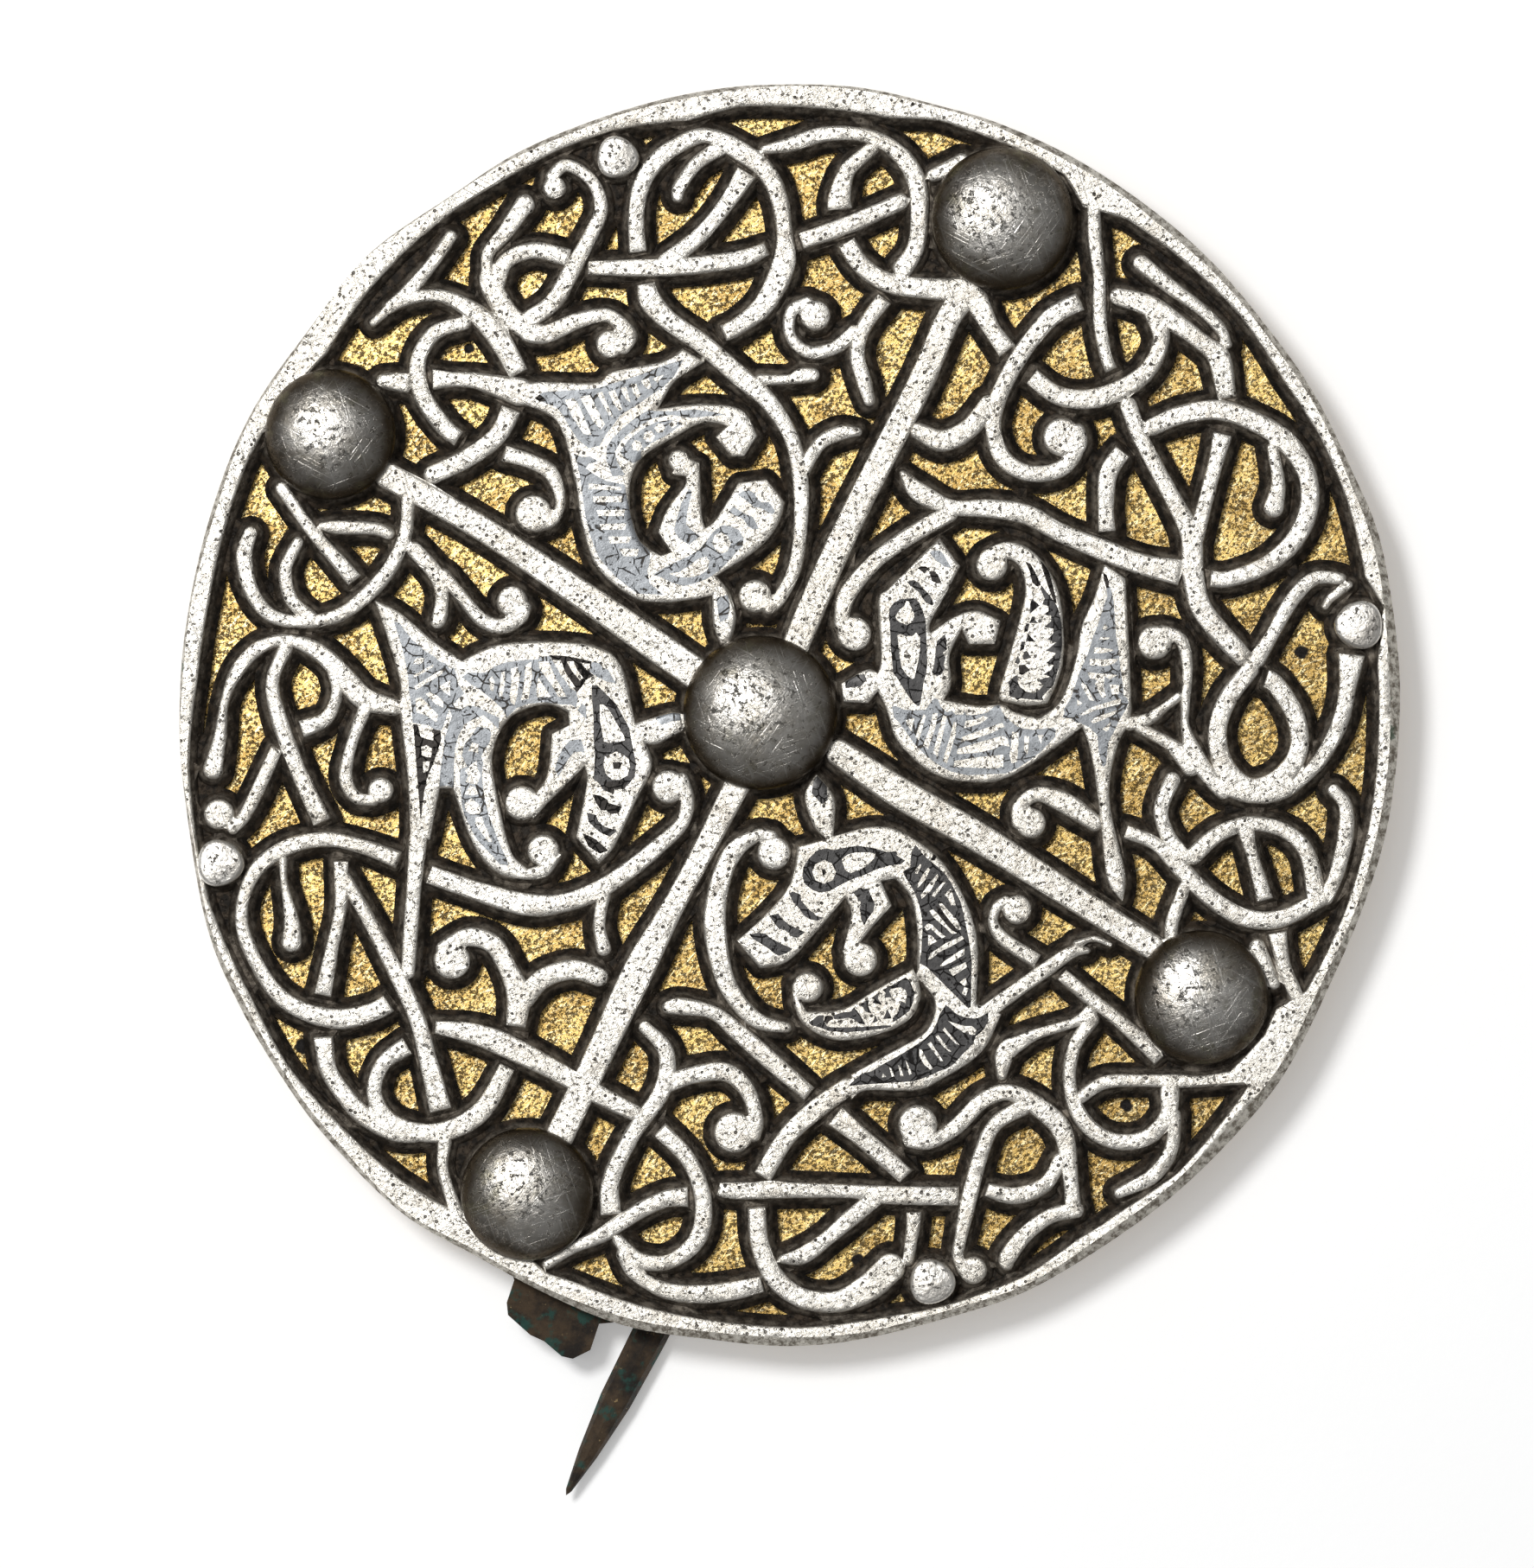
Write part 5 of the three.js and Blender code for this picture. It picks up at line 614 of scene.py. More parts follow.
RIGHT_INLAY = [
  ["light", 11.4,13.05, 12,13.05, 12.3,12.8, 12.7,12.1, 12.95,11.65, 12.4,11.75, 12.05,12, 11.5,12.5,
    11.25,12.8],
  ["light", 8.2,.6, 8.5,.65, 9.2,.35, 10,.3, 10.9,.35, 11.2,.8, 11.6,1.3, 11.9,1.15, 12.1,.6, 12.6,.15,
    13,.3, 13.3,-.05, 13.9,-.05, 14,.2, 14.2,-.1, 15,-.05, 15.8,.1, 16.5,.7, 16.8,.7, 17.1,0, 17.7,-.6,
    18.2,-1, 18.7,-1.15, 19.5,-1.25, 20.5,-1.15, 21.1,-1.1, 21.3,-1.3, 21.25,-1.8, 20.7,-2.4, 20,-3.1,
    19.2,-3.7, 18.3,-4.3, 17.3,-4.75, 16,-4.8, 14.3,-4.9, 12.9,-4.6, 12,-4.1, 11,-3.4, 10,-2.4,
    9.3,-1.4, 8.7,-.6, 8.4,-.3],
  ["bar", 9.3,-.5, 10,-.35, 9.75,-1.4],
  ["bar", 10.75,0, 10.9,-.2, 10.6,-1.3, 10.35,-2.1, 10.1,-1.8, 10.4,-.9],
  ["bar", 11.5,.1, 11.85,.05, 11.7,-1, 11.1,-2.8, 10.7,-2.5, 11.2,-1.2],
  ["bar", 12.3,-.1, 12.6,-.2, 12.3,-1.5, 11.85,-3.4, 11.5,-3.1, 11.9,-1.5],
  ["bar", 13.15,-.6, 13.35,-.7, 13.3,-1.6, 12.6,-3.95, 12.25,-3.75, 12.8,-2],
  ["bar", 14.1,-.55, 14.9,-.45, 15.5,-.15, 15.9,-.3, 15.3,-.75, 14.5,-1, 13.95,-1.15],
  ["bar", 13.8,-1.85, 15.5,-1.2, 17,-.7, 17.2,-1, 16.2,-1.5, 14.7,-2, 13.7,-2.25],
  ["bar", 13.45,-2.8, 15,-2.3, 17,-1.75, 17.4,-1.9, 17.6,-2.6, 17,-2.5, 16.2,-2.85, 15,-3.1, 13.4,-3.2],
  ["bar", 13.2,-3.75, 15,-3.45, 17.1,-3.25, 17.1,-4.2, 16.5,-4.35, 15,-4.3, 13.15,-4.2],
  ["bar", 17.8,-1.4, 18.3,-1.5, 18.3,-2.5, 18.2,-3.8, 17.75,-3.95, 17.6,-3.3, 17.75,-2.3],
  ["bar", 18.8,-1.75, 19.15,-1.8, 19.1,-2.8, 19,-3.3, 18.75,-2.8],
  ["bar", 19.85,-1.7, 20.3,-1.65, 20.1,-2.4],
  ["light", 25.3,10.1, 25.6,10.2, 25.8,9.6, 25.9,9, 26,7.8, 26.1,6.2, 26.3,5.2, 26.4,4, 26.5,3.2, 26.7,2,
    26.7,1.5, 27,1.25, 27.1,.9, 26.9,.4, 26.3,-.6, 25.9,-1.5, 25.5,-2.2, 25.4,-3, 25.3,-4, 25.1,-4.3,
    24.9,-3.8, 24.7,-3, 24.6,-1.7, 24,-1.1, 23.3,-.75, 22.9,-.7, 22.6,-.4, 22,-.3, 21.8,-.25, 22,.1,
    21.9,.35, 22.2,.8, 22.5,1.3, 22.8,2.2, 23,2.8, 23.2,3.4, 23.5,4, 23.9,5, 24.2,6, 24.6,7, 24.9,7.9,
    25.2,8.9, 25.4,9.4],
  ["bar", 25.2,7.2, 25.45,6.9, 25.3,6.7, 25,6.8],
  ["bar", 24.7,5.95, 24.9,6.15, 25.6,6.1, 25.5,5.95],
  ["bar", 24.4,5.3, 24.9,5.3, 25.8,5.15, 25.9,5.05, 25,4.85, 24.3,4.85],
  ["bar", 24,4.4, 25,4.35, 26.3,4.4, 26,4.05, 25.2,3.8, 24,3.9],
  ["bar", 23.8,3.35, 24.6,3.25, 26.2,3.1, 25.6,2.75, 25.2,3, 25.1,2.2, 25.3,1.35, 25,1.3, 24.8,1.6,
    24.4,2.4, 24.6,2.7, 24,2.85],
  ["bar", 25.6,2.35, 26.35,2.3, 26.3,1.6, 25.8,1.55],
  ["bar", 23.4,2.5, 23.7,2.3, 24.35,1.05, 24,1.1, 23.3,2.3],
  ["bar", 23,1.15, 23.4,.85, 23,.6],
  ["bar", 23.15,-.05, 24.2,.55, 26.4,1.25, 26.5,1.1, 26.4,.8, 24.6,.35, 23.5,-.1],
  ["bar", 24.1,-.6, 24.4,-.3, 25.2,0, 26.2,.35, 26,0, 25.2,-.4, 24.3,-.75],
  ["bar", 25,-1.2, 25.7,-.65, 25.5,-1.3, 25.3,-1.4],
  ["dark", 9.2,9.2, 10,9.25, 10.4,8.9, 10.7,8.2, 10.9,7.5, 10.95,6.5, 11,5, 11.05,4, 10.95,3.2,
    10.75,2.6, 10.6,1.5, 10.45,.7, 10.3,.6, 10,.85, 9.6,1.3, 9.1,2.1, 8.6,2.9, 8.3,3.3, 8.2,4.5,
    8.1,5.5, 8.05,7.1, 7.95,7.8, 8,8.4, 8.4,8.9, 8.9,9.15],
  ["bar", 8.5,7.8, 8.8,8.3, 9.2,8.6, 9.35,9, 9.55,9, 9.7,8.6, 9.95,8.1, 10,7.8, 9.8,7.3, 9.4,7.1,
    8.9,7.3, 8.6,7.5],
  ["bar", 8.65,6.3, 8.9,6.35, 9.4,6.2, 9.9,6.25, 10.15,6.5, 10.45,6.1, 10.45,5.2, 10.3,4.2, 10.1,3.3,
    10,2.85, 9.8,2.8, 9.4,3.1, 9,3.7, 8.85,4.4, 8.75,5.3],
  ["dark", 9.4,10.55, 9.9,10.7, 10.4,10.45, 10.6,10.1, 11,9.75, 11.3,9.4, 11.55,8.85, 11.4,8.65,
    10.9,8.9, 10.6,9.3, 10.4,9.7, 10,10, 9.6,10.3],
  ["dark", 12.4,6.35, 12.6,5.9, 12.55,5.1, 12.3,4.9, 12.5,4.5, 12.35,3.9, 12.45,3.7, 12.2,3.2, 11.8,3,
    11.4,3.3, 11.6,4, 11.7,5.2, 11.8,5.8],
  ["dark", 4.45,2.95, 5.2,3.1, 6,3.2, 6.2,2.7, 5.7,2.2, 4.5,2.05],
  ["dark", 17.5,2.55, 17.6,2.1, 17.55,1.45, 18,1.3, 18.2,1.1, 18.5,1.25, 19.3,1.15, 20.3,1.1, 20.2,1.4,
    20.6,1.8, 21.1,2.3, 21.3,2.9, 21.55,3.8, 21.7,4.8, 21.8,5.5, 21.75,7.2, 21.6,7.9, 21.4,8.6, 21,9.2,
    20.5,9.8, 20.15,10.3, 20.05,10, 20.4,9.2, 20.2,8.75, 20.7,8.6, 20.7,8.2, 20.3,7.95, 20.9,7.85,
    20.9,7.4, 20.35,6.95, 21.1,6.8, 21.1,6.4, 20.6,5.95, 21.3,5.7, 20.5,5.05, 21.3,4.85, 21,4.5,
    20.5,4.05, 21.1,3.9, 20.9,3.55, 20.3,3.15, 20.9,2.95, 20.4,2.9, 19.9,2.65, 20.3,2.3, 19.9,1.85,
    19.5,1.65, 18.9,1.8, 18.4,2.2, 18.25,2.6, 18.25,3.15, 17.95,3],
  ["dark", 18.9,5.1, 19.35,4.5, 18.75,4.3, 18.6,4.6],
  ["dark", 18.25,4.7, 18.45,4.2, 18.35,3.95, 18,4.1],
  ["dark", 19.05,6.4, 19.7,5.75, 18.9,5.8],
  ["dark", 18.55,5.8, 18.85,5.75, 18.75,5.15, 18.4,5.05],
  ["dark", 19.4,7.8, 19.85,7.25, 19.2,7.25],
  ["dark", 18.9,7.25, 19.2,7.2, 19.05,6.6, 18.75,6.5],
  ["dark", 19.4,9.2, 20,8.65, 19.45,8.2, 19.2,7.95, 19.25,8.8],
  ["lost", 10.25,11.65, 10.6,11.8, 11,11.75, 11.1,11.55, 10.8,11.2, 10.5,11.45],
  ["lost", 11.15,11.4, 11.6,11.4, 11.9,11.1, 12.15,10.5, 11.9,10.4, 11.4,10.6, 11.3,11],
  ["lost", 18.35,3.9, 18.8,3.95, 19.25,3.5, 18.6,3.1, 18.35,3.2],
  ["lost", 18.85,12.15, 19.25,12, 19.6,11.4, 20.1,10.3, 19.8,10.15, 19.4,10.5, 19.2,11.4],
  ["lost", 20.1,12.2, 20.4,12.2, 20.8,11.2, 21.3,9.3, 21.35,8.8, 21.15,8.9, 20.6,10.4, 20.15,11.8],
  ["lost", 25.05,11.3, 25.35,11.1, 25.55,10.5, 25.5,10.05, 25.3,10.1, 25.1,10.8],
]

BOTTOM_INLAY = [
  ["dark", 1.05,-12.9, 1.15,-12.2, 1.6,-11.5, 2.2,-10.9, 3,-10.7, 3.5,-10.85, 4.5,-10.65, 5.5,-10.5,
    6.8,-10.7, 7.8,-11, 8.6,-10.95, 8.6,-11.3, 9.3,-11.7, 8.9,-12, 8,-12.1, 7,-12.4, 6,-12.85, 5,-13.2,
    4,-13.7, 3.2,-14.15, 2.4,-14.25, 1.8,-14, 1.2,-13.5],
  ["bar", 1.85,-12.6, 2.1,-12, 2.8,-11.65, 3.4,-11.9, 3.75,-12.6, 3.5,-13.25, 2.8,-13.55, 2.1,-13.25],
  ["lost", 2.6,-12.4, 2.85,-12.35, 3,-12.65, 2.7,-12.95],
  ["bar", 4.2,-11.6, 4.7,-11.2, 5.3,-11.05, 6.4,-11.05, 6.9,-11.15, 6.8,-11.5, 6.2,-12.1, 5.7,-12.4,
    4.9,-12.7, 4.5,-12.5],
  ["dark", 0,-14.3, .3,-14.15, .9,-14.4, 1,-14.9, 1.5,-15.5, 2.2,-16.1, 2.8,-16.25, 2.3,-16.5, 1.7,-16.4,
    1.2,-16.1, .8,-15.5, .3,-15],
  ["dark", -1.6,-16.1, -.85,-15.9, -.6,-16.3, 0,-16.8, .8,-17.2, 1.3,-17.4, .7,-17.85, .3,-17.8, 0,-17.5,
    -.4,-17.2, -.8,-17.15, -1.1,-16.8],
  ["dark", -3.2,-17.6, -2.6,-17.45, -1.9,-17.5, -1.5,-17.85, -.7,-18.3, .3,-18.75, -.2,-19.1, -.8,-19.3,
    -1.2,-19.1, -1.6,-18.75, -2.2,-18.35, -2.8,-18],
  ["dark", 5.1,-14.2, 5.6,-13.9, 6.3,-13.95, 6.6,-14.6, 6.85,-15.2, 6.7,-15.8, 6.3,-16.3, 6,-16.9,
    5.75,-16.4, 5.65,-15.6, 5.7,-15, 5.3,-14.5],
  ["dark", 2.2,-4.95, 2.6,-5, 3,-5.6, 3.1,-6.9, 2.6,-7.2, 1.8,-6.3, 1.9,-5.5],
  ["dark", 10.1,-10.45, 9.8,-10.9, 9.7,-11.5, 9.7,-12.2, 9.1,-12.55, 9.2,-12.9, 9.6,-13.5, 10,-14.2,
    10.25,-14.8, 10.45,-15.5, 10.6,-16.3, 10.65,-17, 10.6,-18, 10.55,-19, 10.4,-19.9, 11,-20.2,
    11.6,-20.8, 12.3,-21.5, 13,-22.2, 13.7,-22.9, 14.3,-23.5, 14.5,-23.4, 14.55,-22.5, 14.55,-21,
    14.6,-20, 14.5,-19, 14.35,-18, 14.15,-17, 13.95,-16, 13.7,-15, 13.3,-14.2, 12.95,-13.5, 12.5,-12.8,
    12,-12.3, 11.5,-11.9, 11.1,-11.6, 10.7,-11.2],
  ["bar", 10.05,-12.75, 10.25,-12.75, 10.55,-12.1, 10.5,-11.95, 10.1,-12.4],
  ["bar", 10.2,-13.7, 10.3,-13.85, 10.9,-13.2, 11.25,-12.4, 11.1,-12.25, 10.7,-12.8],
  ["bar", 10.5,-14.45, 10.6,-14.75, 11.3,-14.1, 11.9,-13, 11.85,-12.75, 11.3,-13.4],
  ["bar", 11.35,-14.45, 11.6,-14.65, 12.5,-13.4, 12.4,-13.3],
  ["bar", 12.4,-14.4, 12.9,-13.95, 13.1,-14.5, 13.3,-15.25, 12.9,-15.25, 12.7,-14.7],
  ["bar", 11.95,-15.15, 12.2,-15.1, 12.9,-15.9, 13.4,-16.4, 13.75,-17.2, 13.5,-17.25, 12.9,-16.6,
    12.3,-15.8],
  ["bar", 11.2,-15.7, 11.5,-15.6, 12.2,-16.2, 12.9,-16.9, 13.4,-17.5, 13,-17.55, 12.2,-16.8, 11.5,-16.2],
  ["bar", 10.8,-17, 11.1,-16.7, 11.4,-16.8, 12,-17.4, 12.5,-17.75, 12.2,-17.9, 11.8,-17.6, 11.3,-17.1,
    11,-17.3],
  ["bar", 11.1,-17.6, 11.4,-17.7, 11.8,-18.15, 11.1,-18.5],
  ["bar", 11.1,-19.6, 11.3,-19.1, 12.5,-18.3, 13.8,-17.7, 13.95,-17.95, 13,-18.5, 12,-19, 11.4,-19.5],
  ["bar", 12.05,-20.1, 12.3,-19.8, 13.3,-19.1, 14,-18.7, 14,-19.2, 13,-19.8, 12.3,-20.1],
  ["bar", 12.75,-20.4, 14.1,-19.8, 14.2,-20.2, 13.1,-20.9, 12.9,-20.7],
  ["bar", 13.6,-21.4, 14.1,-21.05, 14.2,-21.6, 14,-21.7],
  ["bar", 13.8,-22.3, 14,-21.8, 14.3,-21.9, 14.1,-22.5],
  ["lost", 11.6,-11, 11.95,-11.05, 11.6,-11.7, 11.3,-11.7],
  ["lost", 11.7,-15.3, 11.95,-15.4, 13.4,-17.2, 13.3,-17.45, 12.8,-17.1, 11.9,-16],
  ["lost", 13,-19.95, 14,-19.45, 14.2,-19.4, 13.9,-19.7, 13,-20.1],
  ["dark", 1.55,-24.6, 1.9,-24.4, 2.3,-24.05, 2.8,-24.05, 2.75,-24.4, 3,-24.9, 3.4,-25, 5,-25,
    6.1,-24.95, 7.5,-24.85, 8.1,-24.85, 8.2,-24.95, 7.5,-25.1, 6,-25.3, 4.5,-25.4, 3.2,-25.3, 2.4,-25,
    1.8,-24.85],
  ["dark", 3.5,-24.05, 4.3,-23.8, 4.9,-23.75, 5.2,-23.4, 5.6,-23.9, 5.9,-24.4, 6.1,-24.8, 5.6,-24.7,
    5.2,-24.4, 4.8,-24.25, 4.1,-24.35, 3.6,-24.35],
  ["dark", 5.6,-23.2, 6.1,-22.9, 6.4,-22.85, 6.3,-23.3, 6.6,-23.9, 6.1,-23.75, 5.9,-23.4],
  ["dark", 6.6,-22.65, 7.2,-22.2, 7.1,-22.7, 7.4,-23.2, 6.65,-23.05, 6.8,-22.8],
  ["dark", 7.45,-22, 8.3,-21.6, 9.3,-21, 9.7,-21.4, 9.9,-21.95, 10.05,-22.2, 9.9,-23, 9.6,-23.7, 9,-24.15,
    8.3,-24.6, 8.25,-24.25, 8.7,-23.8, 8.8,-23.3, 8.95,-22.9, 9.3,-23.1, 9.4,-22.4, 9.3,-22.05,
    8.9,-21.8, 8.1,-21.95, 8,-22.2, 8.2,-22.6, 7.6,-22.65, 7.7,-22.25],
  ["dark", 7.85,-23.5, 8.2,-24.3, 7.5,-24.35, 7.7,-23.9],
  ["dark", 6.85,-24, 7.1,-24.5, 6.55,-24.7, 6.75,-24.4],
  ["lost", 2.85,-24.15, 3.1,-24.05, 3.5,-24.1, 3.55,-24.35, 3.2,-24.5, 3,-24.75, 2.8,-24.5],
  ["dark", 4.7,-29.7, 5.2,-29.2, 5.8,-28.7, 6.6,-28.5, 7.4,-28, 8.3,-27.5, 9.2,-27, 10,-26.5,
    10.8,-25.95, 11.4,-25.4, 11.8,-24.6, 12,-24, 12.5,-23.2, 12.9,-23.5, 13.3,-23.9, 14,-24.2,
    14.8,-24.3, 15.2,-24.2, 15.9,-23.8, 15.9,-24.5, 15.6,-25.1, 15.2,-25.5, 14.9,-25.7, 14.7,-26.3,
    14.2,-26.8, 13.8,-27.2, 13.2,-27.9, 12.6,-28.3, 12,-28.5, 11,-28.95, 10,-29.3, 8.5,-29.4, 7,-29.5,
    5.6,-29.6],
  ["bar", 7.4,-29, 7.5,-28.65, 7.75,-28.95],
  ["bar", 8,-28.2, 8.15,-28.3, 8.4,-28.9, 8.2,-28.95],
  ["bar", 8.7,-28, 8.9,-28.2, 9.15,-28.9, 8.9,-28.9],
  ["bar", 9.3,-27.6, 9.6,-28.2, 9.8,-28.7, 9.6,-28.8, 9.45,-28.3],
  ["bar", 10.4,-26.75, 10.6,-26.8, 11,-27.6, 11.5,-28.3, 11.3,-28.4, 10.8,-28, 10.4,-27.3],
  ["bar", 11.05,-26.35, 11.3,-26.15, 11.8,-26.9, 12.3,-27.7, 12.1,-27.7, 11.5,-26.9],
  ["bar", 11.7,-25.7, 11.9,-25.6, 12.5,-26.4, 12.95,-26.95, 12.7,-26.9, 12,-26.2],
  ["bar", 12.25,-25.2, 12.4,-25, 13.2,-26, 13.6,-26.4, 13.3,-26.3, 12.8,-25.8],
  ["bar", 12.7,-24.5, 13.3,-24.7, 14,-24.9, 14.6,-24.9, 14.95,-25.2, 14.85,-25.6, 14.6,-25.6, 13.9,-25.4,
    13.3,-25],
]

INLAY = TOP_INLAY + LEFT_INLAY + RIGHT_INLAY + BOTTOM_INLAY

# A face's finish is the place of its kind in this list, and a bar is plain silver like the rest.
INLAY_KINDS = ("bar", "light", "dark", "lost")
RIM_EDGE = len(INLAY_KINDS)


def pairs(numbers):
    """Rows of two from a flat list."""
    return np.array(numbers, dtype=float).reshape(-1, 2)


def triples(numbers):
    """Rows of three from a flat list."""
    return np.array(numbers, dtype=float).reshape(-1, 3)


def rivet_measures(node):
    """Middle, radius, bottom and top of a rivet, in millimetres."""
    low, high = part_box(node)
    middle = ((low[0] + high[0]) / 2 / MM, (low[1] + high[1]) / 2 / MM)
    return middle, (high[1] - low[1]) / 2 / MM, low[2] / MM, high[2] / MM


def between(a, b, c, d, t):
    """Catmull-Rom value between b and c."""
    return b + 0.5 * t * (c - a + t * (2 * a - 5 * b + 4 * c - d + t * (3 * (b - c) + d - a)))


def span(before, start, end, after):
    """Points of a smooth curve from start up to, but without, end."""
    return [between(before, start, end, after, step / STEPS_PER_SPAN) for step in range(STEPS_PER_SPAN)]


def smooth_line(points):
    """Open curve through the points."""
    line = []
    last = len(points) - 1
    for i in range(last):
        line += span(points[max(i - 1, 0)], points[i], points[i + 1], points[min(i + 2, last)])
    return np.array(line + [points[last]])


def turn_at(a, b, c):
    """Angle that the line turns by at b."""
    first = math.atan2(b[1] - a[1], b[0] - a[0])
    second = math.atan2(c[1] - b[1], c[0] - b[0])
    return abs(math.atan2(math.sin(second - first), math.cos(second - first)))


def smooth_outline(points):
    """Closed outline, rounded between its points but sharp where it turns hard."""
    count = len(points)
    sharp = [turn_at(points[i - 1], points[i], points[(i + 1) % count]) > CORNER_TURN for i in range(count)]
    line = []
    for i in range(count):
        start, end = points[i], points[(i + 1) % count]
        before = start if sharp[i] else points[i - 1]
        after = end if sharp[(i + 1) % count] else points[(i + 2) % count]
        line += span(before, start, end, after)
    return np.array(line)


def radius_by_angle(outline, angles):
    """Distance from the origin to an outline round it, at each angle."""
    rays = sorted((math.atan2(y, x), math.hypot(x, y)) for x, y in outline)
    return np.interp(angles, [ray[0] for ray in rays], [ray[1] for ray in rays], period=2 * math.pi)


def window(low, high):
    """Rows or columns of the field from low to high."""
    first = int(np.clip(round((low + FIELD_HALF) / CELL), 0, FIELD_SIDE - 1))
    last = int(np.clip(round((high + FIELD_HALF) / CELL), 0, FIELD_SIDE - 1))
    return slice(first, last + 1)


def raise_field(field, low, high, height):
    """Raises the field to a height of x and y, within the box from low to high."""
    columns, rows = window(low[0], high[0]), window(low[1], high[1])
    x, y = np.meshgrid(FIELD_PLACES[columns], FIELD_PLACES[rows])
    np.maximum(field[rows, columns], height(x, y), out=field[rows, columns])


def add_disc(field, middle, radius):
    """Round ridge, for a curl's end or a rivet's seat."""
    out = radius + REACH
    low = (middle[0] - out, middle[1] - out)
    high = (middle[0] + out, middle[1] + out)
    raise_field(field, low, high, lambda x, y: radius - np.hypot(x - middle[0], y - middle[1]))


def end_cut(end, inner):
    """Distance inward from a strand's end, which cuts the ridge off straight there."""
    run = inner[:2] - end[:2]
    run = run / np.hypot(*run)
    return lambda x, y: (x - end[0]) * run[0] + (y - end[1]) * run[1]


def add_segment(field, a, b, cuts):
    """Ridge from a to b, each of x, y and width, that the cuts may shorten."""
    run = b[:2] - a[:2]
    length_squared = max(run @ run, SHORTEST_SQUARED)
    out = max(a[2], b[2]) / 2 + REACH

    def height(x, y):
        t = np.clip(((x - a[0]) * run[0] + (y - a[1]) * run[1]) / length_squared, 0, 1)
        distance = np.hypot(x - a[0] - t * run[0], y - a[1] - t * run[1])
        value = (a[2] + (b[2] - a[2]) * t) / 2 - distance
        for cut in cuts:
            value = np.minimum(value, cut(x, y))
        return value

    raise_field(field, np.minimum(a, b)[:2] - out, np.maximum(a, b)[:2] + out, height)


def add_strand(field, strand):
    """Ridge along a strand, in segments, with its ends round or cut straight."""
    ends, line = strand[0], smooth_line(triples(strand[1:]))
    start_cut = end_cut(line[0], line[3]) if ends[0] == "f" else None
    finish_cut = end_cut(line[-1], line[-4]) if ends[1] == "f" else None
    for a, b in zip(line[:-1], line[1:]):
        cuts = []
        if start_cut and np.hypot(*(a - line[0])[:2]) < FLAT_END_REACH:
            cuts.append(start_cut)
        if finish_cut and np.hypot(*(b - line[-1])[:2]) < FLAT_END_REACH:
            cuts.append(finish_cut)
        add_segment(field, a, b, cuts)


def enclosed(x, y, edges):
    """Which places lie inside the edges: a line to one side crosses an odd number of them."""
    inside = np.zeros(x.shape, dtype=bool)
    for (ax, ay), (bx, by) in edges:
        if ay != by:
            inside ^= ((ay > y) != (by > y)) & (x < (bx - ax) * (y - ay) / (by - ay) + ax)
    return inside


def edges_of(outline):
    """Edges of a closed outline, each from one point to the next."""
    return list(zip(np.roll(outline, 1, axis=0), outline))


def outline_distance(outline, x, y):
    """Distance inside an outline, negative outside it."""
    nearest = np.full(x.shape, np.inf)
    for (ax, ay), (bx, by) in edges_of(outline):
        dx, dy = bx - ax, by - ay
        t = np.clip(((x - ax) * dx + (y - ay) * dy) / max(dx * dx + dy * dy, SHORTEST_SQUARED), 0, 1)
        nearest = np.minimum(nearest, (x - ax - t * dx) ** 2 + (y - ay - t * dy) ** 2)
    return np.where(enclosed(x, y, edges_of(outline)), 1, -1) * np.sqrt(nearest)


def add_outline(field, numbers):
    """Ridge that fills a smooth outline."""
    outline = smooth_outline(pairs(numbers))
    raise_field(field, outline.min(axis=0) - REACH, outline.max(axis=0) + REACH,
                lambda x, y: outline_distance(outline, x, y))


def carving_field():
    """Field of the whole carving: rim, interlace, cross, rivet seats and beasts."""
    x, y = np.meshgrid(FIELD_PLACES, FIELD_PLACES)
    field = np.hypot(x, y) - radius_by_angle(pairs(RIM_INNER), np.arctan2(y, x))
    for strand in TOP_STRANDS + RIGHT_STRANDS + BOTTOM_STRANDS + LEFT_STRANDS + CROSS_ARMS:
        add_strand(field, strand)
    for disc in triples(CURL_DISCS):
        add_disc(field, disc[:2], disc[2])
    for node in BOSSES + SMALL_RIVETS:
        middle, radius, _, _ = rivet_measures(node)
        add_disc(field, middle, radius - SEAT_INSET)
    for beast in BEASTS:
        add_outline(field, beast)
    return field


def sample(field, x, y):
    """Value of the field at places between its points."""
    u = np.clip((x + FIELD_HALF) / CELL, 0, FIELD_END)
    v = np.clip((y + FIELD_HALF) / CELL, 0, FIELD_END)
    i, j = u.astype(int), v.astype(int)
    s, t = u - i, v - j
    below = field[j, i] * (1 - s) + field[j, i + 1] * s
    above = field[j + 1, i] * (1 - s) + field[j + 1, i + 1] * s
    return below * (1 - t) + above * t


def side_keys(row, column):
    """A number for each side of a square, which is the same in the square that shares it."""
    here = 2 * (row * FIELD_SIDE + column)
    return here, here + 3, here + 2 * FIELD_SIDE, here + 1


def side_before(within, side):
    """Side where an outline that comes in at a side goes out, back round the corners within."""
    back = (side + 3) % 4
    while within[back]:
        back = (back + 3) % 4
    return back


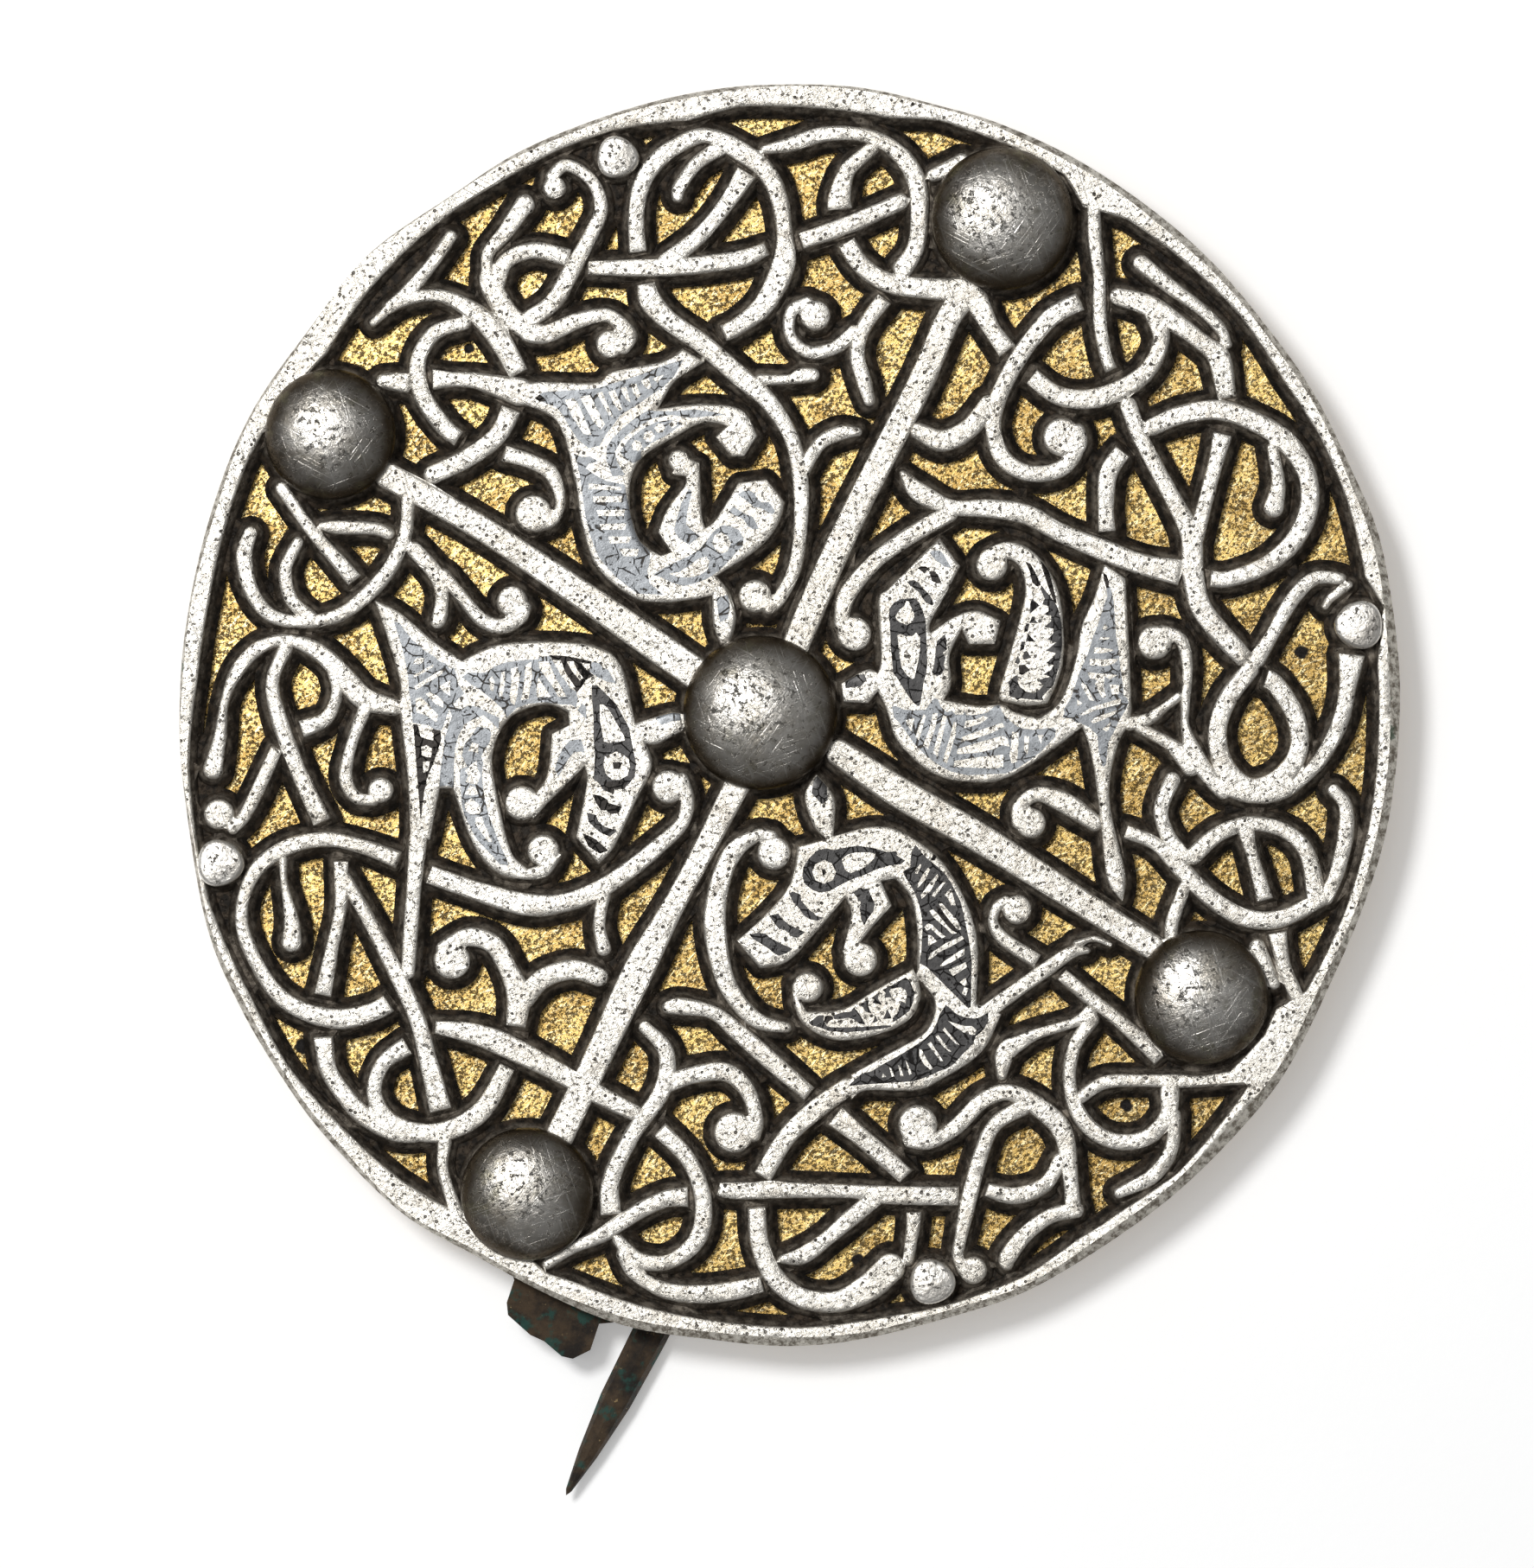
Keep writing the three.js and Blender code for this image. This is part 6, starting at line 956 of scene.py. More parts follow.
def contours(field, level):
    """Closed outlines of the region below a level, followed from square to square."""
    below = field < level
    total = below[:-1, :-1].astype(int) + below[1:, :-1] + below[:-1, 1:] + below[1:, 1:]
    rows, columns = np.nonzero((total > 0) & (total < 4))
    following, crossing = {}, {}
    for row, column in zip(rows.tolist(), columns.tolist()):
        values = [field[row + up, column + across] for across, up in SQUARE]
        within = [value < level for value in values]
        keys = side_keys(row, column)
        for side in range(4):
            after = (side + 1) % 4
            if within[side] == within[after]:
                continue
            t = (level - values[side]) / (values[after] - values[side])
            (across, up), (next_across, next_up) = SQUARE[side], SQUARE[after]
            crossing[keys[side]] = ((column + across + t * (next_across - across)) * CELL - FIELD_HALF,
                                    (row + up + t * (next_up - up)) * CELL - FIELD_HALF)
            if within[side]:
                following[keys[side]] = keys[side_before(within, side)]
    return chained(following, crossing)


def chained(following, crossing):
    """Closed loops of crossings, each one followed from side to side."""
    loops = []
    while following:
        key = next(iter(following))
        loop = []
        while key in following:
            loop.append(crossing[key])
            key = following.pop(key)
        loops.append(np.array(loop))
    return loops


def area(loop):
    """Area inside a closed loop."""
    x, y = loop[:, 0], loop[:, 1]
    return abs(0.5 * float(np.sum(np.roll(x, 1) * y - x * np.roll(y, 1))))


def thinned(line):
    """Leaves out points that lie within the tolerance of the line between those that stay."""
    keep = np.zeros(len(line), dtype=bool)
    keep[[0, -1]] = True
    waiting = [(0, len(line) - 1)]
    while waiting:
        first, last = waiting.pop()
        if last - first < 2:
            continue
        run = line[last] - line[first]
        length = math.hypot(*run)
        offset = line[first + 1:last] - line[first]
        if length > 0:
            away = np.abs(offset[:, 0] * run[1] - offset[:, 1] * run[0]) / length
        else:
            away = np.hypot(offset[:, 0], offset[:, 1])
        worst = int(np.argmax(away))
        if away[worst] > OUTLINE_TOLERANCE:
            middle = first + 1 + worst
            keep[middle] = True
            waiting += [(first, middle), (middle, last)]
    return line[keep]


def thinned_loop(loop):
    """Closed loop thinned in two halves, from its first point to the farthest and back."""
    far = int(np.argmax(np.hypot(*(loop - loop[0]).T)))
    there = thinned(loop[:far + 1])
    back = thinned(np.vstack([loop[far:], loop[:1]]))
    return np.vstack([there[:-1], back[:-1]])


def outlines_at(field, level, smallest):
    """Thinned outlines of the region below a level, without those of a small area."""
    return [thinned_loop(loop) for loop in contours(field, level) if area(loop) > smallest]


def rim_radius(angles):
    """Radius of the rim's outer edge at each angle."""
    return radius_by_angle(smooth_outline(pairs(RIM_OUTER)), angles) - RIM_INSET


def bevel_width(angles):
    """Width of the rough bevel on the rim's outer edge, widest at the lower right."""
    swell = BEVEL_SWELL * np.cos(angles + BEVEL_SWELL_ANGLE)
    wave = BEVEL_WAVE * np.sin(BEVEL_WAVES * angles + BEVEL_WAVE_START)
    return BEVEL_WIDTH + swell + wave + BEVEL_RIPPLE * np.sin(BEVEL_RIPPLES * angles)


def from_rim(x, y):
    """How far places lie inside the rim's outer edge, and their angles round the disc."""
    angles = np.arctan2(y, x)
    return rim_radius(angles) - np.hypot(x, y), angles


def side_depth(value):
    """Depth of a valley's side below the shoulder: steep at first, then easing to its foot."""
    run = np.clip(-value / VALLEY_SIDE_RUN, 0, 1)
    return (CARVING_DEPTH - SHOULDER_DROP) * (1 - (1 - run) ** SIDE_STEEPNESS)


def dents(x, y):
    """Slow unevenness of a hammered and worn surface."""
    across = np.sin(DENT_WAVES[0] * x + DENT_BENDS[0] * np.sin(DENT_BEND_WAVES[0] * y))
    along = np.cos(DENT_WAVES[1] * y + DENT_BENDS[1] * np.sin(DENT_BEND_WAVES[1] * x))
    return DENT_HEIGHT * (across * along)


def surface_height(x, y, value):
    """Height of the carved surface where the field has a value."""
    shoulder = np.clip(1 - value / SHOULDER_WIDTH, 0, 1) * SHOULDER_DROP
    height = PLATE_TOP - DENT_HEIGHT + dents(x, y) - shoulder - side_depth(value)
    inset, angles = from_rim(x, y)
    bevel = np.clip(1 - inset / bevel_width(angles), 0, 1) * BEVEL_DROP
    return np.minimum(height, PLATE_TOP - bevel)


def rim_loop(inset):
    """Closed line round the disc, inset from its outer edge."""
    radius = rim_radius(RIM_ANGLES) - inset
    return np.stack([radius * np.cos(RIM_ANGLES), radius * np.sin(RIM_ANGLES)], axis=1)


def fill_points(field):
    """Points spread over the flats, off the lines that the surface follows."""
    rows = []
    for number, y in enumerate(np.arange(-FILL_HALF, FILL_HALF, FILL_ROW_SPACING)):
        x = np.arange(-FILL_HALF + (number % 2) * FILL_SPACING / 2, FILL_HALF, FILL_SPACING)
        rows.append(np.stack([x, np.full(len(x), y)], axis=1))
    points = np.vstack(rows)
    points = points + np.sin(points @ np.array(SHAKE_WAVES)) * FILL_SPACING * FILL_SHAKE
    x, y = points.T
    inset, angles = from_rim(x, y)
    off_bevel = np.abs(inset - bevel_width(angles)) > FILL_CLEARANCE
    return points[(sample(field, x, y) > FILL_CLEARANCE) & off_bevel & (inset > FILL_CLEARANCE)]


def triangulated(places, edges, merge):
    """Corners and triangles through all the places, with the edges kept."""
    result = delaunay_2d_cdt([Vector(place) for place in places], edges, [], 0, merge)
    return np.array([tuple(corner) for corner in result[0]]), np.array(result[2])


def middles(corners, triangles):
    """x and y of the triangles' middles."""
    return corners[triangles].mean(axis=1).T


def plate_surface(field):
    """Corners and triangles of the carved surface, without its piercings."""
    lines = []
    for level in (0.0, SHOULDER_WIDTH) + SIDE_LEVELS:
        lines += outlines_at(field, level, SMALLEST_LOOP)
    holes = outlines_at(field, -VALLEY_SIDE_RUN, SMALLEST_HOLE)
    lines += holes + [rim_loop(0.0), rim_loop(bevel_width(RIM_ANGLES))]
    lines += [pairs(row[1:]) for row in INLAY]
    places, edges = [], []
    for line in lines:
        if len(line) > 2:
            start, count = len(places), len(line)
            places += list(line)
            edges += [(start + i, start + (i + 1) % count) for i in range(count)]
    corners, triangles = triangulated(places + list(fill_points(field)), edges, SURFACE_MERGE)
    x, y = middles(corners, triangles)
    return corners, triangles[(from_rim(x, y)[0] > 0) & ~inside_outlines(x, y, holes)]


def inside_outlines(x, y, outlines):
    """Which places lie inside an odd number of the outlines."""
    inside = np.zeros(len(x), dtype=bool)
    for outline in outlines:
        (low_x, low_y), (high_x, high_y) = outline.min(axis=0), outline.max(axis=0)
        near = np.nonzero((x > low_x) & (x < high_x) & (y > low_y) & (y < high_y))[0]
        inside[near] ^= enclosed(x[near], y[near], edges_of(outline))
    return inside


def face_finishes(x, y, field):
    """Finish at each place: a kind of inlay on the flats, plain silver or the rim's edge."""
    finishes = np.zeros(len(x), dtype=int)
    for row in INLAY:
        finishes[inside_outlines(x, y, [pairs(row[1:])])] = INLAY_KINDS.index(row[0])
    finishes[sample(field, x, y) < 0] = 0
    inset, angles = from_rim(x, y)
    finishes[inset < bevel_width(angles)] = RIM_EDGE
    return finishes


def border_edges(triangles):
    """Directed edges that only one triangle has."""
    edges = np.vstack([triangles[:, (0, 1)], triangles[:, (1, 2)], triangles[:, (2, 0)]])
    forward = {tuple(edge) for edge in edges.tolist()}
    return [edge for edge in edges.tolist() if (edge[1], edge[0]) not in forward]


def closed_plate(name, corners, triangles, heights, bottom, finishes):
    """Closed mesh from its upper surface, straight walls and a flat underside."""
    used, back = np.unique(triangles, return_inverse=True)
    top = back.reshape(triangles.shape)
    flat = corners[used]
    border = border_edges(top)
    firsts = [first for first, _ in border]
    below = {first: len(used) + number for number, first in enumerate(firsts)}
    under = flat[firsts]
    places = np.vstack([np.column_stack([flat, heights[used]]),
                        np.column_stack([under, np.full(len(under), bottom)])])
    walls = [(b, a, below[a], below[b]) for a, b in border]
    others = walls + underside_faces(flat, border, below)
    mesh = bpy.data.meshes.new(name)
    mesh.from_pydata((places * MM).tolist(), [], top.tolist() + others)
    mesh.polygons.foreach_set("material_index", np.append(finishes, np.zeros(len(others), dtype=int)))
    mesh.validate()
    return mesh


def underside_faces(flat, border, below):
    """Flat underside that shares the walls' lower corners, wherever the plate is over it."""
    order = list(below)
    number = {corner: i for i, corner in enumerate(order)}
    edges = [(number[a], number[b]) for a, b in border]
    corners, triangles = triangulated(flat[order], edges, UNDERSIDE_MERGE)
    x, y = middles(corners, triangles)
    solid = enclosed(x, y, [(flat[a], flat[b]) for a, b in border])
    return [tuple(below[order[i]] for i in reversed(triangle)) for triangle in triangles[solid].tolist()]


class Nodes:
    """A material's node tree, with short calls for the nodes that the finishes share.

    A scale is in waves to the metre, so that 1000 gives grains of about a millimetre.
    """

    def __init__(self, name):
        self.material = bpy.data.materials.new(name)
        self.material.use_nodes = True
        self.tree = self.material.node_tree
        self.shader = self.tree.nodes["Principled BSDF"]
        self.place = self.tree.nodes.new("ShaderNodeTexCoord").outputs["Object"]

    def link(self, source, target):
        """Joins a socket, a number or a colour to a node's input."""
        if isinstance(source, (int, float)):
            target.default_value = source
        elif isinstance(source, tuple):
            target.default_value = (*source, 1.0)
        else:
            self.tree.links.new(source, target)

    def stretched(self, scale, turn):
        """Place turned about the vertical and then scaled, so that the stretch runs along the turn."""
        vector = self.place
        for name, value in (("Rotation", (0, 0, turn)), ("Scale", scale)):
            mapping = self.tree.nodes.new("ShaderNodeMapping")
            mapping.inputs[name].default_value = value
            self.link(vector, mapping.inputs["Vector"])
            vector = mapping.outputs["Vector"]
        return vector

    def noise(self, scale, detail=4.0, roughness=0.55, vector=None):
        """Cloudy noise from 0 to 1."""
        node = self.tree.nodes.new("ShaderNodeTexNoise")
        self.link(vector or self.place, node.inputs["Vector"])
        node.inputs["Scale"].default_value = scale
        node.inputs["Detail"].default_value = detail
        node.inputs["Roughness"].default_value = roughness
        return node.outputs["Fac"]

    def cells(self, scale, feature="F1"):
        """Distance to a cell's point, or to its edge."""
        node = self.tree.nodes.new("ShaderNodeTexVoronoi")
        node.feature = feature
        self.link(self.place, node.inputs["Vector"])
        node.inputs["Scale"].default_value = scale
        return node.outputs["Distance"]

    def math(self, operation, a, b=0.0, c=0.0):
        node = self.tree.nodes.new("ShaderNodeMath")
        node.operation = operation
        for source, socket in zip((a, b, c), node.inputs):
            self.link(source, socket)
        return node.outputs[0]

    def ramp(self, value, low, high, start=0.0, end=1.0):
        """Smooth step from start to end as the value goes from low to high."""
        node = self.tree.nodes.new("ShaderNodeMapRange")
        node.interpolation_type = "SMOOTHSTEP"
        for source, name in ((value, "Value"), (low, "From Min"), (high, "From Max"),
                             (start, "To Min"), (end, "To Max")):
            self.link(source, node.inputs[name])
        return node.outputs["Result"]

    def patches(self, scale, detail, roughness, low, high):
        """Ragged patches: 0 where the noise is below low, 1 where it is above high."""
        return self.ramp(self.noise(scale, detail, roughness), low, high)

    def mix(self, factor, a, b):
        """Colour that goes from a to b with the factor."""
        node = self.tree.nodes.new("ShaderNodeMix")
        node.data_type = "RGBA"
        self.link(factor, node.inputs[0])
        self.link(a, node.inputs[6])
        self.link(b, node.inputs[7])
        return node.outputs[2]

    def cover(self, color, mask, share, other):
        """Colour with a share of another over it, where the mask is set."""
        return self.mix(self.math("MULTIPLY", mask, share), color, other)

    def coordinate(self, axis):
        """Place along an axis, in metres."""
        node = self.tree.nodes.new("ShaderNodeSeparateXYZ")
        self.link(self.place, node.inputs[0])
        return node.outputs[axis]

    def bump(self, height, distance):
        node = self.tree.nodes.new("ShaderNodeBump")
        node.inputs["Distance"].default_value = distance
        self.link(height, node.inputs["Height"])
        self.link(node.outputs["Normal"], self.shader.inputs["Normal"])

    def finish(self, color, roughness, metallic):
        self.link(color, self.shader.inputs["Base Color"])
        self.link(roughness, self.shader.inputs["Roughness"])
        self.link(metallic, self.shader.inputs["Metallic"])
        return self.material


def scratches(nodes, low, high):
    """Fine scratches that run several ways over a metal surface."""
    total = 0.0
    for scale, turn in SCRATCH_SETS:
        vector = nodes.stretched(SCRATCH_STRETCH, turn)
        line = nodes.ramp(nodes.noise(scale, 1.0, vector=vector), low, high)
        total = nodes.math("MAXIMUM", total, line)
    return total


def ridge_color(nodes):
    """Bright silver of the ridges, worn, blotched and speckled."""
    speckle = nodes.patches(2700.0, 4.0, 0.75, 0.56, 0.68)
    blotch = nodes.patches(650.0, 6.0, 0.7, 0.50, 0.64)
    color = nodes.mix(nodes.patches(120.0, 5.0, 0.55, 0.38, 0.66), SILVER_POLISHED, SILVER_WORN)
    color = nodes.cover(color, blotch, 0.45, SILVER_BLOTCH)
    return nodes.cover(color, speckle, 0.7, SILVER_SPECKLE), speckle


def valley_color(nodes, depth):
    """Grey-brown of the valleys' sides, nearly black at their foot: tarnish with painted shade."""
    side_grain = nodes.patches(900.0, 6.0, 0.7, 0.40, 0.66)
    foot_grain = nodes.patches(1500.0, 5.0, 0.55, 0.4, 0.65)
    side = nodes.mix(side_grain, VALLEY_SIDE_DARK, VALLEY_SIDE_LIGHT)
    # Painted shade with tarnish: the foot of each valley goes nearly black.
    foot = nodes.mix(foot_grain, VALLEY_FOOT_DARK, VALLEY_FOOT_LIGHT)
    return nodes.mix(nodes.ramp(depth, *FOOT_DEPTHS), side, foot)


def carved_silver():
    """Bright, worn silver on the ridges, grey-brown in the valleys with tarnish and painted shade, with
    small dark pits.
    """
    nodes = Nodes("worn_silver")
    depth = nodes.math("SUBTRACT", PLATE_TOP * MM, nodes.coordinate(2))
    wandering = nodes.math("MULTIPLY_ADD", nodes.noise(800.0, 6.0, 0.65), RAGGED, -RAGGED / 2)
    depth = nodes.math("ADD", depth, wandering)
    recess = nodes.ramp(depth, *SIDE_DEPTHS)
    ridge, speckle = ridge_color(nodes)
    color = nodes.mix(recess, ridge, valley_color(nodes, depth))
    pits = nodes.ramp(nodes.cells(1500.0), 0.12, 0.24, 1.0, 0.0)
    pits = nodes.math("MULTIPLY", pits, nodes.patches(520.0, 2.0, 0.55, 0.47, 0.56))
    color = nodes.cover(color, pits, 0.85, SILVER_PIT)
    grain = nodes.math("MULTIPLY", nodes.noise(400.0, 4.0), 0.12)
    roughness = nodes.math("ADD", nodes.ramp(recess, 0.0, 1.0, 0.34, 0.62), grain)
    dug = nodes.math("MULTIPLY", pits, -1.0)
    height = nodes.math("MULTIPLY_ADD", scratches(nodes, 0.66, 0.74), -0.25, dug)
    height = nodes.math("MULTIPLY_ADD", speckle, -0.6, height)
    height = nodes.math("MULTIPLY_ADD", nodes.noise(1100.0, 6.0, 0.7), 1.4, height)
    nodes.bump(height, SILVER_RELIEF)
    return nodes.finish(color, roughness, nodes.ramp(recess, 0.0, 1.0, 0.9, 0.6))


def niello(name, face, crack, broken_level):
    """Black inlay set flush in the silver, crazed and pitted; a higher level breaks more of it."""
    nodes = Nodes(name)
    cloud = nodes.patches(700.0, 5.0, 0.65, 0.36, 0.68)
    color = nodes.mix(cloud, face, tuple(0.72 * part for part in face))
    wander = nodes.noise(1500.0, 4.0, 0.7)
    edges = nodes.cells(900.0, "DISTANCE_TO_EDGE")
    cracks = nodes.ramp(nodes.math("MULTIPLY_ADD", wander, 0.16, edges), 0.08, 0.13, 1.0, 0.0)
    patches = nodes.ramp(nodes.noise(520.0, 3.0), broken_level, broken_level + 0.06, 1.0, 0.0)
    pits = nodes.patches(2100.0, 4.0, 0.75, 0.60, 0.66)
    broken = nodes.math("MAXIMUM", nodes.math("MULTIPLY", cracks, patches), pits)
    color = nodes.mix(broken, color, crack)
    height = nodes.math("MULTIPLY_ADD", wander, 0.5, nodes.math("MULTIPLY", broken, -1.0))
    nodes.bump(height, NIELLO_RELIEF)
    return nodes.finish(color, nodes.ramp(broken, 0.0, 1.0, 0.42, 0.8), 0.6)


def spots(nodes, places):
    """Round spots with ragged edges at places of x, y and radius in millimetres."""
    across, up = nodes.coordinate(0), nodes.coordinate(1)
    ragged = nodes.math("MULTIPLY_ADD", nodes.noise(1600.0, 5.0, 0.7), RAGGED, -RAGGED / 2)
    total = 0.0
    for x, y, radius in places:
        along = nodes.math("SUBTRACT", across, x * MM)
        aside = nodes.math("SUBTRACT", up, y * MM)
        squares = nodes.math("MULTIPLY_ADD", along, along, nodes.math("MULTIPLY", aside, aside))
        away = nodes.math("ADD", nodes.math("SQRT", squares), ragged)
        spot = nodes.ramp(away, radius * 0.7 * MM, radius * MM, 1.0, 0.0)
        total = nodes.math("MAXIMUM", total, spot)
    return total


def gilding():
    """Gilded sheet, finely brushed, with painted glints along the brushing, bright between brown dirt."""
    nodes = Nodes("scratched_gilding")
    along = nodes.noise(1.0, 4.0, vector=nodes.stretched(BRUSHED_STRETCH, -0.9))
    across = nodes.noise(1.2, 4.0, vector=nodes.stretched(BRUSHED_STRETCH, -0.3))
    brushing_and_glints = nodes.math("MAXIMUM", nodes.math("MAXIMUM", along, across), nodes.noise(4200.0, 4.0, 0.7))
    color = nodes.mix(nodes.patches(300.0, 4.0, 0.55, 0.36, 0.62), GOLD_BRIGHT, GOLD_DULL)
    # Painted highlights: the brushed lines are lightened towards pale gold, as if catching the light.
    color = nodes.mix(nodes.ramp(brushing_and_glints, 0.54, 0.72), color, GOLD_PAINTED_GLINT)
    dirt = nodes.patches(3600.0, 5.0, 0.75, 0.50, 0.66)
    color = nodes.cover(color, dirt, 0.8, GOLD_DIRT)
    damage = spots(nodes, SHEET_DAMAGE)
    # Painted shade: the holes and cracks are near-black spots on the uncut sheet.
    color = nodes.mix(damage, color, GOLD_HOLE_SHADE)
    nodes.bump(nodes.math("SUBTRACT", brushing_and_glints, dirt), GILDING_RELIEF)
    worst = nodes.math("MAXIMUM", dirt, damage)
    roughness = nodes.ramp(worst, 0.0, 1.0, 0.40, 0.8)
    return nodes.finish(color, roughness, nodes.ramp(worst, 0.0, 1.0, 1.0, 0.2))


def rim_silver():
    """Rough, grey bevel on the rim's outer edge, with specks of green corrosion."""
    nodes = Nodes("rough_rim_silver")
    grain = nodes.noise(1500.0, 6.0, 0.75)
    color = nodes.mix(nodes.ramp(grain, 0.40, 0.62), RIM_LIGHT, RIM_DARK)
    green = nodes.patches(700.0, 4.0, 0.6, 0.64, 0.70)
    color = nodes.cover(color, green, 0.7, RIM_GREEN)
    nodes.bump(grain, RIM_RELIEF)
    return nodes.finish(color, nodes.ramp(grain, 0.4, 0.62, 0.38, 0.7), 0.85)


def boss_silver():
    """Dark, pewter-like silver of the domed bosses, stained green-brown, scratched bright, darker down the
    flanks with dirt and painted shade.
    """
    nodes = Nodes("tarnished_silver")
    cloud = nodes.noise(260.0, 6.0, 0.65)
    color = nodes.mix(nodes.ramp(cloud, 0.35, 0.7), BOSS_LIGHT, BOSS_DULL)
    wander = nodes.noise(330.0, 5.0, 0.6)
    rise = nodes.math("MULTIPLY_ADD", wander, BOSS_SHADE_AND_WEAR_WANDER * MM, nodes.coordinate(2))
    worn = nodes.ramp(rise, (PLATE_TOP + BOSS_SHADE_AND_WEAR_FROM) * MM, (PLATE_TOP + BOSS_SHADE_AND_WEAR_TO) * MM)
    # Painted shade with dirt: below its worn top the dome darkens towards its foot.
    color = nodes.mix(worn, BOSS_FOOT_DIRT_AND_SHADE, color)
    green = nodes.patches(420.0, 5.0, 0.6, 0.55, 0.70)
    color = nodes.cover(color, green, 0.6, BOSS_GREEN)
    specks = nodes.patches(2000.0, 6.0, 0.75, 0.54, 0.66)
    color = nodes.cover(color, specks, 0.6, BOSS_SPECK)
    fresh = nodes.math("MULTIPLY", scratches(nodes, 0.63, 0.70), nodes.math("MULTIPLY", worn, 0.5))
    color = nodes.mix(fresh, color, BOSS_SCRATCH)
    height = nodes.math("MULTIPLY_ADD", fresh, -0.6, nodes.math("MULTIPLY", specks, -0.6))
    height = nodes.math("MULTIPLY_ADD", nodes.noise(700.0, 6.0, 0.7), 1.1, height)
    nodes.bump(height, BOSS_RELIEF)
    return nodes.finish(color, nodes.math("MULTIPLY_ADD", cloud, 0.16, 0.22), 0.9)


def rivet_silver():
    """Bright, hammered silver of the small flat rivets, finely pitted."""
    nodes = Nodes("pitted_silver")
    cloud = nodes.noise(520.0, 5.0, 0.6)
    color = nodes.mix(nodes.ramp(cloud, 0.36, 0.66), RIVET_LIGHT, RIVET_DULL)
    pits = nodes.patches(2200.0, 5.0, 0.75, 0.56, 0.68)
    color = nodes.cover(color, pits, 0.75, RIVET_PIT)
    height = nodes.math("MULTIPLY_ADD", cloud, 1.4, nodes.math("MULTIPLY", pits, -1.0))
    nodes.bump(height, RIVET_RELIEF)
    return nodes.finish(color, nodes.ramp(pits, 0.0, 1.0, 0.42, 0.7), 0.85)


def copper_alloy():
    """Dark brown copper alloy with green corrosion and a few bright glints."""
    nodes = Nodes("corroded_copper_alloy")
    cloud = nodes.noise(380.0, 6.0, 0.65)
    color = nodes.mix(nodes.ramp(cloud, 0.38, 0.62), ALLOY_DARK, ALLOY_BROWN)
    green = nodes.patches(620.0, 5.0, 0.6, 0.52, 0.63)
    color = nodes.cover(color, green, 0.85, ALLOY_GREEN)
    glints = nodes.patches(1500.0, 5.0, 0.7, 0.64, 0.72)
    color = nodes.mix(glints, color, ALLOY_GLINT)
    nodes.bump(nodes.noise(1100.0, 8.0, 0.75), ALLOY_RELIEF)
    roughness = nodes.ramp(glints, 0.0, 1.0, 0.62, 0.38)
    return nodes.finish(color, roughness, nodes.ramp(glints, 0.0, 1.0, 0.35, 0.9))


def floor_paper():
    """Pale paper that glows a little, so that it stays white in the shadow."""
    nodes = Nodes("pale_floor")
    color = nodes.mix(nodes.noise(30.0, 3.0), PAPER_SHADE, PAPER_LIGHT)
    nodes.bump(nodes.noise(900.0, 3.0), PAPER_RELIEF)
    nodes.shader.inputs["Emission Color"].default_value = (1.0, 1.0, 1.0, 1.0)
    nodes.shader.inputs["Emission Strength"].default_value = FLOOR_GLOW
    return nodes.finish(color, 0.85, 0.0)


def turned(name, profile, sides, place, wobble=0.0):
    """Closed mesh turned from a profile of radius and height that starts and ends on its axis."""
    corners = [(0, 0, profile[0][1])]
    for radius, height in profile[1:-1]:
        for side in range(sides):
            angle = 2 * math.pi * side / sides
            worn = radius - wobble * radius * (1 + math.sin(LUMP_LOBES * angle + place[0])) / 2
            corners.append((worn * math.cos(angle), worn * math.sin(angle), height))
    corners.append((0, 0, profile[-1][1]))
    last_ring, top = len(corners) - 1 - sides, len(corners) - 1
    faces = []
    for side in range(sides):
        after = (side + 1) % sides
        faces.append((0, 1 + after, 1 + side))
        faces.append((top, last_ring + side, last_ring + after))
        for ring in range(len(profile) - 3):
            low = 1 + ring * sides
            faces.append((low + side, low + after, low + sides + after, low + sides + side))
    places = (np.array(corners) + (*place, 0)) * MM
    mesh = bpy.data.meshes.new(name)
    mesh.from_pydata(places.tolist(), [], faces)
    return mesh


def placed(name, mesh, node, materials):
    """Piece that stands for a CAD node and is shaded smooth but for its hard edges."""
    piece = bpy.data.objects.new(name, mesh)
    bpy.context.collection.objects.link(piece)
    for material in materials:
        mesh.materials.append(material)
    mesh.shade_smooth()
    mesh.set_sharp_from_angle(angle=HARD_EDGE)
    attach(piece, "brooch")
    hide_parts(node)


def openwork(materials):
    """Carved plate, a closed mesh in place of the CAD model's stepped one."""
    field = carving_field()
    corners, triangles = plate_surface(field)
    x, y = corners.T
    heights = surface_height(x, y, sample(field, x, y))
    finishes = face_finishes(*middles(corners, triangles), field)
    mesh = closed_plate("openwork", corners, triangles, heights, BASE_TOP, finishes)
    placed("openwork", mesh, "openwork_plate", materials)


def boss(node, material):
    """Large rivet with a smooth dome."""
    middle, radius, bottom, top = rivet_measures(node)
    back = WIDE_BACK_HEAD_RADIUS if node == "center_boss" else BACK_HEAD_RADIUS
    under, spring = bottom + BACK_HEAD_HEIGHT, PLATE_TOP + BOSS_EDGE_HEIGHT
    profile = [(0, bottom), (back - BACK_HEAD_BEVEL, bottom), (back, under), (SHANK_RADIUS, under),
               (SHANK_RADIUS, PLATE_TOP), (radius - BOSS_EDGE_BEVEL, PLATE_TOP),
               (radius, PLATE_TOP + BOSS_EDGE_BEVEL)]
    for ring in range(DOME_RINGS):
        angle = math.pi / 2 * ring / DOME_RINGS
        profile.append((radius * math.cos(angle), spring + (top - spring) * math.sin(angle)))
    profile.append((0, top))
    mesh = turned(node + "_turned", profile, BOSS_SIDES, middle)
    placed(node + "_turned", mesh, node, [material])


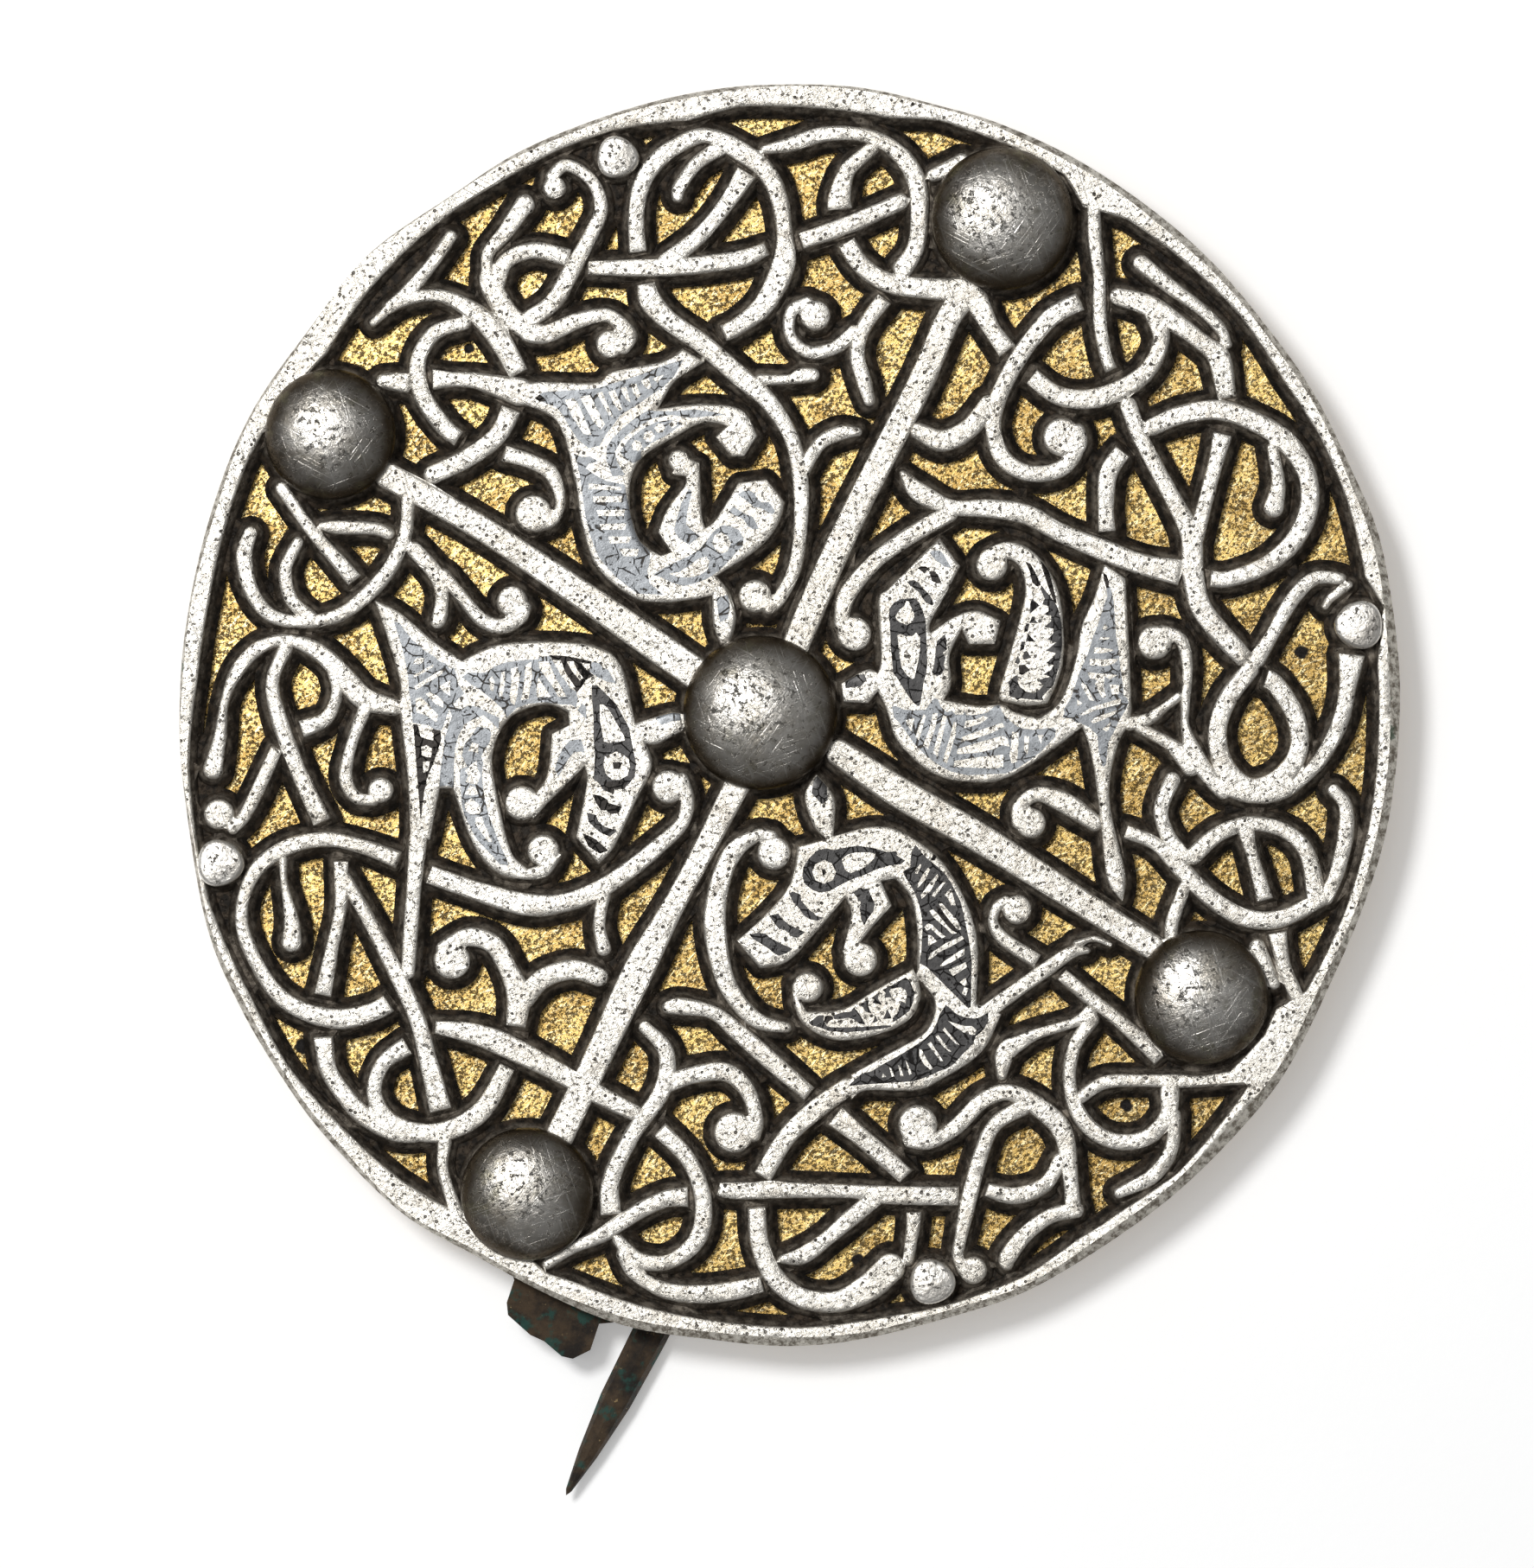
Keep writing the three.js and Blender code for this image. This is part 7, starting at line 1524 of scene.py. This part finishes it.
def small_rivet(node, material):
    """Small rivet with a worn, flattened head."""
    middle, radius, bottom, top = rivet_measures(node)
    under = bottom + BACK_HEAD_HEIGHT
    profile = [(0, bottom), (SMALL_BACK_HEAD_RADIUS, under), (SMALL_SHANK_RADIUS, under),
               (SMALL_SHANK_RADIUS, PLATE_TOP), (radius, PLATE_TOP)]
    rise = top - PLATE_TOP
    profile += [(radius * across, PLATE_TOP + rise * up) for across, up in LUMP_SHAPE]
    profile.append((0, top))
    mesh = turned(node + "_lump", profile, SMALL_RIVET_SIDES, middle, LUMP_WOBBLE)
    placed(node + "_lump", mesh, node, [material])


def repaint(node, material):
    """CAD node that is shown as it is, in a finish of its own."""
    item = frame["nodes"][node]
    item.data.materials.clear()
    item.data.materials.append(material)


def floor():
    """Plain floor that the brooch lies on."""
    bpy.ops.mesh.primitive_plane_add(size=FLOOR_SIDE, location=(0, 0, (LOWEST - FLOOR_GAP) * MM))
    plane = bpy.context.object
    plane.name = "floor"
    plane.data.materials.append(floor_paper())


def area_light(name, place, width, power):
    """Round light that faces the brooch."""
    data = bpy.data.lights.new(name, "AREA")
    data.shape = "DISK"
    data.size = width
    data.energy = power
    light = bpy.data.objects.new(name, data)
    light.location = place
    light.rotation_euler = Vector(place).to_track_quat("Z", "Y").to_euler()
    bpy.context.collection.objects.link(light)


def camera():
    """Camera that sees what the photograph shows, at the height of the plate's top."""
    data = bpy.data.cameras.new("camera")
    data.sensor_fit = "VERTICAL"
    data.sensor_height = CAMERA_SENSOR
    view_height = PHOTO_HEIGHT / PIXELS_PER_MM
    data.lens = CAMERA_SENSOR * (CAMERA_HEIGHT - PLATE_TOP) / view_height
    data.clip_end = CAMERA_REACH
    item = bpy.data.objects.new("camera", data)
    x = (PHOTO_WIDTH / 2 - DISC_PIXEL[0]) / PIXELS_PER_MM
    y = (DISC_PIXEL[1] - PHOTO_HEIGHT / 2) / PIXELS_PER_MM
    item.location = (x * MM, y * MM, CAMERA_HEIGHT * MM)
    bpy.context.collection.objects.link(item)
    bpy.context.scene.camera = item


def world():
    """Even surround, with colours shown as they are worked out."""
    sky = bpy.data.worlds.new("world")
    sky.use_nodes = True
    background = sky.node_tree.nodes["Background"]
    background.inputs["Color"].default_value = SURROUND_COLOR
    background.inputs["Strength"].default_value = SURROUND
    bpy.context.scene.world = sky
    bpy.context.scene.view_settings.view_transform = "Standard"


camera()
openwork([
    carved_silver(),
    niello("light_inlay", LIGHT_NIELLO, LIGHT_NIELLO_CRACK, 0.46),
    niello("dark_inlay", DARK_NIELLO, DARK_NIELLO_CRACK, 0.56),
    # Painted shade: the lost inlay is a flush near-black fill standing for the empty hollow.
    niello("lost_inlay_shade", LOST_INLAY_SHADE, LOST_INLAY_SHADE_CRACK, 0.60),
    rim_silver(),
])
domed, lump, alloy = boss_silver(), rivet_silver(), copper_alloy()
for node in BOSSES:
    boss(node, domed)
for node in SMALL_RIVETS:
    small_rivet(node, lump)
for node in ("hinge_lug", "hinge_axle", "pin", "catch"):
    repaint(node, alloy)
repaint("base_plate", gilding())
floor()
world()
area_light("soft_box", SOFT_BOX_PLACE, SOFT_BOX_WIDTH, SOFT_BOX_POWER)
area_light("key", KEY_PLACE, KEY_WIDTH, KEY_POWER)
